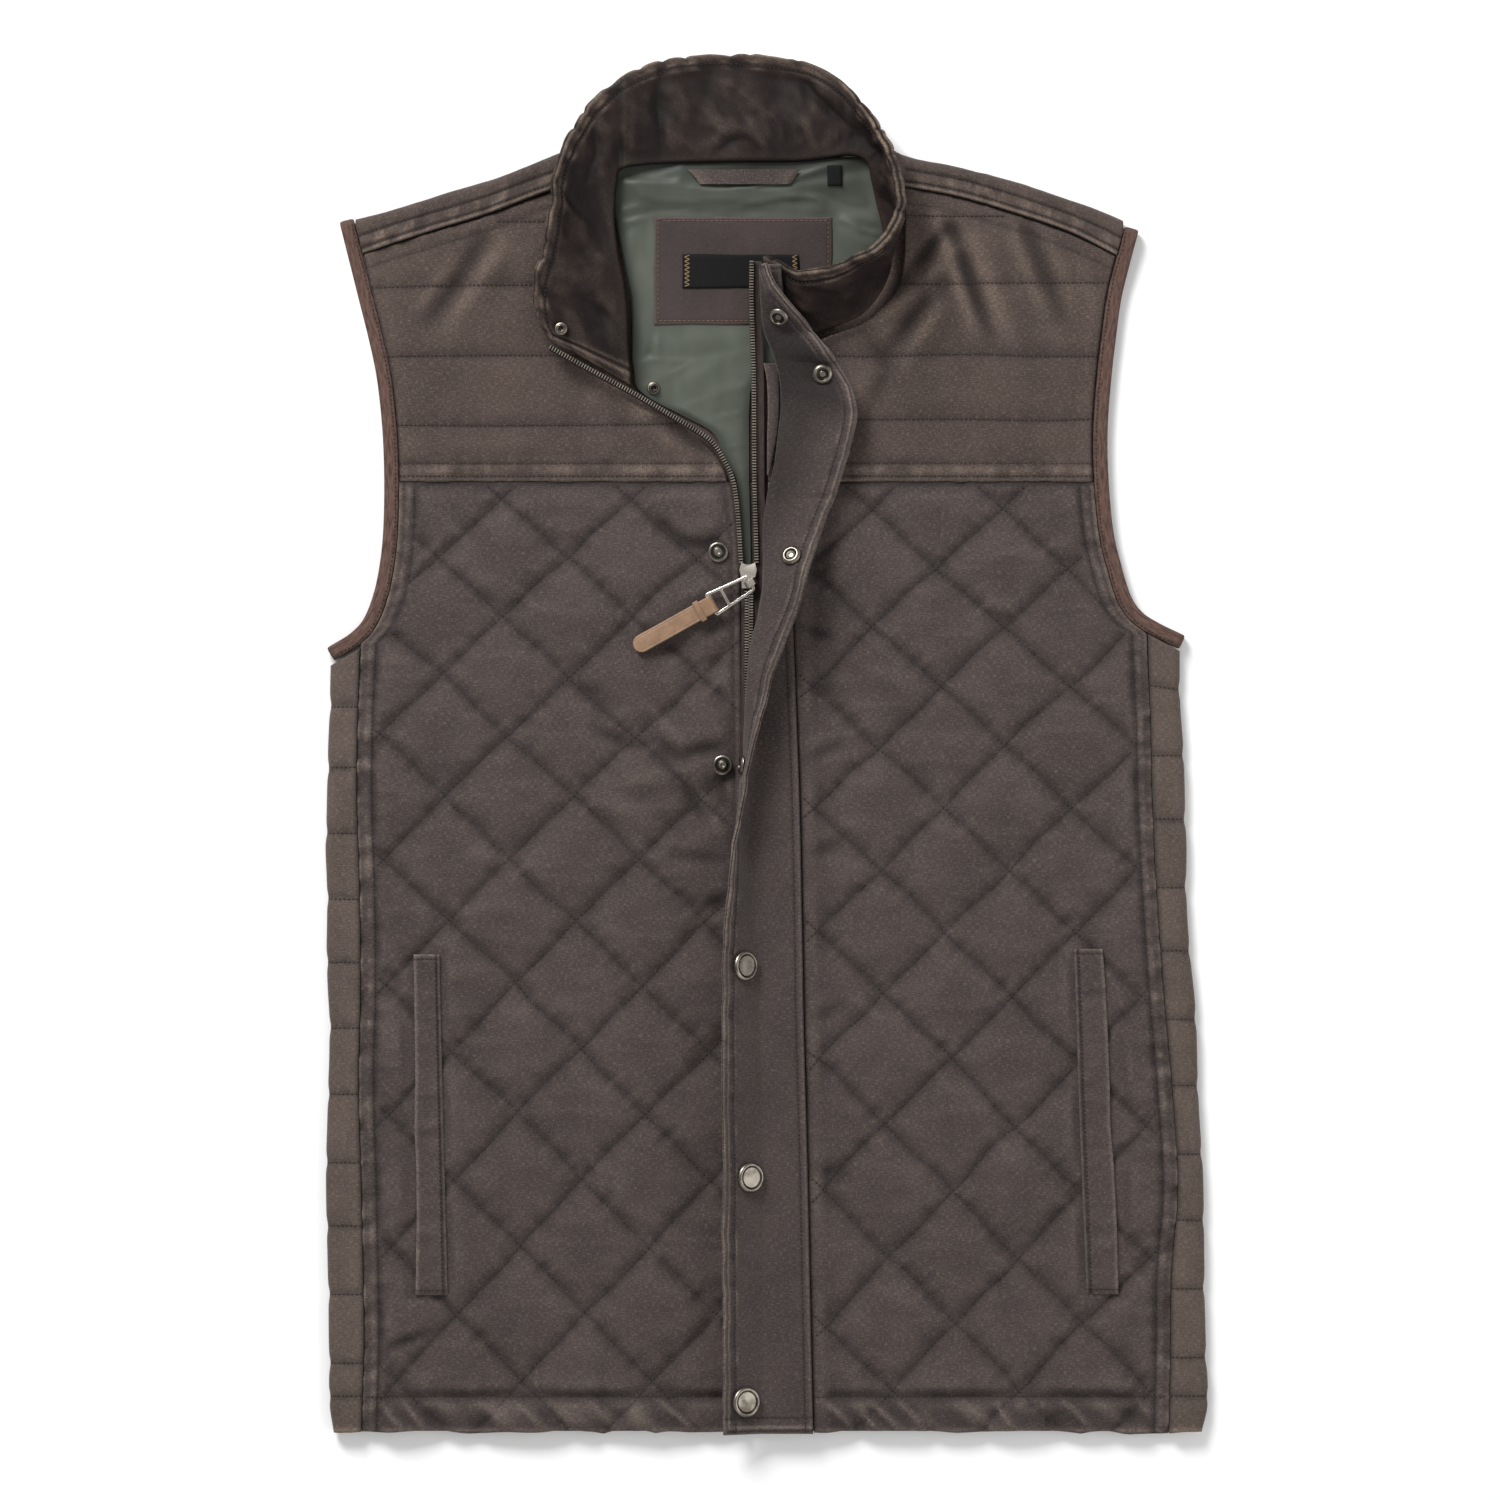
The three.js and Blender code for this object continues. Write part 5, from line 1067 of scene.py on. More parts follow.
FRONT_RIGHT = Front(
    "front_right", -147.5, 135.5,
    lambda y: outer_right(y) + SEAM_GAP, lambda y: read(RIGHT_FRONT_EDGE, y) + 2.4, POCKET_RIGHT, True, 1,
    [
        (-95, 8, -68, -2, -2.0, 4), (-62, 12, -42, -3, 2.2, 5), (-44, -4, -22, 0, -2.6, 4),
        (-62, 3, -42, -13, -1.8, 4),
        (-36, -30, -20, -54, 2.0, 4), (-46, -25, -34, -41, -2.0, 3.6), (-28, -22, -19, -40, -1.8, 3.5),
        (-48, 111, -22, 109, -2.6, 3.4), (-60, 122, -47, 110, -2.0, 4), (-34, 62, -18, 70, -1.7, 3.6),
        (-52, -60, -20, -64, -1.6, 4), (-74, -18, -34, -12, 1.9, 6), (-112, 36, -84, 22, -1.5, 5),
        (-30, 90, -52, 80, 1.5, 5), (-90, -30, -60, -46, 1.6, 7), (-24, -84, -44, -92, -1.5, 4),
        (-208, -330, -184, -322, -2.2, 3.2), (-214, -312, -206, -330, 1.5, 4), (-160, -60, -120, -74, 1.4, 7),
    ],
)
FRONT_LEFT = Front(
    "front_left", 126.5, 130.0,
    lambda y: read(FLAP_SEAM, y) + SEAM_GAP, lambda y: outer_left(y) - SEAM_GAP, POCKET_LEFT, False, 5,
    [
        (16, 65, 36, 59, -2.2, 3.4), (18, 33, 40, 28, -1.5, 3.6), (20, -8, 42, 2, -1.6, 3.8),
        (18, 92, 34, 98, -1.4, 4), (22, -60, 44, -52, -1.5, 4), (60, 40, 96, 22, 1.5, 7),
        (90, -40, 130, -58, 1.4, 8), (24, -150, 44, -142, -1.4, 4),
        (24, -232, 46, -240, -1.4, 4), (120, 84, 150, 60, 1.3, 8), (60, -300, 96, -312, 1.4, 7),
    ],
    edge_height=6.2,
)


@dataclass
class Yoke:
    """A front yoke: channels sewn across, a double topstitched seam below and folds from the collar."""

    name: str
    lines: Sequence[float]
    part: tuple[float, float, float]
    low: Profile
    high: Profile
    seam: Table
    folds: Table
    neck_at_low: bool
    seed: int
    rise: float = 1.5
    stitched: float = 3.2
    seam_rows: tuple[float, float] = (3.3, 10)
    columns: int = 122
    rows: int = 112

    def channel(self, x: Array, y: Array) -> tuple[Array, Array]:
        """Puff between the stitch lines, and distance from the nearest line."""
        line, x0, x1 = self.part
        divided = (x > x0) & (x < x1)
        away = np.full(x.shape, 1e3)
        for place in [YOKE_SEAM_Y + self.seam_rows[1], *self.lines]:
            away = np.minimum(away, np.abs(y - place - 0.9 * CREASE.at(x / 50 + place, 0 * x)))
        away = np.where(divided, np.minimum(away, np.abs(y - line)), away)
        seam = read(self.seam, x) - y
        away = np.minimum(away, np.abs(seam - 8.5))
        return 1 - np.exp(-away / 5.5), away

    def grid(self) -> tuple[Array, Array]:
        """The top's x and y: level rows below, bending to the shoulder seam above."""
        share = np.linspace(0, 1, self.columns)
        up = np.linspace(0, 1, self.rows)
        last = self.lines[-1]
        split = 0.66
        y = np.zeros((self.rows, self.columns))
        x = np.zeros_like(y)
        for _ in range(5):
            limit = np.minimum(y, 275) if np.any(y) else np.full_like(y, 200.0)
            neck = np.where(np.any(y), y, 200.0)
            low = self.low(neck if self.neck_at_low else limit)
            high = self.high(limit if self.neck_at_low else neck)
            x = mix(low, high, share[None, :])
            seam = read(self.seam, x) - SEAM_GAP
            below = mix(YOKE_SEAM_Y, last, up[:, None] / split)
            above = mix(last, seam, (up[:, None] - split) / (1 - split))
            y = np.where(up[:, None] <= split, below, above)
        return x, y

    def height(self, x: Array, y: Array) -> Array:
        """The top's height above the base."""
        puff, away = self.channel(x, y)
        s = self.seed
        quilted = self.stitched + self.rise * puff
        quilted = quilted + 0.6 * line_noise(PUCKER, x + 23 * s, away, 6.0, 8.0)
        quilted = quilted + (RUMPLE.layered(x / 34 + s, y / 22, 3) * 1.0) * (0.3 + 0.7 * puff)
        up = y - YOKE_SEAM_Y
        rows = bell(up - self.seam_rows[0], 0.7) + bell(up - self.seam_rows[1], 0.8)
        felled = 4.3 + 1.4 * PUCKER.layered(x / 7.5 + s, up / 20, 2) - 1.0 * rows
        height = mix(felled, quilted, ease((up - 9.5) / 6.0))
        neck, side = x - self.low(y), self.high(y) - x
        if not self.neck_at_low:
            neck, side = side, neck
        height = height + 2.0 * (1 - ease(neck / 14)) * ease((y - 150) / 40)
        height = height + fold_rise(self.folds, x, y) * ease((up - 8) / 14)
        height = mix(3.2, height, ease((side + 2) / 9))
        seam = read(self.seam, x) - y
        height = mix(3.4 + 0.3 * CREASE.layered(x / 7, seam / 10, 2), height, ease((seam - 1) / 8))
        return np.maximum(height, 1.6) * (0.5 + 0.5 * round_over(least(side, seam, up), 1.4))

    def build(self, ceiling: Callable[[Array, Array], Array], sewing: Sewing) -> None:
        """Makes the yoke and sews its channels and its lower seam.

        Args:
            ceiling: the greatest height at x and y, under the pieces that lie on the yoke.
            sewing: the thread.
        """
        x, y = self.grid()
        z = np.minimum(FRONT_BASE + self.height(x, y), ceiling(x, y))
        _, away = self.channel(x, y)
        up = y - YOKE_SEAM_Y
        # Painted shade in the channel lines, at the lower seam's row and in fold troughs; fold crests get a painted
        # highlight beside the real wear at the seam.
        seam_dye_and_shade = bell(away, 0.8) * 0.3 + bell(away, 4.5) * 0.04
        folded = fold_rise(self.folds, x, y) * ease((up - 8) / 14)
        seam_dye_and_shade = most(seam_dye_and_shade, bell(up - self.seam_rows[0], 0.6) * 0.45, np.clip(-folded / 4.5, 0, 0.55))
        blobs = np.clip(0.35 + 1.2 * PUCKER.layered(x / 7.5 + self.seed, up / 20, 2), 0, 1)
        wear_and_highlight = bell(up, 0.8) * 0.9 + bell(up - 6.6, 2.0) * 0.4 * blobs + np.clip(folded / 12, 0, 0.22)
        top = np.stack([x, y, z], 2)
        wear_and_highlight, seam_dye_and_shade = shade_hollows_light_crests(top, z, wear_and_highlight, seam_dye_and_shade, 0.26, 0.16)
        piece = panel(top, FRONT_BASE, wear_and_highlight, seam_dye_and_shade).build(self.name + "_cloth", Finish.YOKE)
        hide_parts(self.name)
        part, start, stop = self.part
        for level in [*(YOKE_SEAM_Y + row for row in self.seam_rows), *self.lines, part]:
            wave = 0.9 * CREASE.at(x[0] / 50 + level, 0 * x[0]) if level in self.lines else 0 * x[0]
            line_y = level + wave
            row = [int(np.argmin(np.abs(y[:, c] - line_y[c]))) for c in range(self.columns)]
            c = np.arange(self.columns)
            keep = (x[row, c] > start) & (x[row, c] < stop) if level == part else None
            sewing.seam(np.stack([x[row, c], line_y, z[row, c] + 0.2], 1), keep)


YOKE_RIGHT = Yoke(
    "front_yoke_right", [176, 213.5, 252], (287.5, -150, -80),
    lambda y: outer_right(np.minimum(y, 275)) + SEAM_GAP, lambda y: read(RIGHT_FRONT_EDGE, y),
    RIGHT_SHOULDER_SEAM,
    [
        (-158, 276, -192, 226, -2.8, 6), (-147, 274, -180, 224, 2.0, 7), (-172, 262, -196, 236, 1.4, 6),
        (-76, 192, -30, 160, 3.2, 9), (-60, 180, -25, 154, -4.5, 5.5), (-100, 262, -112, 214, 1.6, 9),
        (-92, 280, -104, 240, -1.4, 6), (-128, 282, -140, 240, 1.0, 9), (-84, 206, -100, 186, 1.5, 7),
    ],
    False, 2,
)
YOKE_LEFT = Yoke(
    "front_yoke_left", [179, 214, 253.5], (290.5, 70, 130),
    lambda y: read(LEFT_YOKE_EDGE, y) + SEAM_GAP, lambda y: outer_left(np.minimum(y, 275)) - SEAM_GAP,
    LEFT_SHOULDER_SEAM,
    [
        (100, 282, 122, 220, -3.6, 4.5), (91, 290, 113, 226, 3.0, 5), (112, 276, 132, 220, 2.0, 6.5),
        (141, 284, 163, 229, -2.8, 6), (134, 280, 154, 231, 1.8, 6), (150, 280, 172, 226, 1.5, 7),
        (97, 284, 73, 257, -3.0, 4), (73, 257, 50, 236, -2.2, 4), (102, 272, 78, 248, 2.6, 5),
        (78, 248, 54, 226, 2.4, 5), (84, 244, 62, 213, -2.2, 4), (93, 240, 71, 206, 2.0, 5),
        (56, 222, 64, 206, -1.4, 5), (64, 206, 52, 178, -1.4, 5), (30, 204, 52, 190, 1.4, 7),
        (172, 262, 182, 226, 1.2, 6),
    ],
    True, 4,
)


def right_ceiling(x: Array, y: Array) -> Array:
    """Room under the zip and the collar on the right yoke."""
    inside = read(RIGHT_FRONT_EDGE, y) - x
    return mix(mix(9.2, 11, ease((y - 190) / 12)), 14, ease((inside - 3) / 18))


def left_ceiling(x: Array, y: Array) -> Array:
    """Room under the flap on the left yoke."""
    return mix(9.9, 13, ease((x - 13) / 16)) + 0 * y


SIDE_STITCH_RIGHT = (-339.5, -301.5, -264.5, -229, -192, -155, -119, -84, -48, -13, 21.5)
SIDE_STITCH_LEFT = (-336.5, -298, -261, -224.5, -187.5, -150.5, -113.5, -78, -41, -5.5, 30.5)
WELT_RIGHT = [(-302, -194.5, -177), (-243, -194.5, -178.5), (-183, -195, -180), (-115, -196, -181.5)]
WELT_LEFT = [
    (-301.5, 174, 191.5), (-242, 171.5, 189), (-190, 169.5, 186.5), (-154, 168.5, 185), (-112, 167, 182.5),
]
HANGER = [(308, -38.5, 11, 7.0), (311, -40.5, 13, 7.0), (316, -45, 16.5, 7.0)]
EDGE_STRIP = [
    (148, -1.6, -0.3, 10.4), (158, -1.6, 1.6, 10.4), (170, -1.5, 3.8, 10.4), (184, -1.2, 4.9, 10.5),
    (200, -1.8, 4.6, 11), (209.5, -3.6, 3.6, 11.8),
]
CAPS = [(-121, 14.8), (-237, 16.9), (-360, 13.1)]
SOCKETS = [(235, 12), (203.5, 12.5), (103, 12.5), (-11, 11.5)]
STUDS = [(-28.5, 106, 8.5), (-26, -11, 9.8)]
POSTS = [(-114.5, 228, 22.5), (-64, 196, 5.6)]


@dataclass
class SidePanel:
    """A channel quilted strip that turns round the vest's side, from the back to the side seam."""

    name: str
    side: int
    stitches: Sequence[float]
    top: float
    rise: float = 1.5
    inner_radius: float = 1.6

    def build(self, sewing: Sewing) -> None:
        """Makes the strip and sews its channels."""
        column = 1 if self.side < 0 else 2
        y = np.linspace(HEM_Y, self.top, int((self.top - HEM_Y) / 1.5))
        flat = np.linspace(0, 1, 12)[:-1]
        turn = np.linspace(0, math.pi, 17)
        rest = np.linspace(0, 1, 5)[1:]
        seam = read(SIDE_SEAMS, y, column)[:, None] + self.side * SEAM_GAP
        near = np.min([np.abs(y - line) for line in [HEM_STITCH_Y, *self.stitches]], axis=0)
        scallop = 0.8 * bell(near, 4.0) - 0.5 * CREASE.at(y / 19, 0 * y + 4.5)
        fold = read(SIDE_FOLDS, y, column)[:, None] - self.side * scallop[:, None]
        centre = fold - self.side * FOLD_RADIUS
        x, xi = (
            np.concatenate([mix(seam, centre, flat), centre + self.side * np.sin(turn) * r, mix(centre, seam, rest)], 1)
            for r in (FOLD_RADIUS, self.inner_radius)
        )
        cosine = np.concatenate([np.ones(len(flat)), np.cos(turn), -np.ones(len(rest))])
        foot = ease(1 - (y[:, None] - HEM_Y) / 15)
        rise = 9.5 * ease((y[:, None] - 20) / (self.top - 20))
        lift = lambda where: rise * (fold - where) / (fold - seam) + foot * hem_wave(where)
        yy, yi = y[:, None] + lift(x), y[:, None] + lift(xi)
        away = np.full(x.shape, 99.0)
        for line in [HEM_STITCH_Y, *self.stitches]:
            away = np.minimum(away, np.abs(y[:, None] - line - 0.8 * PUCKER.at(x / 9 + line, 0 * x)))
        depth = self.rise * np.exp(-away / 3.5) * 0.9
        bumps = 0.5 * line_noise(CREASE, x + 80, away, 4.5, 6.0) + 0.45 * RUMPLE.layered(x / 14, yy / 9, 3)
        ramp_in = np.abs(x - seam)
        edge = 1 - np.exp(-ramp_in / 1.2)
        shown = np.clip(cosine, 0, 1) ** 0.5
        radius = FOLD_RADIUS - shown * np.clip(depth - bumps + 0.5 * (1 - edge), -1.0, 2.4)
        z = FOLD_RADIUS + np.where(cosine >= 0, cosine * radius, cosine * FOLD_RADIUS)
        zi = FOLD_RADIUS + cosine * self.inner_radius + 0 * xi
        outer, inner = np.stack([x, yy, z], 2), np.stack([xi, yi, zi], 2)
        # Painted shade along the channel stitching and deep at the side seam.
        seam_dye_and_shade = (bell(away, 1.0) * 0.2 + bell(away, 3.5) * 0.08) * (shown > 0)
        seam_dye_and_shade = np.maximum(seam_dye_and_shade, bell(ramp_in, 1.4) * 0.6)
        wear_and_highlight = bell(yy - HEM_Y, 1.6) * 0.7
        coords = arc_lengths(outer)
        wear_and_highlight, seam_dye_and_shade = shade_hollows_light_crests(outer, radius, wear_and_highlight, seam_dye_and_shade, 0.25, 0.15)
        made = shell(outer, inner, coords, wear_and_highlight, seam_dye_and_shade, flip=self.side > 0).build(self.name + "_cloth", Finish.SIDE)
        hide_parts(self.name)
        for line in [HEM_STITCH_Y, *self.stitches]:
            k = int(np.argmin(np.abs(y - line)))
            sewing.seam(outer[k, : len(flat) + 8] + [0, 0, 0.25])


@dataclass
class BackPanel:
    """The back below its yoke: flat where it rests, thinly padded."""

    name: str = "back_panel"
    thickness: float = 3.2

    def build(self) -> None:
        """Makes the plate."""
        y = np.linspace(HEM_Y, YOKE_SEAM_Y - SEAM_GAP, 170)
        share = np.linspace(0, 1, 110)
        yy = np.broadcast_to(y[:, None], (170, 110))
        x = mix(outer_right(yy) + SEAM_GAP, outer_left(yy) - SEAM_GAP, share)
        z = self.thickness - 0.25 + 0.2 * RUMPLE.layered(x / 20, yy / 14, 3)
        zero = np.zeros_like(z)
        made = panel(np.stack([x, yy, z], 2), 0, zero, zero).build(self.name + "_cloth", Finish.YOKE)
        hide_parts(self.name)


@dataclass
class BackYoke:
    """The back yoke: it turns over both shoulders and comes forward to the shoulder seams."""

    name: str = "back_yoke"
    inner_radius: float = 1.6
    neckline: float = 318.5
    rows: tuple[float, float] = (3.0, 9.5)

    def build(self, sewing: Sewing) -> None:
        """Makes the yoke and its shoulder topstitching."""
        u = np.linspace(0, 1, 220)
        share = np.concatenate([np.linspace(0, 0.74, 14)[:-1], np.linspace(0.74, 1, 62)])[:, None]
        arc = math.pi * FOLD_RADIUS
        x_top = mix(outer_right(np.array(270.0)) + SEAM_GAP, outer_left(np.array(268.0)) - SEAM_GAP, u)[None]
        fold = read(SHOULDER, x_top, 1)
        reach = np.clip(read(SHOULDER, x_top, 2), 0, 1)
        seams = [read(table, x_top) for table in (RIGHT_SHOULDER_SEAM, LEFT_SHOULDER_SEAM)]
        seam = np.where(x_top < 0, *seams) + SEAM_GAP
        lower = fold - FOLD_RADIUS - YOKE_SEAM_Y
        whole = lower + arc + (fold - FOLD_RADIUS - seam)
        length = share * mix(self.neckline - YOKE_SEAM_Y, whole, reach)
        turn = np.clip((length - lower) / FOLD_RADIUS, 0, math.pi)
        beyond = np.maximum(length - lower - arc, 0)
        y = np.minimum(YOKE_SEAM_Y + length, fold - FOLD_RADIUS) - beyond
        edge_y = np.minimum(y + np.sin(turn) * FOLD_RADIUS, 286)
        x = mix(outer_right(edge_y) + SEAM_GAP, outer_left(edge_y) - SEAM_GAP, u[None])
        from_seam = np.where(reach > 0.99, whole - length, 99.0)
        near, far = self.rows
        rows = bell(from_seam - near, 0.8) + bell(from_seam - far, 0.9)
        pleats = PUCKER.layered(x / 5.6, from_seam / 12, 2) * bell(from_seam, 13)
        bump = 1.7 * pleats - 0.8 * rows + 0.5 * RUMPLE.layered(x / 26, length / 15, 3)
        bump = bump - 1.1 * (1 - np.clip(from_seam / 1.5, 0, 1)) ** 2
        shown = ease((turn - 0.4) / 1.2)
        radius = FOLD_RADIUS + bump * shown
        place = lambda r: np.stack([x, y + np.sin(turn) * r, FOLD_RADIUS - np.cos(turn) * r], 2)
        outer, inner = place(radius), place(np.full_like(radius, self.inner_radius))
        # Painted shade along the shoulder topstitching.
        seam_dye_and_shade = bell(from_seam - near, 0.7) * 0.5 + bell(from_seam - far, 0.9) * 0.5
        blobs = np.clip(0.3 + 1.2 * PUCKER.layered(x / 5.6, from_seam / 12, 2), 0, 1)
        wear_and_highlight = bell(from_seam - 0.8, 0.7) * 0.8 + bell(from_seam - 6, 2.2) * 0.4 * blobs
        coords = np.stack([x, YOKE_SEAM_Y + length], 2)
        wear_and_highlight, seam_dye_and_shade = shade_hollows_light_crests(outer, bump, np.clip(wear_and_highlight, 0, 1), seam_dye_and_shade)
        made = shell(outer, inner, coords, wear_and_highlight, seam_dye_and_shade, flip=True).build(self.name + "_cloth", Finish.YOKE)
        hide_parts(self.name)
        full = np.flatnonzero(reach[0] > 0.99)
        for back in self.rows:
            for half in (full[x_top[0, full] < 0], full[x_top[0, full] > 0]):
                rows_at = [int(np.argmin(np.abs(from_seam[:, c] - back))) for c in half]
                sewing.seam(outer[rows_at, half] + [0, 0, 0.2])


@dataclass
class ArmholeBinding:
    """A ribbed tape round one armhole, one strand on the front and one beneath, joined at both ends."""

    name: str
    table: Table
    inward: int
    top: float = 7.6
    end_top: float = 9.6
    back: float = 3.0
    around: int = 22

    def build(self, sewing: Sewing) -> None:
        """Makes the tape and sews its inner edge."""
        points, run, into = armhole_edge(self.table, self.inward)
        count = len(points)
        k = np.arange(count)
        from_end = np.minimum(k, count - 1 - k) / (count - 1)
        top = mix(self.end_top, self.top, ease(from_end / 0.14))
        stations = []
        phase = np.linspace(0, 2 * math.pi, self.around, endpoint=False)
        wide = np.sign(np.cos(phase)) * np.abs(np.cos(phase)) ** 0.45
        high = np.sign(np.sin(phase)) * np.abs(np.sin(phase)) ** 0.7

        def station(i: int, facing: Array, height: float, z: float, shift: float) -> None:
            """One loop of points round the tape."""
            side = np.array([*into[i], 0])
            centre = np.array([*points[i], z]) + np.array([*run[i], 0]) * shift
            centre = centre + side * BINDING_WIDTH / 2
            ripple = 0.16 * math.sin(i * 2.6) + 0.22 * float(PUCKER.at(i / 1.8, 3.3))
            loop = centre + wide[:, None] * side * (BINDING_WIDTH / 2)
            loop = loop + (high * (height / 2 + 0.15 + ripple * (facing[2] > 0.5)))[:, None] * facing
            stations.append(loop)

        up = np.array([0.0, 0.0, 1.0])
        for i in range(count):
            station(i, up, top[i] - FRONT_BASE, (top[i] + FRONT_BASE) / 2, 0)
        for i, sign in ((count - 1, 1), (0, -1)):
            for a in np.linspace(0.5, -0.5, 7)[1:-1] * math.pi * (1 if sign > 0 else -1):
                facing = np.array([*run[i], 0]) * sign * math.cos(a) + up * math.sin(a)
                height = mix(2.4, 4.6 if math.sin(a) > 0 else 2.5, abs(math.sin(a)) ** 2)
                station(i, facing, height, 3.9 + 2.2 * math.sin(a), sign * 1.2 * math.cos(a))
            if sign > 0:
                for j in range(count - 1, -1, -1):
                    station(j, -up, self.back - 0.5, self.back / 2 + 0.1, 0)
        grid = np.array(stations)
        rows, columns = grid.shape[:2]
        faces = grid_faces(rows + 1, columns, flip=self.inward < 0, around=True) % (rows * columns)
        away = wide[None, :] * np.ones((rows, 1))
        along = np.arange(rows)[:, None] * 1.75 + 0 * away
        coords = np.stack([away * BINDING_WIDTH / 2, along], 2).reshape(-1, 2)
        # Painted shade along the stitch line and the tape's rolled edges.
        seam_dye_and_shade = bell(away - 0.62, 0.09) * 0.5 + bell(1 - np.abs(away), 0.06) * 0.5
        made = Cloth(grid.reshape(-1, 3), faces.tolist(), coords, 0 * seam_dye_and_shade, seam_dye_and_shade)
        made = made.build(self.name + "_cloth", Finish.BINDING)
        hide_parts(self.name)
        line = points + into * (BINDING_WIDTH * 0.8)
        sewing.seam(np.column_stack([line, top + 0.1]))


@dataclass
class Welt:
    """A pocket welt: a folded band that lies on the front and gapes a little along its open side."""

    name: str
    table: Table
    open_low: bool
    base: float = 7.4
    thickness: float = 2.2

    def build(self, sewing: Sewing) -> None:
        """Makes the band and sews its ends and closed side."""
        low, high = self.table[0][0], self.table[-1][0]
        y = np.linspace(low, high, 150)[:, None]
        share = np.linspace(0, 1, 26)[None]
        left, right = read(self.table, y, 1), read(self.table, y, 2)
        x = mix(left, right, share)
        from_open, from_shut = (x - left, right - x) if self.open_low else (right - x, x - left)
        from_end = np.minimum(y - low, high - y) + 0 * x
        z = self.base + self.thickness * (0.3 + 0.7 * round_over(least(from_open, from_shut, from_end), 1.3))
        stitch = bell(from_shut - 1.8, 0.7) + bell(from_end - 2.0, 0.7)
        relief = 0.8 * PUCKER.layered(x / 11, y / 6.5, 2) + 0.5 * RUMPLE.at(x / 30, y / 34) - 0.6 * stitch
        z = z + relief
        x = x + 0.5 * CREASE.at(y / 26, 0 * y) * (from_open < 4)
        wear_and_highlight = bell(from_open, 1.3) * 0.95 + bell(from_end, 1.0) * 0.7
        wear_and_highlight = wear_and_highlight + bell(from_shut, 0.9) * 0.4
        yy = y + 0 * x
        top = np.stack([x, yy, z], 2)
        # Painted shade along the welt's stitching and in its hollows.
        wear_and_highlight, seam_dye_and_shade = shade_hollows_light_crests(top, relief, np.clip(wear_and_highlight, 0, 1) * 0.7, np.clip(stitch, 0, 1) * 0.5, 0.5, 0.25)
        made = panel(top, self.base - 0.2, wear_and_highlight, seam_dye_and_shade).build(self.name + "_cloth", Finish.SHELL)
        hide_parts(self.name)
        thread = top + [0, 0, THREAD_LIFT]
        for line in (thread[:, 21 if self.open_low else 4], thread[2], thread[-3]):
            sewing.seam(line)


@dataclass
class Placket:
    """The plain strip under the flap, between the zip's left tape and the flap's seam."""

    name: str = "placket_left"
    top: float = 9.9

    def build(self) -> None:
        """Makes the strip."""
        y = np.linspace(HEM_Y + 1, YOKE_SEAM_Y - SEAM_GAP, 330)[:, None]
        share = np.linspace(0, 1, 16)[None]
        right = read(FLAP_SEAM, y) - SEAM_GAP
        x = mix(-1.0, right, share)
        edge = x + 1.0
        z = self.top - 1.3 * (1 - np.clip(edge / 1.6, 0, 1)) ** 2 - 0.5 * bell(edge - 3.2, 0.8)
        z = z - 0.25 + 0.25 * PUCKER.layered(x / 10, y / 6, 2)
        # Painted shade in the dip along the strip and deep under the flap's seam.
        seam_dye_and_shade = bell(edge - 3.2, 0.7) * 0.6 + bell(right - x, 1.0) * 0.8
        wear_and_highlight = bell(edge, 1.2) * 0.4
        top = np.stack([x, y + 0 * x, np.minimum(z, self.top)], 2)
        made = panel(top, FRONT_BASE, wear_and_highlight, seam_dye_and_shade).build(self.name + "_cloth", Finish.SHELL)
        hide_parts(self.name)


LINING = [
    (94, -15, -10.5), (100, -16, -10.5), (124, -17, -11), (146, -18.5, -11.5), (158, -25, -11.5),
    (172, -32, -11.5), (181, -48, -11.5), (188, -62, -11), (196, -73, -10), (206, -75, -3), (212, -76, 8),
    (218, -76, 14), (225, -76, 22), (230, -76, 30), (236, -76, 42), (246, -76.5, 53), (258, -79, 60),
    (272, -82, 64), (288, -85, 62), (300, -87, 60), (310, -87, 58), (317, -86, 57), (323, -83, 54),
]
LINING_FOLDS = [
    (-72, 306, 40, 300, 1.6, 4), (-60, 297, 55, 311, 1.4, 4), (-74, 292, -20, 299, -1.2, 4),
    (52, 276, 20, 296, 1.4, 5), (-60, 205, -66, 240, 1.2, 5), (-45, 200, -20, 214, 0.8, 6),
    (-40, 303, 20, 293, 1.5, 3.5), (-78, 309, -44, 304, 1.3, 3), (20, 303, 58, 296, -1.0, 4),
    (-80, 262, -70, 300, 0.8, 4), (-70, 301, -10, 294, 1.0, 2.5), (10, 294, 60, 288, 0.9, 2.5),
    (-66, 216, -61, 252, -0.8, 2.5), (-30, 160, -52, 196, 0.7, 5), (-14, 226, -60, 222, 0.5, 5),
]
LINING_TOP = 5.0
PATCH = (-63.5, 34.0, 231.0, 290.0)
LABEL = (-48.0, 16.0, 251.0, 269.5)
SIZE_TAB = (31.5, 39.5, 307, 318.5)


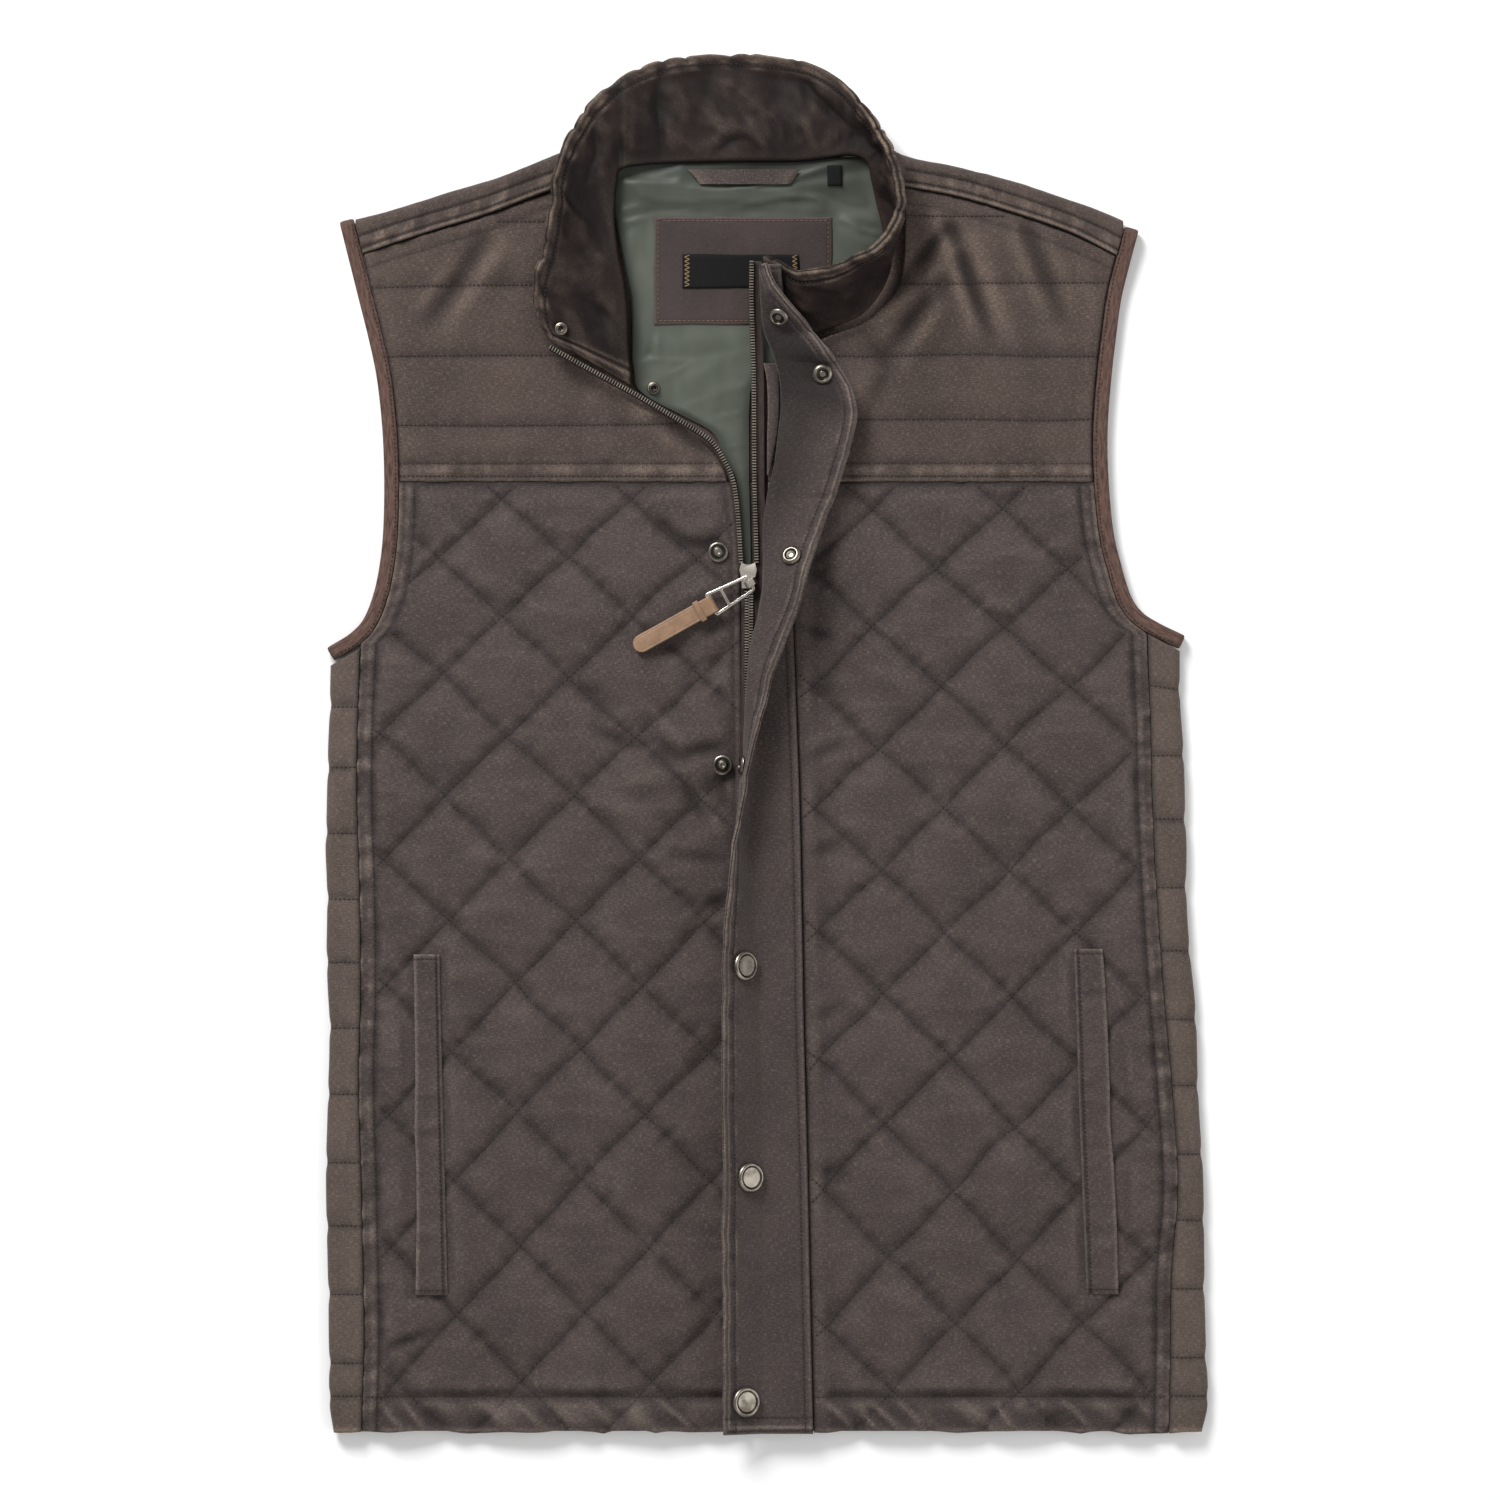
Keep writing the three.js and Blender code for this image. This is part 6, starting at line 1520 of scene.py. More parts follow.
@dataclass
class NeckLining:
    """The satin lining seen in the neck, with soft folds where it is sewn to the collar."""

    name: str = "neck_lining"

    def build(self) -> None:
        """Makes the lining."""
        y = np.linspace(94, 323, 165)[:, None]
        share = np.linspace(0, 1, 90)[None]
        left, right = read(LINING, y, 1), read(LINING, y, 2)
        x = mix(left, right, share)
        yy = y + 0 * x
        rise = fold_rise(LINING_FOLDS, x, yy)
        clear = ease(np.hypot(most(PATCH[0] - x, x - PATCH[1], 0), most(PATCH[2] - yy, yy - PATCH[3], 0)) / 13)
        near = ease(least(x - left, right - x, 323 - yy) / 8)
        soft = 0.35 * RUMPLE.layered(x / 24 + 4, yy / 18, 2) + 0.12 * CREASE.layered(x / 9, yy / 7, 2)
        drawn = CREASE.ridges((x + yy) / 60 + 2, (yy - 0.18 * x) / 9.5) ** 2 - 0.3
        soft = soft + 2.4 * drawn * ease((yy - 272) / 20) + 0.5 * drawn * ease((228 - yy) / 20)
        z = LINING_TOP + np.clip((1.3 * rise + soft) * near * clear, -1.2, 2.2)
        zero = np.zeros_like(z)
        top = np.stack([x, yy, z], 2)
        # Painted shade in the lining's hollows and along its sides, growing towards the collar at the top.
        _, seam_dye_and_shade = shade_hollows_light_crests(top, z, zero, 0.75 * bell(np.minimum(x - left, right - x), 5), 0.8)
        seam_dye_and_shade = np.maximum(seam_dye_and_shade, 0.5 * ease((yy - 276) / 30) + 0.5 * bell(yy - 321, 6))
        made = panel(top, FRONT_BASE - 0.1, zero, seam_dye_and_shade).build("neck_lining_satin", Finish.LINING)
        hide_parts(self.name)


@dataclass
class SewnPatch:
    """A flat piece with a folded edge sewn down on another."""

    name: str
    box: tuple[float, float, float, float]
    base: float
    thickness: float
    finish: Finish
    slot: str
    on: str
    inset: float = 0.0
    edge_wear: float = 0.0

    def build(self, sewing: Sewing | None) -> None:
        """Makes the patch and sews it round."""
        x0, x1, y0, y1 = self.box
        nx, ny = max(int((x1 - x0) / 0.9), 8), max(int((y1 - y0) / 0.9), 8)
        x = np.linspace(x0, x1, nx)[None] + np.zeros((ny, 1))
        y = np.linspace(y0, y1, ny)[:, None] + 0 * x
        edge = least(x - x0, x1 - x, y - y0, y1 - y)
        wave = 0.35 * PUCKER.at(x / 9, y / 9) * (edge < 2)
        x, y = x + wave * (np.minimum(x - x0, x1 - x) < 0.5), y + wave * (np.minimum(y - y0, y1 - y) < 0.5)
        z = self.base + self.thickness * (0.4 + 0.6 * round_over(edge, 0.9))
        if self.inset:
            z = z - 0.3 * bell(edge - self.inset, 0.6) + 0.12 * PUCKER.layered(x / 5, y / 5, 2)
        wear_and_highlight = bell(edge, 0.9) * self.edge_wear
        # Painted shade along the sunken stitch line.
        seam_dye_and_shade = bell(edge - self.inset, 0.6) * 0.4 if self.inset else 0 * z
        made = panel(np.stack([x, y, z], 2), self.base - 0.1, wear_and_highlight, seam_dye_and_shade)
        made = made.build(self.name + "_cloth", self.finish)
        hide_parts(self.name)
        if sewing and self.inset:
            d, top = self.inset, self.base + self.thickness - 0.1
            corners = [(x0 + d, y0 + d, top), (x1 - d, y0 + d, top), (x1 - d, y1 - d, top), (x0 + d, y1 - d, top)]
            for a, b in zip(corners, corners[1:] + corners[:1]):
                sewing.seam(np.array([a, b]))


def zigzag(sewing: Sewing, x: float, y0: float, y1: float, width: float, z: float) -> None:
    """Sews a close zigzag along a label's end."""
    sides = (-width / 2, width / 2)
    corners = [(x + sides[k % 2], y, z) for k, y in enumerate(np.arange(y0, y1, 1.15))]
    for a, b in zip(corners, corners[1:]):
        way = np.subtract(b, a) * 0.4 / math.dist(a, b)
        sewing.seam(np.array([np.array(a) - way, np.array(b) + way]))


@dataclass
class Strip:
    """A narrow folded band of shell cloth along a short table: y, x of its two edges, z of its underside."""

    name: str
    table: Table
    thickness: float
    flat: tuple[float, float]
    on: str
    area: float

    def build(self) -> None:
        """Makes the band."""
        y = np.linspace(self.table[0][0], self.table[-1][0], 60)[:, None]
        share = np.linspace(0, 1, 14)[None]
        x = mix(read(self.table, y, 1), read(self.table, y, 2), share)
        low = read(self.table, y, 3) + 0 * x
        yy = y + 0 * x
        curve = np.sqrt(1 - (2 * share - 1) ** 2 * 0.92)
        high = low + self.thickness * curve + 0.15 * PUCKER.layered(x / 8, yy / 6, 2)
        outer, inner = np.stack([x, yy, high], 2), np.stack([x, yy, low], 2)
        wear_and_highlight = 0.6 * np.abs(2 * share - 1) ** 8 + 0 * x
        made = shell(outer, inner, outer[..., :2], wear_and_highlight, 0 * x).build(self.name + "_cloth", Finish.SHELL)
        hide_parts(self.name)


COLLAR = [
    (-76, 196.5, 13.5, -121.5, 223.5, 18, 0.2), (-77, 213, 13.4, -128, 232.5, 22, 0.5),
    (-77.5, 228.5, 13.3, -130, 245, 25, 0.7), (-78, 241, 13.3, -128, 260, 27, 0.9),
    (-80, 256, 13.3, -124.5, 272, 28, 1), (-83, 269, 13.3, -122, 284.5, 29, 1),
    (-85, 284.5, 13.3, -120.5, 301, 29, 1), (-85, 297, 13.2, -119.5, 312, 28, 1),
    (-84, 308, 12, -115.5, 324.5, 25, 0.8), (-82, 315.5, 9.6, -109, 337, 20, 0.6),
    (-70, 318.3, 7, -99, 352.5, 15, 0.4), (-49.5, 319.5, 6, -81.5, 367.5, 9, 0.2),
    (-33, 319.8, 5.8, -58, 377, 5, 0), (-14, 320, 5.8, -33, 380, 3.6, 0), (5.5, 320, 5.8, -5.5, 379.5, 3.6, 0),
    (19, 320.5, 5.9, 19, 375.5, 5, 0), (31.5, 322, 6.2, 37.5, 366, 9, 0.2), (42, 323.5, 7, 50.5, 352, 16, 0.5),
    (50, 322.5, 7.8, 60, 338, 25, 0.8), (54.5, 318.5, 8.3, 66, 324, 34, 1), (56.5, 310, 9, 70, 311, 41, 1),
    (59.5, 297, 9, 71.5, 297, 45, 1), (63.5, 281.5, 9, 67.5, 284.5, 47, 1), (64.5, 264, 9, 58.5, 272, 46, 1),
    (59, 248.5, 9, 44, 265.5, 44, 1), (48, 236, 9, 28.5, 261, 38, 1), (28.5, 228, 9, 15, 260, 31, 0.8),
    (15, 221.5, 9, 4.5, 265.5, 25, 0.5), (2.5, 214.5, 9.5, -3, 269, 20, 0.2),
]


@dataclass
class Collar:
    """The padded stand-up collar, with its edge topstitched and puckered."""

    name: str = "collar"
    thickness: float = 5.0
    bulge: float = 3.0
    rows: int = 440
    columns: int = 44
    stitch: float = 6.5

    def middle(self) -> Array:
        """The middle layer's points: rows along the collar, columns from the neck seam to the top edge."""
        neck = catmull(COLLAR, (0, 1, 2), self.rows)
        top = catmull(COLLAR, (3, 4, 5), self.rows)
        share = np.clip(catmull(COLLAR, (6,), self.rows), 0, 1)
        out = unit(np.cross(unit(top - neck), unit(np.gradient(neck, axis=0))))
        w = np.linspace(0, 1, self.columns)
        lift = (self.bulge * share * np.sin(math.pi * w))[..., None]
        w = w[None, :, None]
        return neck[:, None] * (1 - w) + top[:, None] * w + out[:, None] * lift

    def build(self, sewing: Sewing) -> None:
        """Makes the collar and sews round its edge."""
        grid = self.middle()
        run = np.concatenate([[0], np.cumsum(np.linalg.norm(np.diff(grid[:, -1], axis=0), axis=1))])[:, None]
        width = np.linalg.norm(grid[:, -1] - grid[:, 0], axis=1)[:, None]
        w = np.linspace(0, 1, self.columns)[None]
        from_top = (1 - w) * width
        from_seam = w * width
        from_end = np.minimum(run, run[-1] - run) + 0 * w
        free = np.minimum(from_top, from_end)
        stitched = bell(free - self.stitch, 0.9)
        puckers = PUCKER.layered(run / 7, free / 22, 2) * bell(free, 13)
        pinch = CREASE.ridges(run / 13, 0 * run + 1.5) ** 2
        roll = bell(free - 2.8, 2.4)
        creased = CREASE.ridges(run / 25 + from_top / 40, from_top / 36) - 0.35
        body = 2.8 * RUMPLE.layered(run / 21, from_top / 22, 3) + 2.6 * creased
        seam_line = bell(from_seam, 1.6)
        thick = self.thickness * (1 - 0.2 * seam_line) - 1.2 * stitched + 0.5 * roll - 1.0 * pinch * bell(free, 5)
        rounded = np.minimum(1, 0.5 + 0.5 * round_over(free, 1.2))
        rounded = np.minimum(rounded, 0.45 + 0.55 * round_over(from_seam, 2.0))
        thick = np.maximum(thick * rounded, 0.8)
        out = normals(grid)
        fade = ease(np.minimum(from_seam, 12) / 12) * ease(0.25 + from_top / 16)
        shift = 0.9 * puckers + body * fade * (1 - 0.4 * stitched)
        low_run = grid[..., 0] + 83
        dip = ease(low_run / 3.0) * ease((grid[..., 1] - 306) / 12) * np.exp(-np.maximum(low_run, 0) / 14)
        shift = shift - 2.4 * dip
        across = unit(grid[:, -1:] - grid[:, :1])
        scallop = (0.9 * PUCKER.at(run / 8, 0 * run + 3.5) - 1.6 * pinch) * bell(from_top, 6)
        middle = grid + out * shift[..., None] + across * scallop[..., None]
        outer, inner = middle + out * (thick / 2)[..., None], middle - out * (thick / 2)[..., None]
        outer[..., 2] = np.maximum(outer[..., 2], 0.6)
        inner[..., 2] = np.maximum(inner[..., 2], 0.6)
        wear_and_highlight = bell(free, 0.8) * (0.7 + 0.4 * PUCKER.at(run / 9, 0 * run))
        inside = bell(free - self.stitch + 2.0, 1.2) * 0.35 + bell(free - self.stitch - 1.6, 0.9) * 0.25
        wear_and_highlight = np.maximum(wear_and_highlight, inside * np.clip(0.3 + 1.0 * PUCKER.at(run / 6, 5 + 0 * run), 0, 1))
        # Painted shade along the stitching, the neck seam and the pinches at the edge.
        seam_dye_and_shade = np.maximum(stitched * 0.7, seam_line * 0.6)
        seam_dye_and_shade = np.maximum(seam_dye_and_shade, np.clip(pinch - 0.3, 0, 1) * bell(free, 9) * 0.8)
        facing = np.sign(out[..., 2])
        wear_and_highlight, seam_dye_and_shade = shade_hollows_light_crests(middle, facing * shift + thick / 2, wear_and_highlight, seam_dye_and_shade, 0.6, 0.13)
        # Broad patches of painted shade over the free part stand for the shade of folds.
        cloud = 0.16 + 0.75 * RUMPLE.layered(run / 26 + from_top / 30, from_top / 44 + 6, 3)
        seam_dye_and_shade = 1 - (1 - seam_dye_and_shade) * (1 - np.clip(cloud, 0, 0.6) * ease((free - 6) / 6))
        # A painted shadow along the step at the back, and painted shade in the hollow at the collar's front end.
        step_shadow = 0.75 * bell(grid[..., 0] + 80, 3.5) * ease((grid[..., 1] - 314) / 8)
        front_end_shade = 0.9 * np.exp(-(((run[-1] - run) / 17) ** 4)) * ease((from_top - 8) / 10)
        seam_dye_and_shade = np.clip(most(seam_dye_and_shade, step_shadow, front_end_shade), 0, 1)
        coords = np.stack([run + 0 * w, from_seam], 2)[..., ::-1]
        made = shell(outer, inner, coords, wear_and_highlight, seam_dye_and_shade, 0.9).build("collar_cloth", Finish.COLLAR)
        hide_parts(self.name)
        column = [int(np.argmin(np.abs(from_top[j] - self.stitch))) for j in range(self.rows)]
        j = np.arange(self.rows)
        for face, sign in ((outer, 1), (inner, -1)):
            sewing.seam(face[j, column] + out[j, column] * (0.15 * sign))


FLAP = [
    (-378, 23.7, 11.4, -8.8, 5, -25.5, 51.9), (-300, 22, 11.4, -7.9, 5, -26, 51.6),
    (-237, 20.7, 11.4, -7, 5, -26, 51.2), (-180, 19.2, 11.4, -8.5, 5, -26.3, 51),
    (-140, 18.2, 11.4, -9.5, 5, -26.3, 50.8), (-121, 18, 11.4, -9.8, 5, -26, 50.5),
    (-100, 17.6, 11.4, -11.4, 5, -24.8, 50.2), (-80, 17.2, 11.4, -13.1, 5, -23, 49.7),
    (-62, 16.9, 11.4, -14.6, 5, -20.8, 49.3), (-41, 16.4, 11.4, -16.8, 7, -16.6, 49.6),
    (-24, 16, 11.4, -15.4, 7, -13.2, 49.6), (-8, 15.4, 11.4, -14, 7, -10.5, 49.6),
    (8, 14.8, 11.4, -13.2, 7, -6.5, 49.6), (22, 14.2, 11.4, -12.7, 7, -2.8, 49.6),
    (38, 13.7, 11.4, -11.8, 7, 1.5, 49.6), (54, 13, 11.4, -9.9, 7, 7.5, 49.6),
    (70, 12.6, 11.4, -6.1, 7, 14, 49.6), (86, 12.2, 11.4, -3.3, 7, 19, 49.6), (102, 11.7, 11.4, -3.3, 5.5, 23.5, 49.6),
    (118, 11.2, 11.4, -3.3, 3.4, 29.5, 50.6), (135, 10.7, 11.4, -0.8, 2.4, 35.5, 50.5),
    (152, 10.4, 11.4, 2.7, 2.2, 41, 48.8), (170, 10.6, 11.5, 5.5, 2.2, 46, 48.4),
    (182, 10.8, 11.8, 6.6, 2.2, 48, 48.4), (195, 10.4, 12.6, 6.6, 2.4, 45.5, 45.6),
    (206, 9.6, 13.8, 5, 2.4, 40.5, 42), (216, 9, 16, 2, 2.4, 32.5, 41), (228, 8.6, 18.8, -2.6, 2.4, 22.5, 39),
    (242, 7.8, 23.6, -4.2, 2.4, 10.5, 32), (252, 6.8, 26.8, -4.6, 2.4, 2.6, 25), (263, 6, 29, -5, 2.2, -2.4, 20),
]


@dataclass
class Flap:
    """The flap over the zip: sewn at the left front, closed towards the hem and rolled back above."""

    name: str = "flap"
    thickness: float = 2.2
    rows: int = 360
    columns: int = 50
    stitch: float = 7.0
    foot_stitch: float = 8.5
    seam_stitch: float = 4.4

    def points(self, y: Array, way: Array) -> Array:
        """Points of the middle layer.

        Args:
            y: heights on the vest, one a row.
            way: distance along the cloth from the seam, the same shape or broadcast to it.

        Returns:
            The points.
        """
        value = [read(FLAP, y, c) for c in range(1, 7)]
        seam_x, seam_z, roll_x, radius, edge_x, width = value
        flat = seam_x - roll_x - radius

        def place(turn: Array, at: Array) -> Array:
            """The point at a distance along the cloth, for a roll through the given turn."""
            angle = np.clip((at - flat) / radius, 0, turn)
            rest = np.maximum(at - flat - radius * turn, 0)
            x = seam_x - np.minimum(at, flat) - radius * np.sin(angle) - rest * np.cos(turn)
            z = seam_z + radius * (1 - np.cos(angle)) + rest * np.sin(turn)
            return np.stack(np.broadcast_arrays(x, y + 0 * x, z), -1)

        low, high = np.zeros_like(width), np.full_like(width, math.pi)
        for _ in range(36):
            turn = (low + high) / 2
            short = place(turn, width)[..., 0] < edge_x
            low, high = np.where(short, turn, low), np.where(short, high, turn)
        return place((low + high) / 2, way)

    def build(self, sewing: Sewing) -> None:
        """Makes the flap and sews its edges."""
        y = np.linspace(FLAP[0][0], FLAP[-1][0], self.rows)[:, None]
        width = read(FLAP, y, 6)
        share = np.linspace(0, 1, self.columns)[None]
        way = width * share
        grid = self.points(y, way)
        from_edge, from_seam = width - way, way
        from_foot, from_head = y - y[0] + 0 * way, y[-1] - y + 0 * way
        free = least(from_edge, from_foot * 0.9, from_head)
        stitched = bell(from_edge - self.stitch, 0.8) + bell(from_foot - self.foot_stitch, 0.9)
        stitched = np.clip(stitched + bell(from_seam - self.seam_stitch, 0.8), 0, 1)
        puckers = PUCKER.layered(y / 7.5, from_edge / 25, 2) * bell(from_edge, 12)
        puckers = puckers + PUCKER.layered(y / 7 + 50, from_seam / 20, 2) * bell(from_seam, 9)
        drag = CREASE.ridges(y / 13 + from_edge / 30, from_edge / 60) * bell(from_edge - 4, 12)
        body = 0.55 * RUMPLE.layered(way / 24 + 9, y / 17, 3)
        out = normals(grid)
        shift = (0.6 * puckers + 1.3 * body + 0.8 * drag) * ease(free / 2 + 0.4) * ease(from_seam / 8)
        edge_wave = 0.5 * CREASE.at(y / 19, 0 * y) * bell(from_edge, 3)
        pinch = CREASE.ridges(y / 17, 0 * y + 3.5) ** 2
        tangent = np.gradient(grid, axis=1)
        tangent /= np.maximum(np.linalg.norm(tangent, axis=2, keepdims=True), 1e-6)
        scallop = (0.5 * PUCKER.at(y / 9, 0 * y + 8.5) - 0.8 * pinch) * bell(from_edge, 6)
        middle = grid + out * (shift + edge_wave)[..., None] + tangent * scallop[..., None]
        thick = self.thickness - 0.75 * stitched + 0.45 * bell(free - 2.6, 2.2)
        rounded = 0.55 + 0.45 * round_over(free, 1.0)
        thick = np.maximum(thick * rounded, 0.6)[..., None]
        outer, inner = middle + out * thick / 2, middle - out * thick / 2
        wear_and_highlight = bell(free, 0.8) + bell(free - 2.9, 0.75) * 0.75
        wear_and_highlight = wear_and_highlight * (0.8 + 0.3 * PUCKER.at(y / 12, 0 * y))
        inside = bell(from_edge - self.stitch - 1.3, 0.8)
        wear_and_highlight = np.maximum(wear_and_highlight, inside * 0.4 * np.clip(0.3 + 1.0 * PUCKER.at(y / 6, 7 + 0 * y), 0, 1))
        wear_and_highlight = np.maximum(wear_and_highlight, bell(from_seam - 1.2, 0.8) * 0.25)
        # Painted shade along the stitching, the seam and the gap between the layers at the edge.
        seam_dye_and_shade = np.clip(stitched * 0.3 + bell(from_seam, 0.7) * 0.5 + bell(free - 1.75, 0.5) * 0.75, 0, 1)
        # Painted shade over the whole flap, more on its upper inner part and on a band of puckers by the edge.
        inner_shade = ease((from_edge - 12) / 22) * ease((y - 90) / 60)
        rungs = np.clip(0.3 + 0.8 * PUCKER.layered(y / 3.4, from_edge / 30, 2), 0, 0.6)
        ladder = bell(from_edge - 5.2, 2.2) * rungs
        seam_dye_and_shade = np.clip(seam_dye_and_shade + 0.08 + 0.6 * inner_shade + 0.6 * ladder, 0, 1)
        # Painted shade in the hollow under the rolled top, by the collar.
        sheltered = 0.85 * ease((y - 166) / 30) * (1 - 0.35 * ease((y - 224) / 10))
        seam_dye_and_shade = np.maximum(seam_dye_and_shade, sheltered * ease((from_edge - 3) / 8))
        relief = np.sign(out[..., 2]) * (shift + edge_wave) + thick[..., 0] / 2
        wear_and_highlight, seam_dye_and_shade = shade_hollows_light_crests(middle, relief, wear_and_highlight, seam_dye_and_shade, 0.4, 0.14)
        coords = np.stack([way + 0 * y, y + 0 * way], 2)
        made = shell(outer, inner, coords, wear_and_highlight, seam_dye_and_shade, 0.7).build("flap_cloth", Finish.SHELL)
        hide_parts(self.name)
        j = np.arange(self.rows)
        for away in (from_edge - self.stitch, from_seam - self.seam_stitch):
            column = np.argmin(np.abs(away), axis=1)
            for face, sign in ((outer, 1), (inner, -1)):
                sewing.seam(face[j, column] + out[j, column] * (0.12 * sign))
        row = int(np.argmin(np.abs(from_foot[:, 0] - self.foot_stitch)))
        sewing.seam(inner[row] - out[row] * 0.12)

    def place(self, y: float, from_edge: float) -> tuple[Array, Array]:
        """A place for a snap: the middle layer's point and the direction out of the outer face."""
        at = lambda level, shift: self.points(level, read(FLAP, level, 6) - from_edge + shift)
        along = at(y, 3.0) - at(y, -3.0)
        upward = at(y + 5.0, 0.0) - at(y - 5.0, 0.0)
        out = np.cross(upward, along)
        return at(y, 0.0), out / np.linalg.norm(out)


ZIP_RIGHT = [
    (-120.5, 218, 19), (-104.5, 209, 18), (-88, 200, 16.5), (-74, 192.5, 14), (-62, 185.5, 12),
    (-48.5, 177.5, 10.5), (-33, 167.5, 9.2), (-25, 156, 8.4), (-20, 144, 7.8), (-17.5, 124, 7.2), (-16, 100.4, 7),
]
ZIP_LEFT = [
    (-10, 265, 20), (-10.2, 245, 16.5), (-9.4, 220, 11.5), (-9, 206, 9.6), (-8.8, 190, 8.4), (-8.6, 146, 7.6),
    (-8, 124, 7.2), (-7.4, 100.4, 7),
]
ZIP_FOOT_Y = -352.0
ZIP_PITCH = 1.53


@dataclass
class ZipSide:
    """One side of the zip: its tape, and its teeth clamped to the tape's cord one by one."""

    name: str
    table: Table
    foot_x: float
    low: float
    high: float
    sign: int

    def tape(self) -> None:
        """Makes the tape, on past the slider to the foot."""
        run = [*self.table] + [(self.foot_x, y, 6.8) for y in (84, 0, -100, -200, -280, ZIP_FOOT_Y)]
        points = resample(run, 300)
        ahead = np.gradient(points, axis=0)
        ahead[:, 2] = 0
        ahead = unit(ahead)
        side = np.stack([-ahead[:, 1], ahead[:, 0], 0 * ahead[:, 0]], 1)
        way = np.linspace(self.low, self.high, 13)
        cord = 0.5 * bell(way, 0.8)
        grid = points[:, None] + side[:, None] * way[None, :, None]
        wave = 0.12 * PUCKER.at(np.arange(300)[:, None] / 2.1, way[None])
        outer, inner = grid.copy(), grid.copy()
        outer[..., 2] += 0.75 + cord + wave
        coords = np.stack([way[None] + 0 * wave, np.arange(300)[:, None] * 2.03 + 0 * wave], 2)
        made = shell(outer, inner, coords, 0 * wave, 0 * wave, flip=True)
        made = made.build("zip_tape_" + self.name + "_woven", Finish.ZIP_TAPE)
        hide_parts("zip_tape_" + self.name)

    def teeth(self) -> None:
        """Makes the open row of teeth."""
        length = np.linalg.norm(np.diff(resample(self.table, 400), axis=0), axis=1).sum()
        points = resample(self.table, int(length / ZIP_PITCH))
        ahead = unit(np.gradient(points, axis=0))
        made = Teeth(points + [0, 0, 1.15], ahead, self.sign).build("zip_teeth_" + self.name + "_metal")
        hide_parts("zip_teeth_" + self.name)


@dataclass
class Teeth:
    """Stamped zip teeth: legs clamped on the cord, a waist and a rounded head."""

    points: Array
    ahead: Array
    sign: int
    outline: tuple = (
        (-1.4, -0.42), (-0.2, -0.42), (0.5, -0.32), (0.95, -0.45), (1.3, -0.32), (1.4, 0.0),
        (1.3, 0.32), (0.95, 0.45), (0.5, 0.32), (-0.2, 0.42), (-1.4, 0.42),
    )

    def mesh(self) -> Cloth:
        """The teeth's points and faces."""
        shape = np.array(self.outline)
        n = len(shape)
        layers = [(0.0, 0.86), (0.25, 1.0), (1.55, 1.0), (1.95, 0.8)]
        points, faces = [], []
        for p, run in zip(self.points, self.ahead):
            side = np.cross([0, 0, 1.0], run) * self.sign
            side /= np.linalg.norm(side)
            up = np.cross(run, side) * self.sign
            start = len(points) * n
            for z, size in layers:
                points.append(p + side * (shape[:, :1] * size) + run * (shape[:, 1:] * size) + up * z)
            faces += grid_faces(len(layers), n, start, self.sign < 0, True).tolist()
            faces.append(list(range(start + 3 * n, start + 4 * n))[:: self.sign])
        return bare(np.concatenate(points), faces)

    def build(self, name: str) -> bpy.types.Object:
        """Makes the row of teeth."""
        made = self.mesh().build(name, Finish.TEETH, smooth=False)
        return made


def closed_chain() -> None:
    """Makes the closed chain below the slider, teeth from the two sides in turn."""
    y = np.arange(85.0, ZIP_FOOT_Y, -ZIP_PITCH)
    x = -11.6 + 0.6 * np.clip(-(y + 100) / 252, 0, 1)
    down = np.tile([0.0, -1.0, 0.0], (len(y), 1))
    one = Teeth(np.stack([x + 1.15, y, 0 * y + 7.9], 1), down, -1).mesh()
    two = Teeth(np.stack([x - 1.15, y - ZIP_PITCH / 2, 0 * y + 7.9], 1), down, 1).mesh()
    faces = one.faces + [[k + len(one.points) for k in face] for face in two.faces]
    both = bare(np.concatenate([one.points, two.points]), faces)
    made = both.build("zip_teeth_closed_metal", Finish.TEETH, smooth=False)
    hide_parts("zip_teeth_closed")


@dataclass(frozen=True)
class Turned:
    """A part turned round its axis.

    Its profile gives radius and height from the base to the top's middle, and hollow the radii of its dip, where shade
    is painted dark.
    """

    profile: tuple
    hollow: tuple[float, float] = (0.0, 0.0)
    around: int = 56

    def build(self, node: str, point: Array, out: Array) -> None:
        """Makes the part on its seat.

        Args:
            node: the solid that it stands for.
            point: the seat.
            out: the axis.
        """
        out = np.asarray(out, float) / np.linalg.norm(out)
        side = np.cross(out, [0.3, 0.9, 0.2])
        side /= np.linalg.norm(side)
        other = np.cross(out, side)
        angle = np.linspace(0, 2 * math.pi, self.around, endpoint=False)
        points = []
        for radius, height in self.profile:
            spread = np.cos(angle)[:, None] * side + np.sin(angle)[:, None] * other
            points.append(np.asarray(point) + out * height + spread * max(radius, 0.01))
        n, count = self.around, len(self.profile)
        faces = grid_faces(count, n, around=True).tolist()
        faces += [list(range(n))[::-1], list(range((count - 1) * n, count * n))]
        all_points = np.concatenate(points)
        radii = np.repeat([radius for radius, _ in self.profile], n)
        # Painted shade inside the dip.
        dip_shade = np.where((radii >= self.hollow[0]) & (radii < self.hollow[1]), 0.9, 0.0)
        made = Cloth(all_points, faces, all_points[:, :2], 0 * dip_shade, dip_shade).build(node + "_metal", Finish.SILVER)
        bevel = made.modifiers.new("edges", "BEVEL")
        bevel.width, bevel.segments = 0.12 * MM, 2
        bevel.limit_method, bevel.angle_limit = "ANGLE", math.radians(35)
        apply_modifiers(made)
        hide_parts(node)


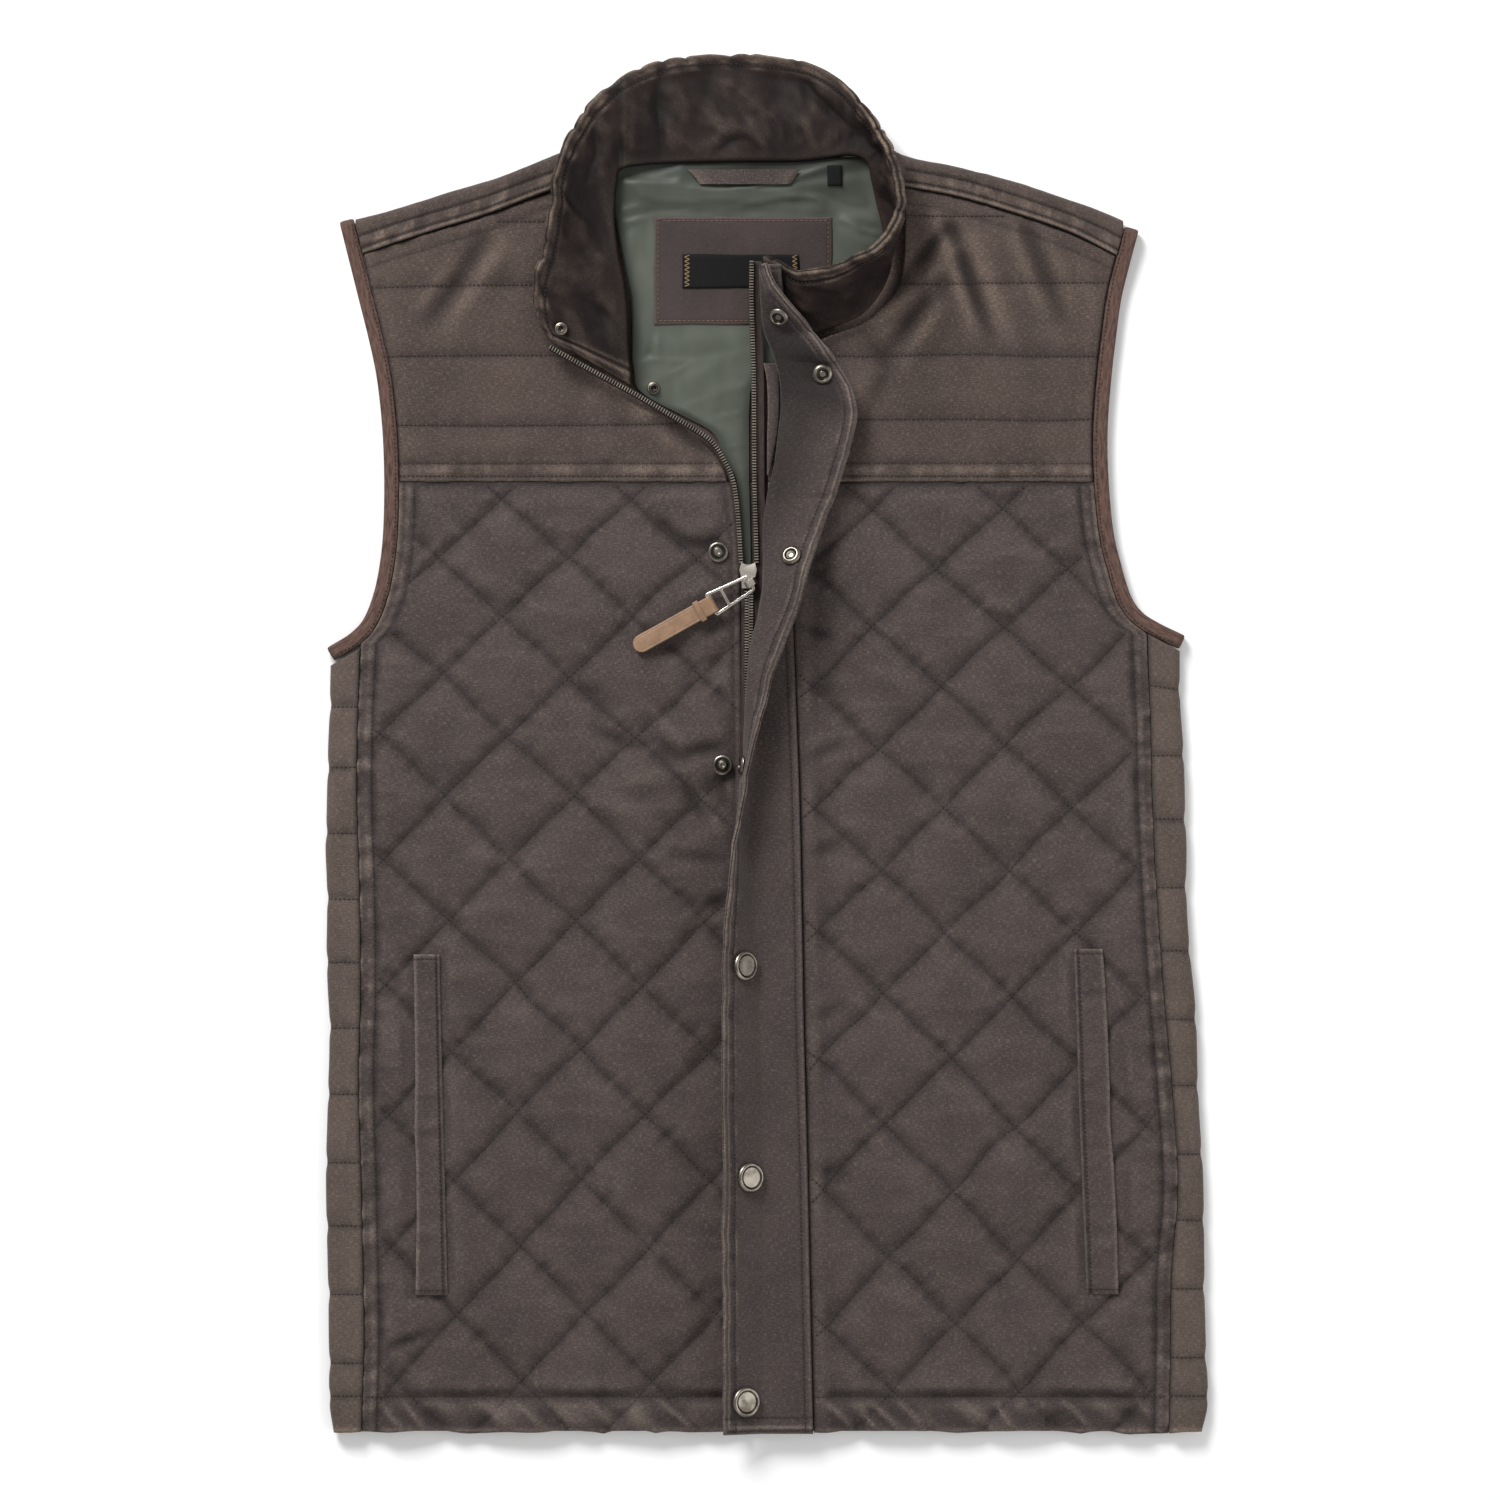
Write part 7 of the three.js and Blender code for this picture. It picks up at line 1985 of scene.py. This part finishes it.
CAP = Turned((
    (8.0, 0), (8.45, 0.5), (8.3, 1.2), (7.7, 1.9), (7.1, 2.1), (6.6, 2.05), (6.1, 1.6), (5.7, 1.35), (5.2, 1.3),
    (3.0, 1.45), (0.0, 1.5),
), (5.6, 6.2))
SOCKET = Turned((
    (5.4, 0), (5.6, 0.35), (5.3, 0.8), (4.7, 1.25), (4.1, 1.65), (3.5, 1.65), (3.1, 1.2), (2.9, 0.5), (1.9, 0.3),
    (1.5, 0.75), (0.0, 0.8),
), (1.8, 3.2))
STUD = Turned((
    (5.4, 0), (5.6, 0.3), (5.2, 0.75), (4.5, 0.95), (4.1, 0.85), (3.4, 0.6), (2.6, 0.75), (2.0, 1.3), (1.95, 1.8),
    (2.35, 2.4), (2.0, 2.8), (1.2, 2.9), (0.9, 2.6), (0.0, 2.5),
), (2.5, 4.2))
POST = Turned((
    (3.5, 0), (3.6, 0.3), (3.2, 0.7), (2.5, 0.8), (2.2, 1.2), (2.1, 3.0), (1.8, 3.35), (1.4, 3.25), (1.2, 2.6),
    (1.1, 1.2), (0.0, 1.1),
), (0.0, 1.45))


def apply_modifiers(piece: bpy.types.Object) -> None:
    """Works an object's modifiers into its mesh."""
    bpy.context.view_layer.update()
    evaluated = piece.evaluated_get(bpy.context.evaluated_depsgraph_get())
    mesh = bpy.data.meshes.new_from_object(evaluated)
    piece.modifiers.clear()
    piece.data = mesh


@dataclass(frozen=True)
class CastPart:
    """A cast or bent metal part: its solid with every edge rounded, as tumbling leaves it."""

    node: str
    width: float
    finish: Finish = Finish.POLISHED
    slot: str = "silver_metal"

    def build(self, body: str) -> None:
        """Makes the part from a copy of its solid."""
        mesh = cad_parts[self.node].data.copy()
        piece = bpy.data.objects.new(self.node + "_rounded", mesh)
        bpy.context.scene.collection.objects.link(piece)
        mesh.materials.clear()
        mesh.materials.append(self.finish.material())
        weld = piece.modifiers.new("weld", "WELD")
        weld.merge_threshold = 0.01 * MM
        bevel = piece.modifiers.new("edges", "BEVEL")
        bevel.width, bevel.segments, bevel.limit_method = self.width * MM, 4, "ANGLE"
        bevel.angle_limit = math.radians(28)
        apply_modifiers(piece)
        piece.data.polygons.foreach_set("use_smooth", [True] * len(piece.data.polygons))
        piece.data.set_sharp_from_angle(angle=math.radians(40))
        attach(piece, body)
        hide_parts(self.node)


@dataclass
class LeatherTab:
    """The pull's leather tab: a doubled strip round the frame's end bar, its cut edge burnished."""

    name: str = "pull_tab"
    hinge: tuple = (-10.5, 89.0, 12.9)
    direction: tuple = (-0.874, -0.486)
    start: float = 22.45
    length: float = 73.4
    half_width: float = 4.9
    half_thickness: float = 1.2
    loop: float = 2.25
    bar: float = 24.7

    def build(self) -> None:
        """Makes the tab."""
        d = np.array([*self.direction, 0.0])
        d /= np.linalg.norm(d)
        across = np.cross([0, 0, 1.0], d)
        u = np.linspace(0, 1, 120)[:, None]
        way = mix(self.start, self.length, u ** 0.9)
        v = np.sin(np.linspace(-0.5, 0.5, 33) * math.pi)[None]
        past = np.clip(way - (self.length - self.half_width), 0, self.half_width)
        half = np.sqrt(np.maximum(self.half_width**2 - past**2, 0.0))
        off = half * v
        edge = np.minimum(half - np.abs(off), self.length - way)
        strip = self.half_thickness * (0.35 + 0.65 * round_over(edge, 0.8))
        from_bar = way - self.bar
        ringed = np.sqrt(np.maximum(self.loop**2 - np.minimum(from_bar, 0) ** 2, 0))
        body = mix(ringed, self.half_thickness, ease(from_bar / 4.4))
        high = body * strip / self.half_thickness + 0.12 * RUMPLE.at(way / 9, off / 6)
        high = high - 0.18 * bell(edge - 1.3, 0.35) * (way > 34)
        centre = np.array(self.hinge) + d * way[..., None] + across * off[..., None]
        up = np.array([0, 0, 1.0])
        outer = centre + up * high[..., None]
        inner = centre - up * body[..., None] * (strip / self.half_thickness)[..., None]
        zero = np.zeros_like(high)
        coords = np.stack([off, way + 0 * off], 2)
        made = shell(outer, inner, coords, zero, zero, flip=True).build("pull_tab_leather", Finish.LEATHER, "pull")
        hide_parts(self.name)


@dataclass
class Studio:
    """A pale floor, broad soft lights and a camera straight above."""

    field_width: float = 0.825
    distance: float = 5.0
    aim: tuple[float, float] = (-0.00928, -0.00390)
    film: float = 36.0
    floor_reach: float = 9.0
    floor_height: float = -0.0002

    def area(self, name: str, place: tuple, size: float, power: float) -> None:
        """Adds a square light that faces the vest."""
        light = bpy.data.lights.new(name, "AREA")
        light.size, light.energy = size, power
        lamp = bpy.data.objects.new(name, light)
        lamp.location = place
        lamp.rotation_euler = (Vector((0, 0, 0)) - Vector(place)).to_track_quat("-Z", "Y").to_euler()
        bpy.context.scene.collection.objects.link(lamp)

    def build(self) -> None:
        """Sets the stage."""
        mesh = bpy.data.meshes.new("floor")
        far, low = self.floor_reach, self.floor_height
        corners = [(-far, -far, low), (far, -far, low), (far, far, low), (-far, far, low)]
        mesh.from_pydata(corners, [], [(0, 1, 2, 3)])
        floor = bpy.data.objects.new("floor", mesh)
        bpy.context.scene.collection.objects.link(floor)
        paper, _ = new_material("white_paper_floor")
        mesh.materials.append(finished(paper, {"Base Color": linear("#f4f4f4"), "Roughness": 0.9}))
        self.area("key", (-1.15, 2.1, 1.9), 1.3, 112)
        self.area("fill", (2.2, -0.6, 1.6), 2.2, 26)
        self.area("foot", (0.3, -2.4, 1.8), 2.2, 12)
        world = bpy.data.worlds.new("studio")
        world.use_nodes = True
        feed(world.node_tree, world.node_tree.nodes["Background"], {"Color": (1, 1, 1, 1), "Strength": 0.42})
        scene = bpy.context.scene
        scene.world = world
        scene.view_settings.view_transform = "Standard"
        camera = bpy.data.cameras.new("camera")
        camera.sensor_width = self.film
        camera.lens = self.film * self.distance / self.field_width
        camera.clip_end = 40
        eye = bpy.data.objects.new("camera", camera)
        eye.location = (*self.aim, self.distance)
        scene.collection.objects.link(eye)
        scene.camera = eye


def main() -> None:
    """Builds the vest piece by piece, then the floor, the lights and the camera."""
    logging.basicConfig(level=logging.INFO, format="%(name)s: %(message)s")
    quilting = Sewing(Finish.THREAD_DARK, 2.8, 1.9, 0.3)
    topstitch = Sewing(Finish.THREAD_DARK, 2.4, 1.5, 0.3)
    patch_thread = Sewing(Finish.THREAD_TAN, 2.6, 2.1, 0.22)
    label_thread = Sewing(Finish.LABEL_EDGE, 9.0, 3.2, 0.24)

    BackPanel().build()
    BackYoke().build(topstitch)
    LOG.info("made the back")
    for front in (FRONT_RIGHT, FRONT_LEFT):
        front.build(quilting, topstitch)
    for yoke, ceiling in ((YOKE_RIGHT, right_ceiling), (YOKE_LEFT, left_ceiling)):
        yoke.build(ceiling, topstitch)
    LOG.info("made the fronts and their yokes")
    SidePanel("side_panel_right", -1, SIDE_STITCH_RIGHT, 43.5).build(topstitch)
    SidePanel("side_panel_left", 1, SIDE_STITCH_LEFT, 51.5).build(topstitch)
    ArmholeBinding("armhole_binding_right", ARMHOLE_RIGHT, 1).build(topstitch)
    ArmholeBinding("armhole_binding_left", ARMHOLE_LEFT, -1).build(topstitch)
    Welt("pocket_welt_right", WELT_RIGHT, True).build(topstitch)
    Welt("pocket_welt_left", WELT_LEFT, False).build(topstitch)
    LOG.info("made the sides, bindings and welts")

    Placket().build()
    NeckLining().build()
    patch = SewnPatch("neck_patch", PATCH, 5.3, 0.9, Finish.PATCH, "neck_patch", "neck_lining_satin", 2.0, 0.5)
    patch.build(patch_thread)
    SewnPatch("neck_label", LABEL, 6.5, 0.8, Finish.LABEL, "label", "neck_patch_cloth").build(None)
    for x in (LABEL[0] + 2.4, LABEL[1] - 2.4):
        zigzag(label_thread, x, LABEL[2] + 0.8, LABEL[3] - 0.4, 3.0, 7.35)
    SewnPatch("size_tab", SIZE_TAB, 5.8, 0.8, Finish.LABEL, "label", "neck_lining_satin").build(None)
    Strip("hanger_loop", HANGER, 1.6, (0.056, 0.010), "neck_lining_satin", 0.00043).build()
    Strip("edge_strip_left", EDGE_STRIP, 1.4, (0.010, 0.0615), "front_yoke_left_cloth", 0.00029).build()
    Collar().build(topstitch)
    flap = Flap()
    flap.build(topstitch)
    LOG.info("made the neck, the collar and the flap")

    right = ZipSide("right", ZIP_RIGHT, -14.0, -1.9, 1.2, -1)
    left = ZipSide("left", ZIP_LEFT, -7.8, -1.4, 5.6, 1)
    for side in (right, left):
        side.tape()
        side.teeth()
    closed_chain()
    CastPart("zip_slider", 0.5).build("vest")
    CastPart("pull_frame", 0.6).build("pull")
    CastPart("pull_keeper", 0.35, Finish.LEATHER, "leather").build("pull")
    LeatherTab().build()
    for part, node, places, side in ((CAP, "snap_cap", CAPS, 1), (SOCKET, "snap_socket", SOCKETS, -1)):
        for k, (y, back) in enumerate(places, 1):
            point, out = flap.place(y, back)
            part.build(f"{node}_{k}", point + out * (2.0 * side), out * side)
    for part, node, places in ((STUD, "snap_stud", STUDS), (POST, "stud_post", POSTS)):
        for k, place in enumerate(places, 1):
            part.build(f"{node}_{k}", np.array(place), np.array([0, 0, 1.0]))
    LOG.info("made the zip, the pull and the snaps")

    quilting.build("quilting_stitches")
    topstitch.build("topstitching")
    patch_thread.build("patch_stitches", "neck_patch")
    label_thread.build("label_stitches", "label")
    LOG.info("sewed the seams")

    Studio().build()


if __name__ == "__main__":
    main()
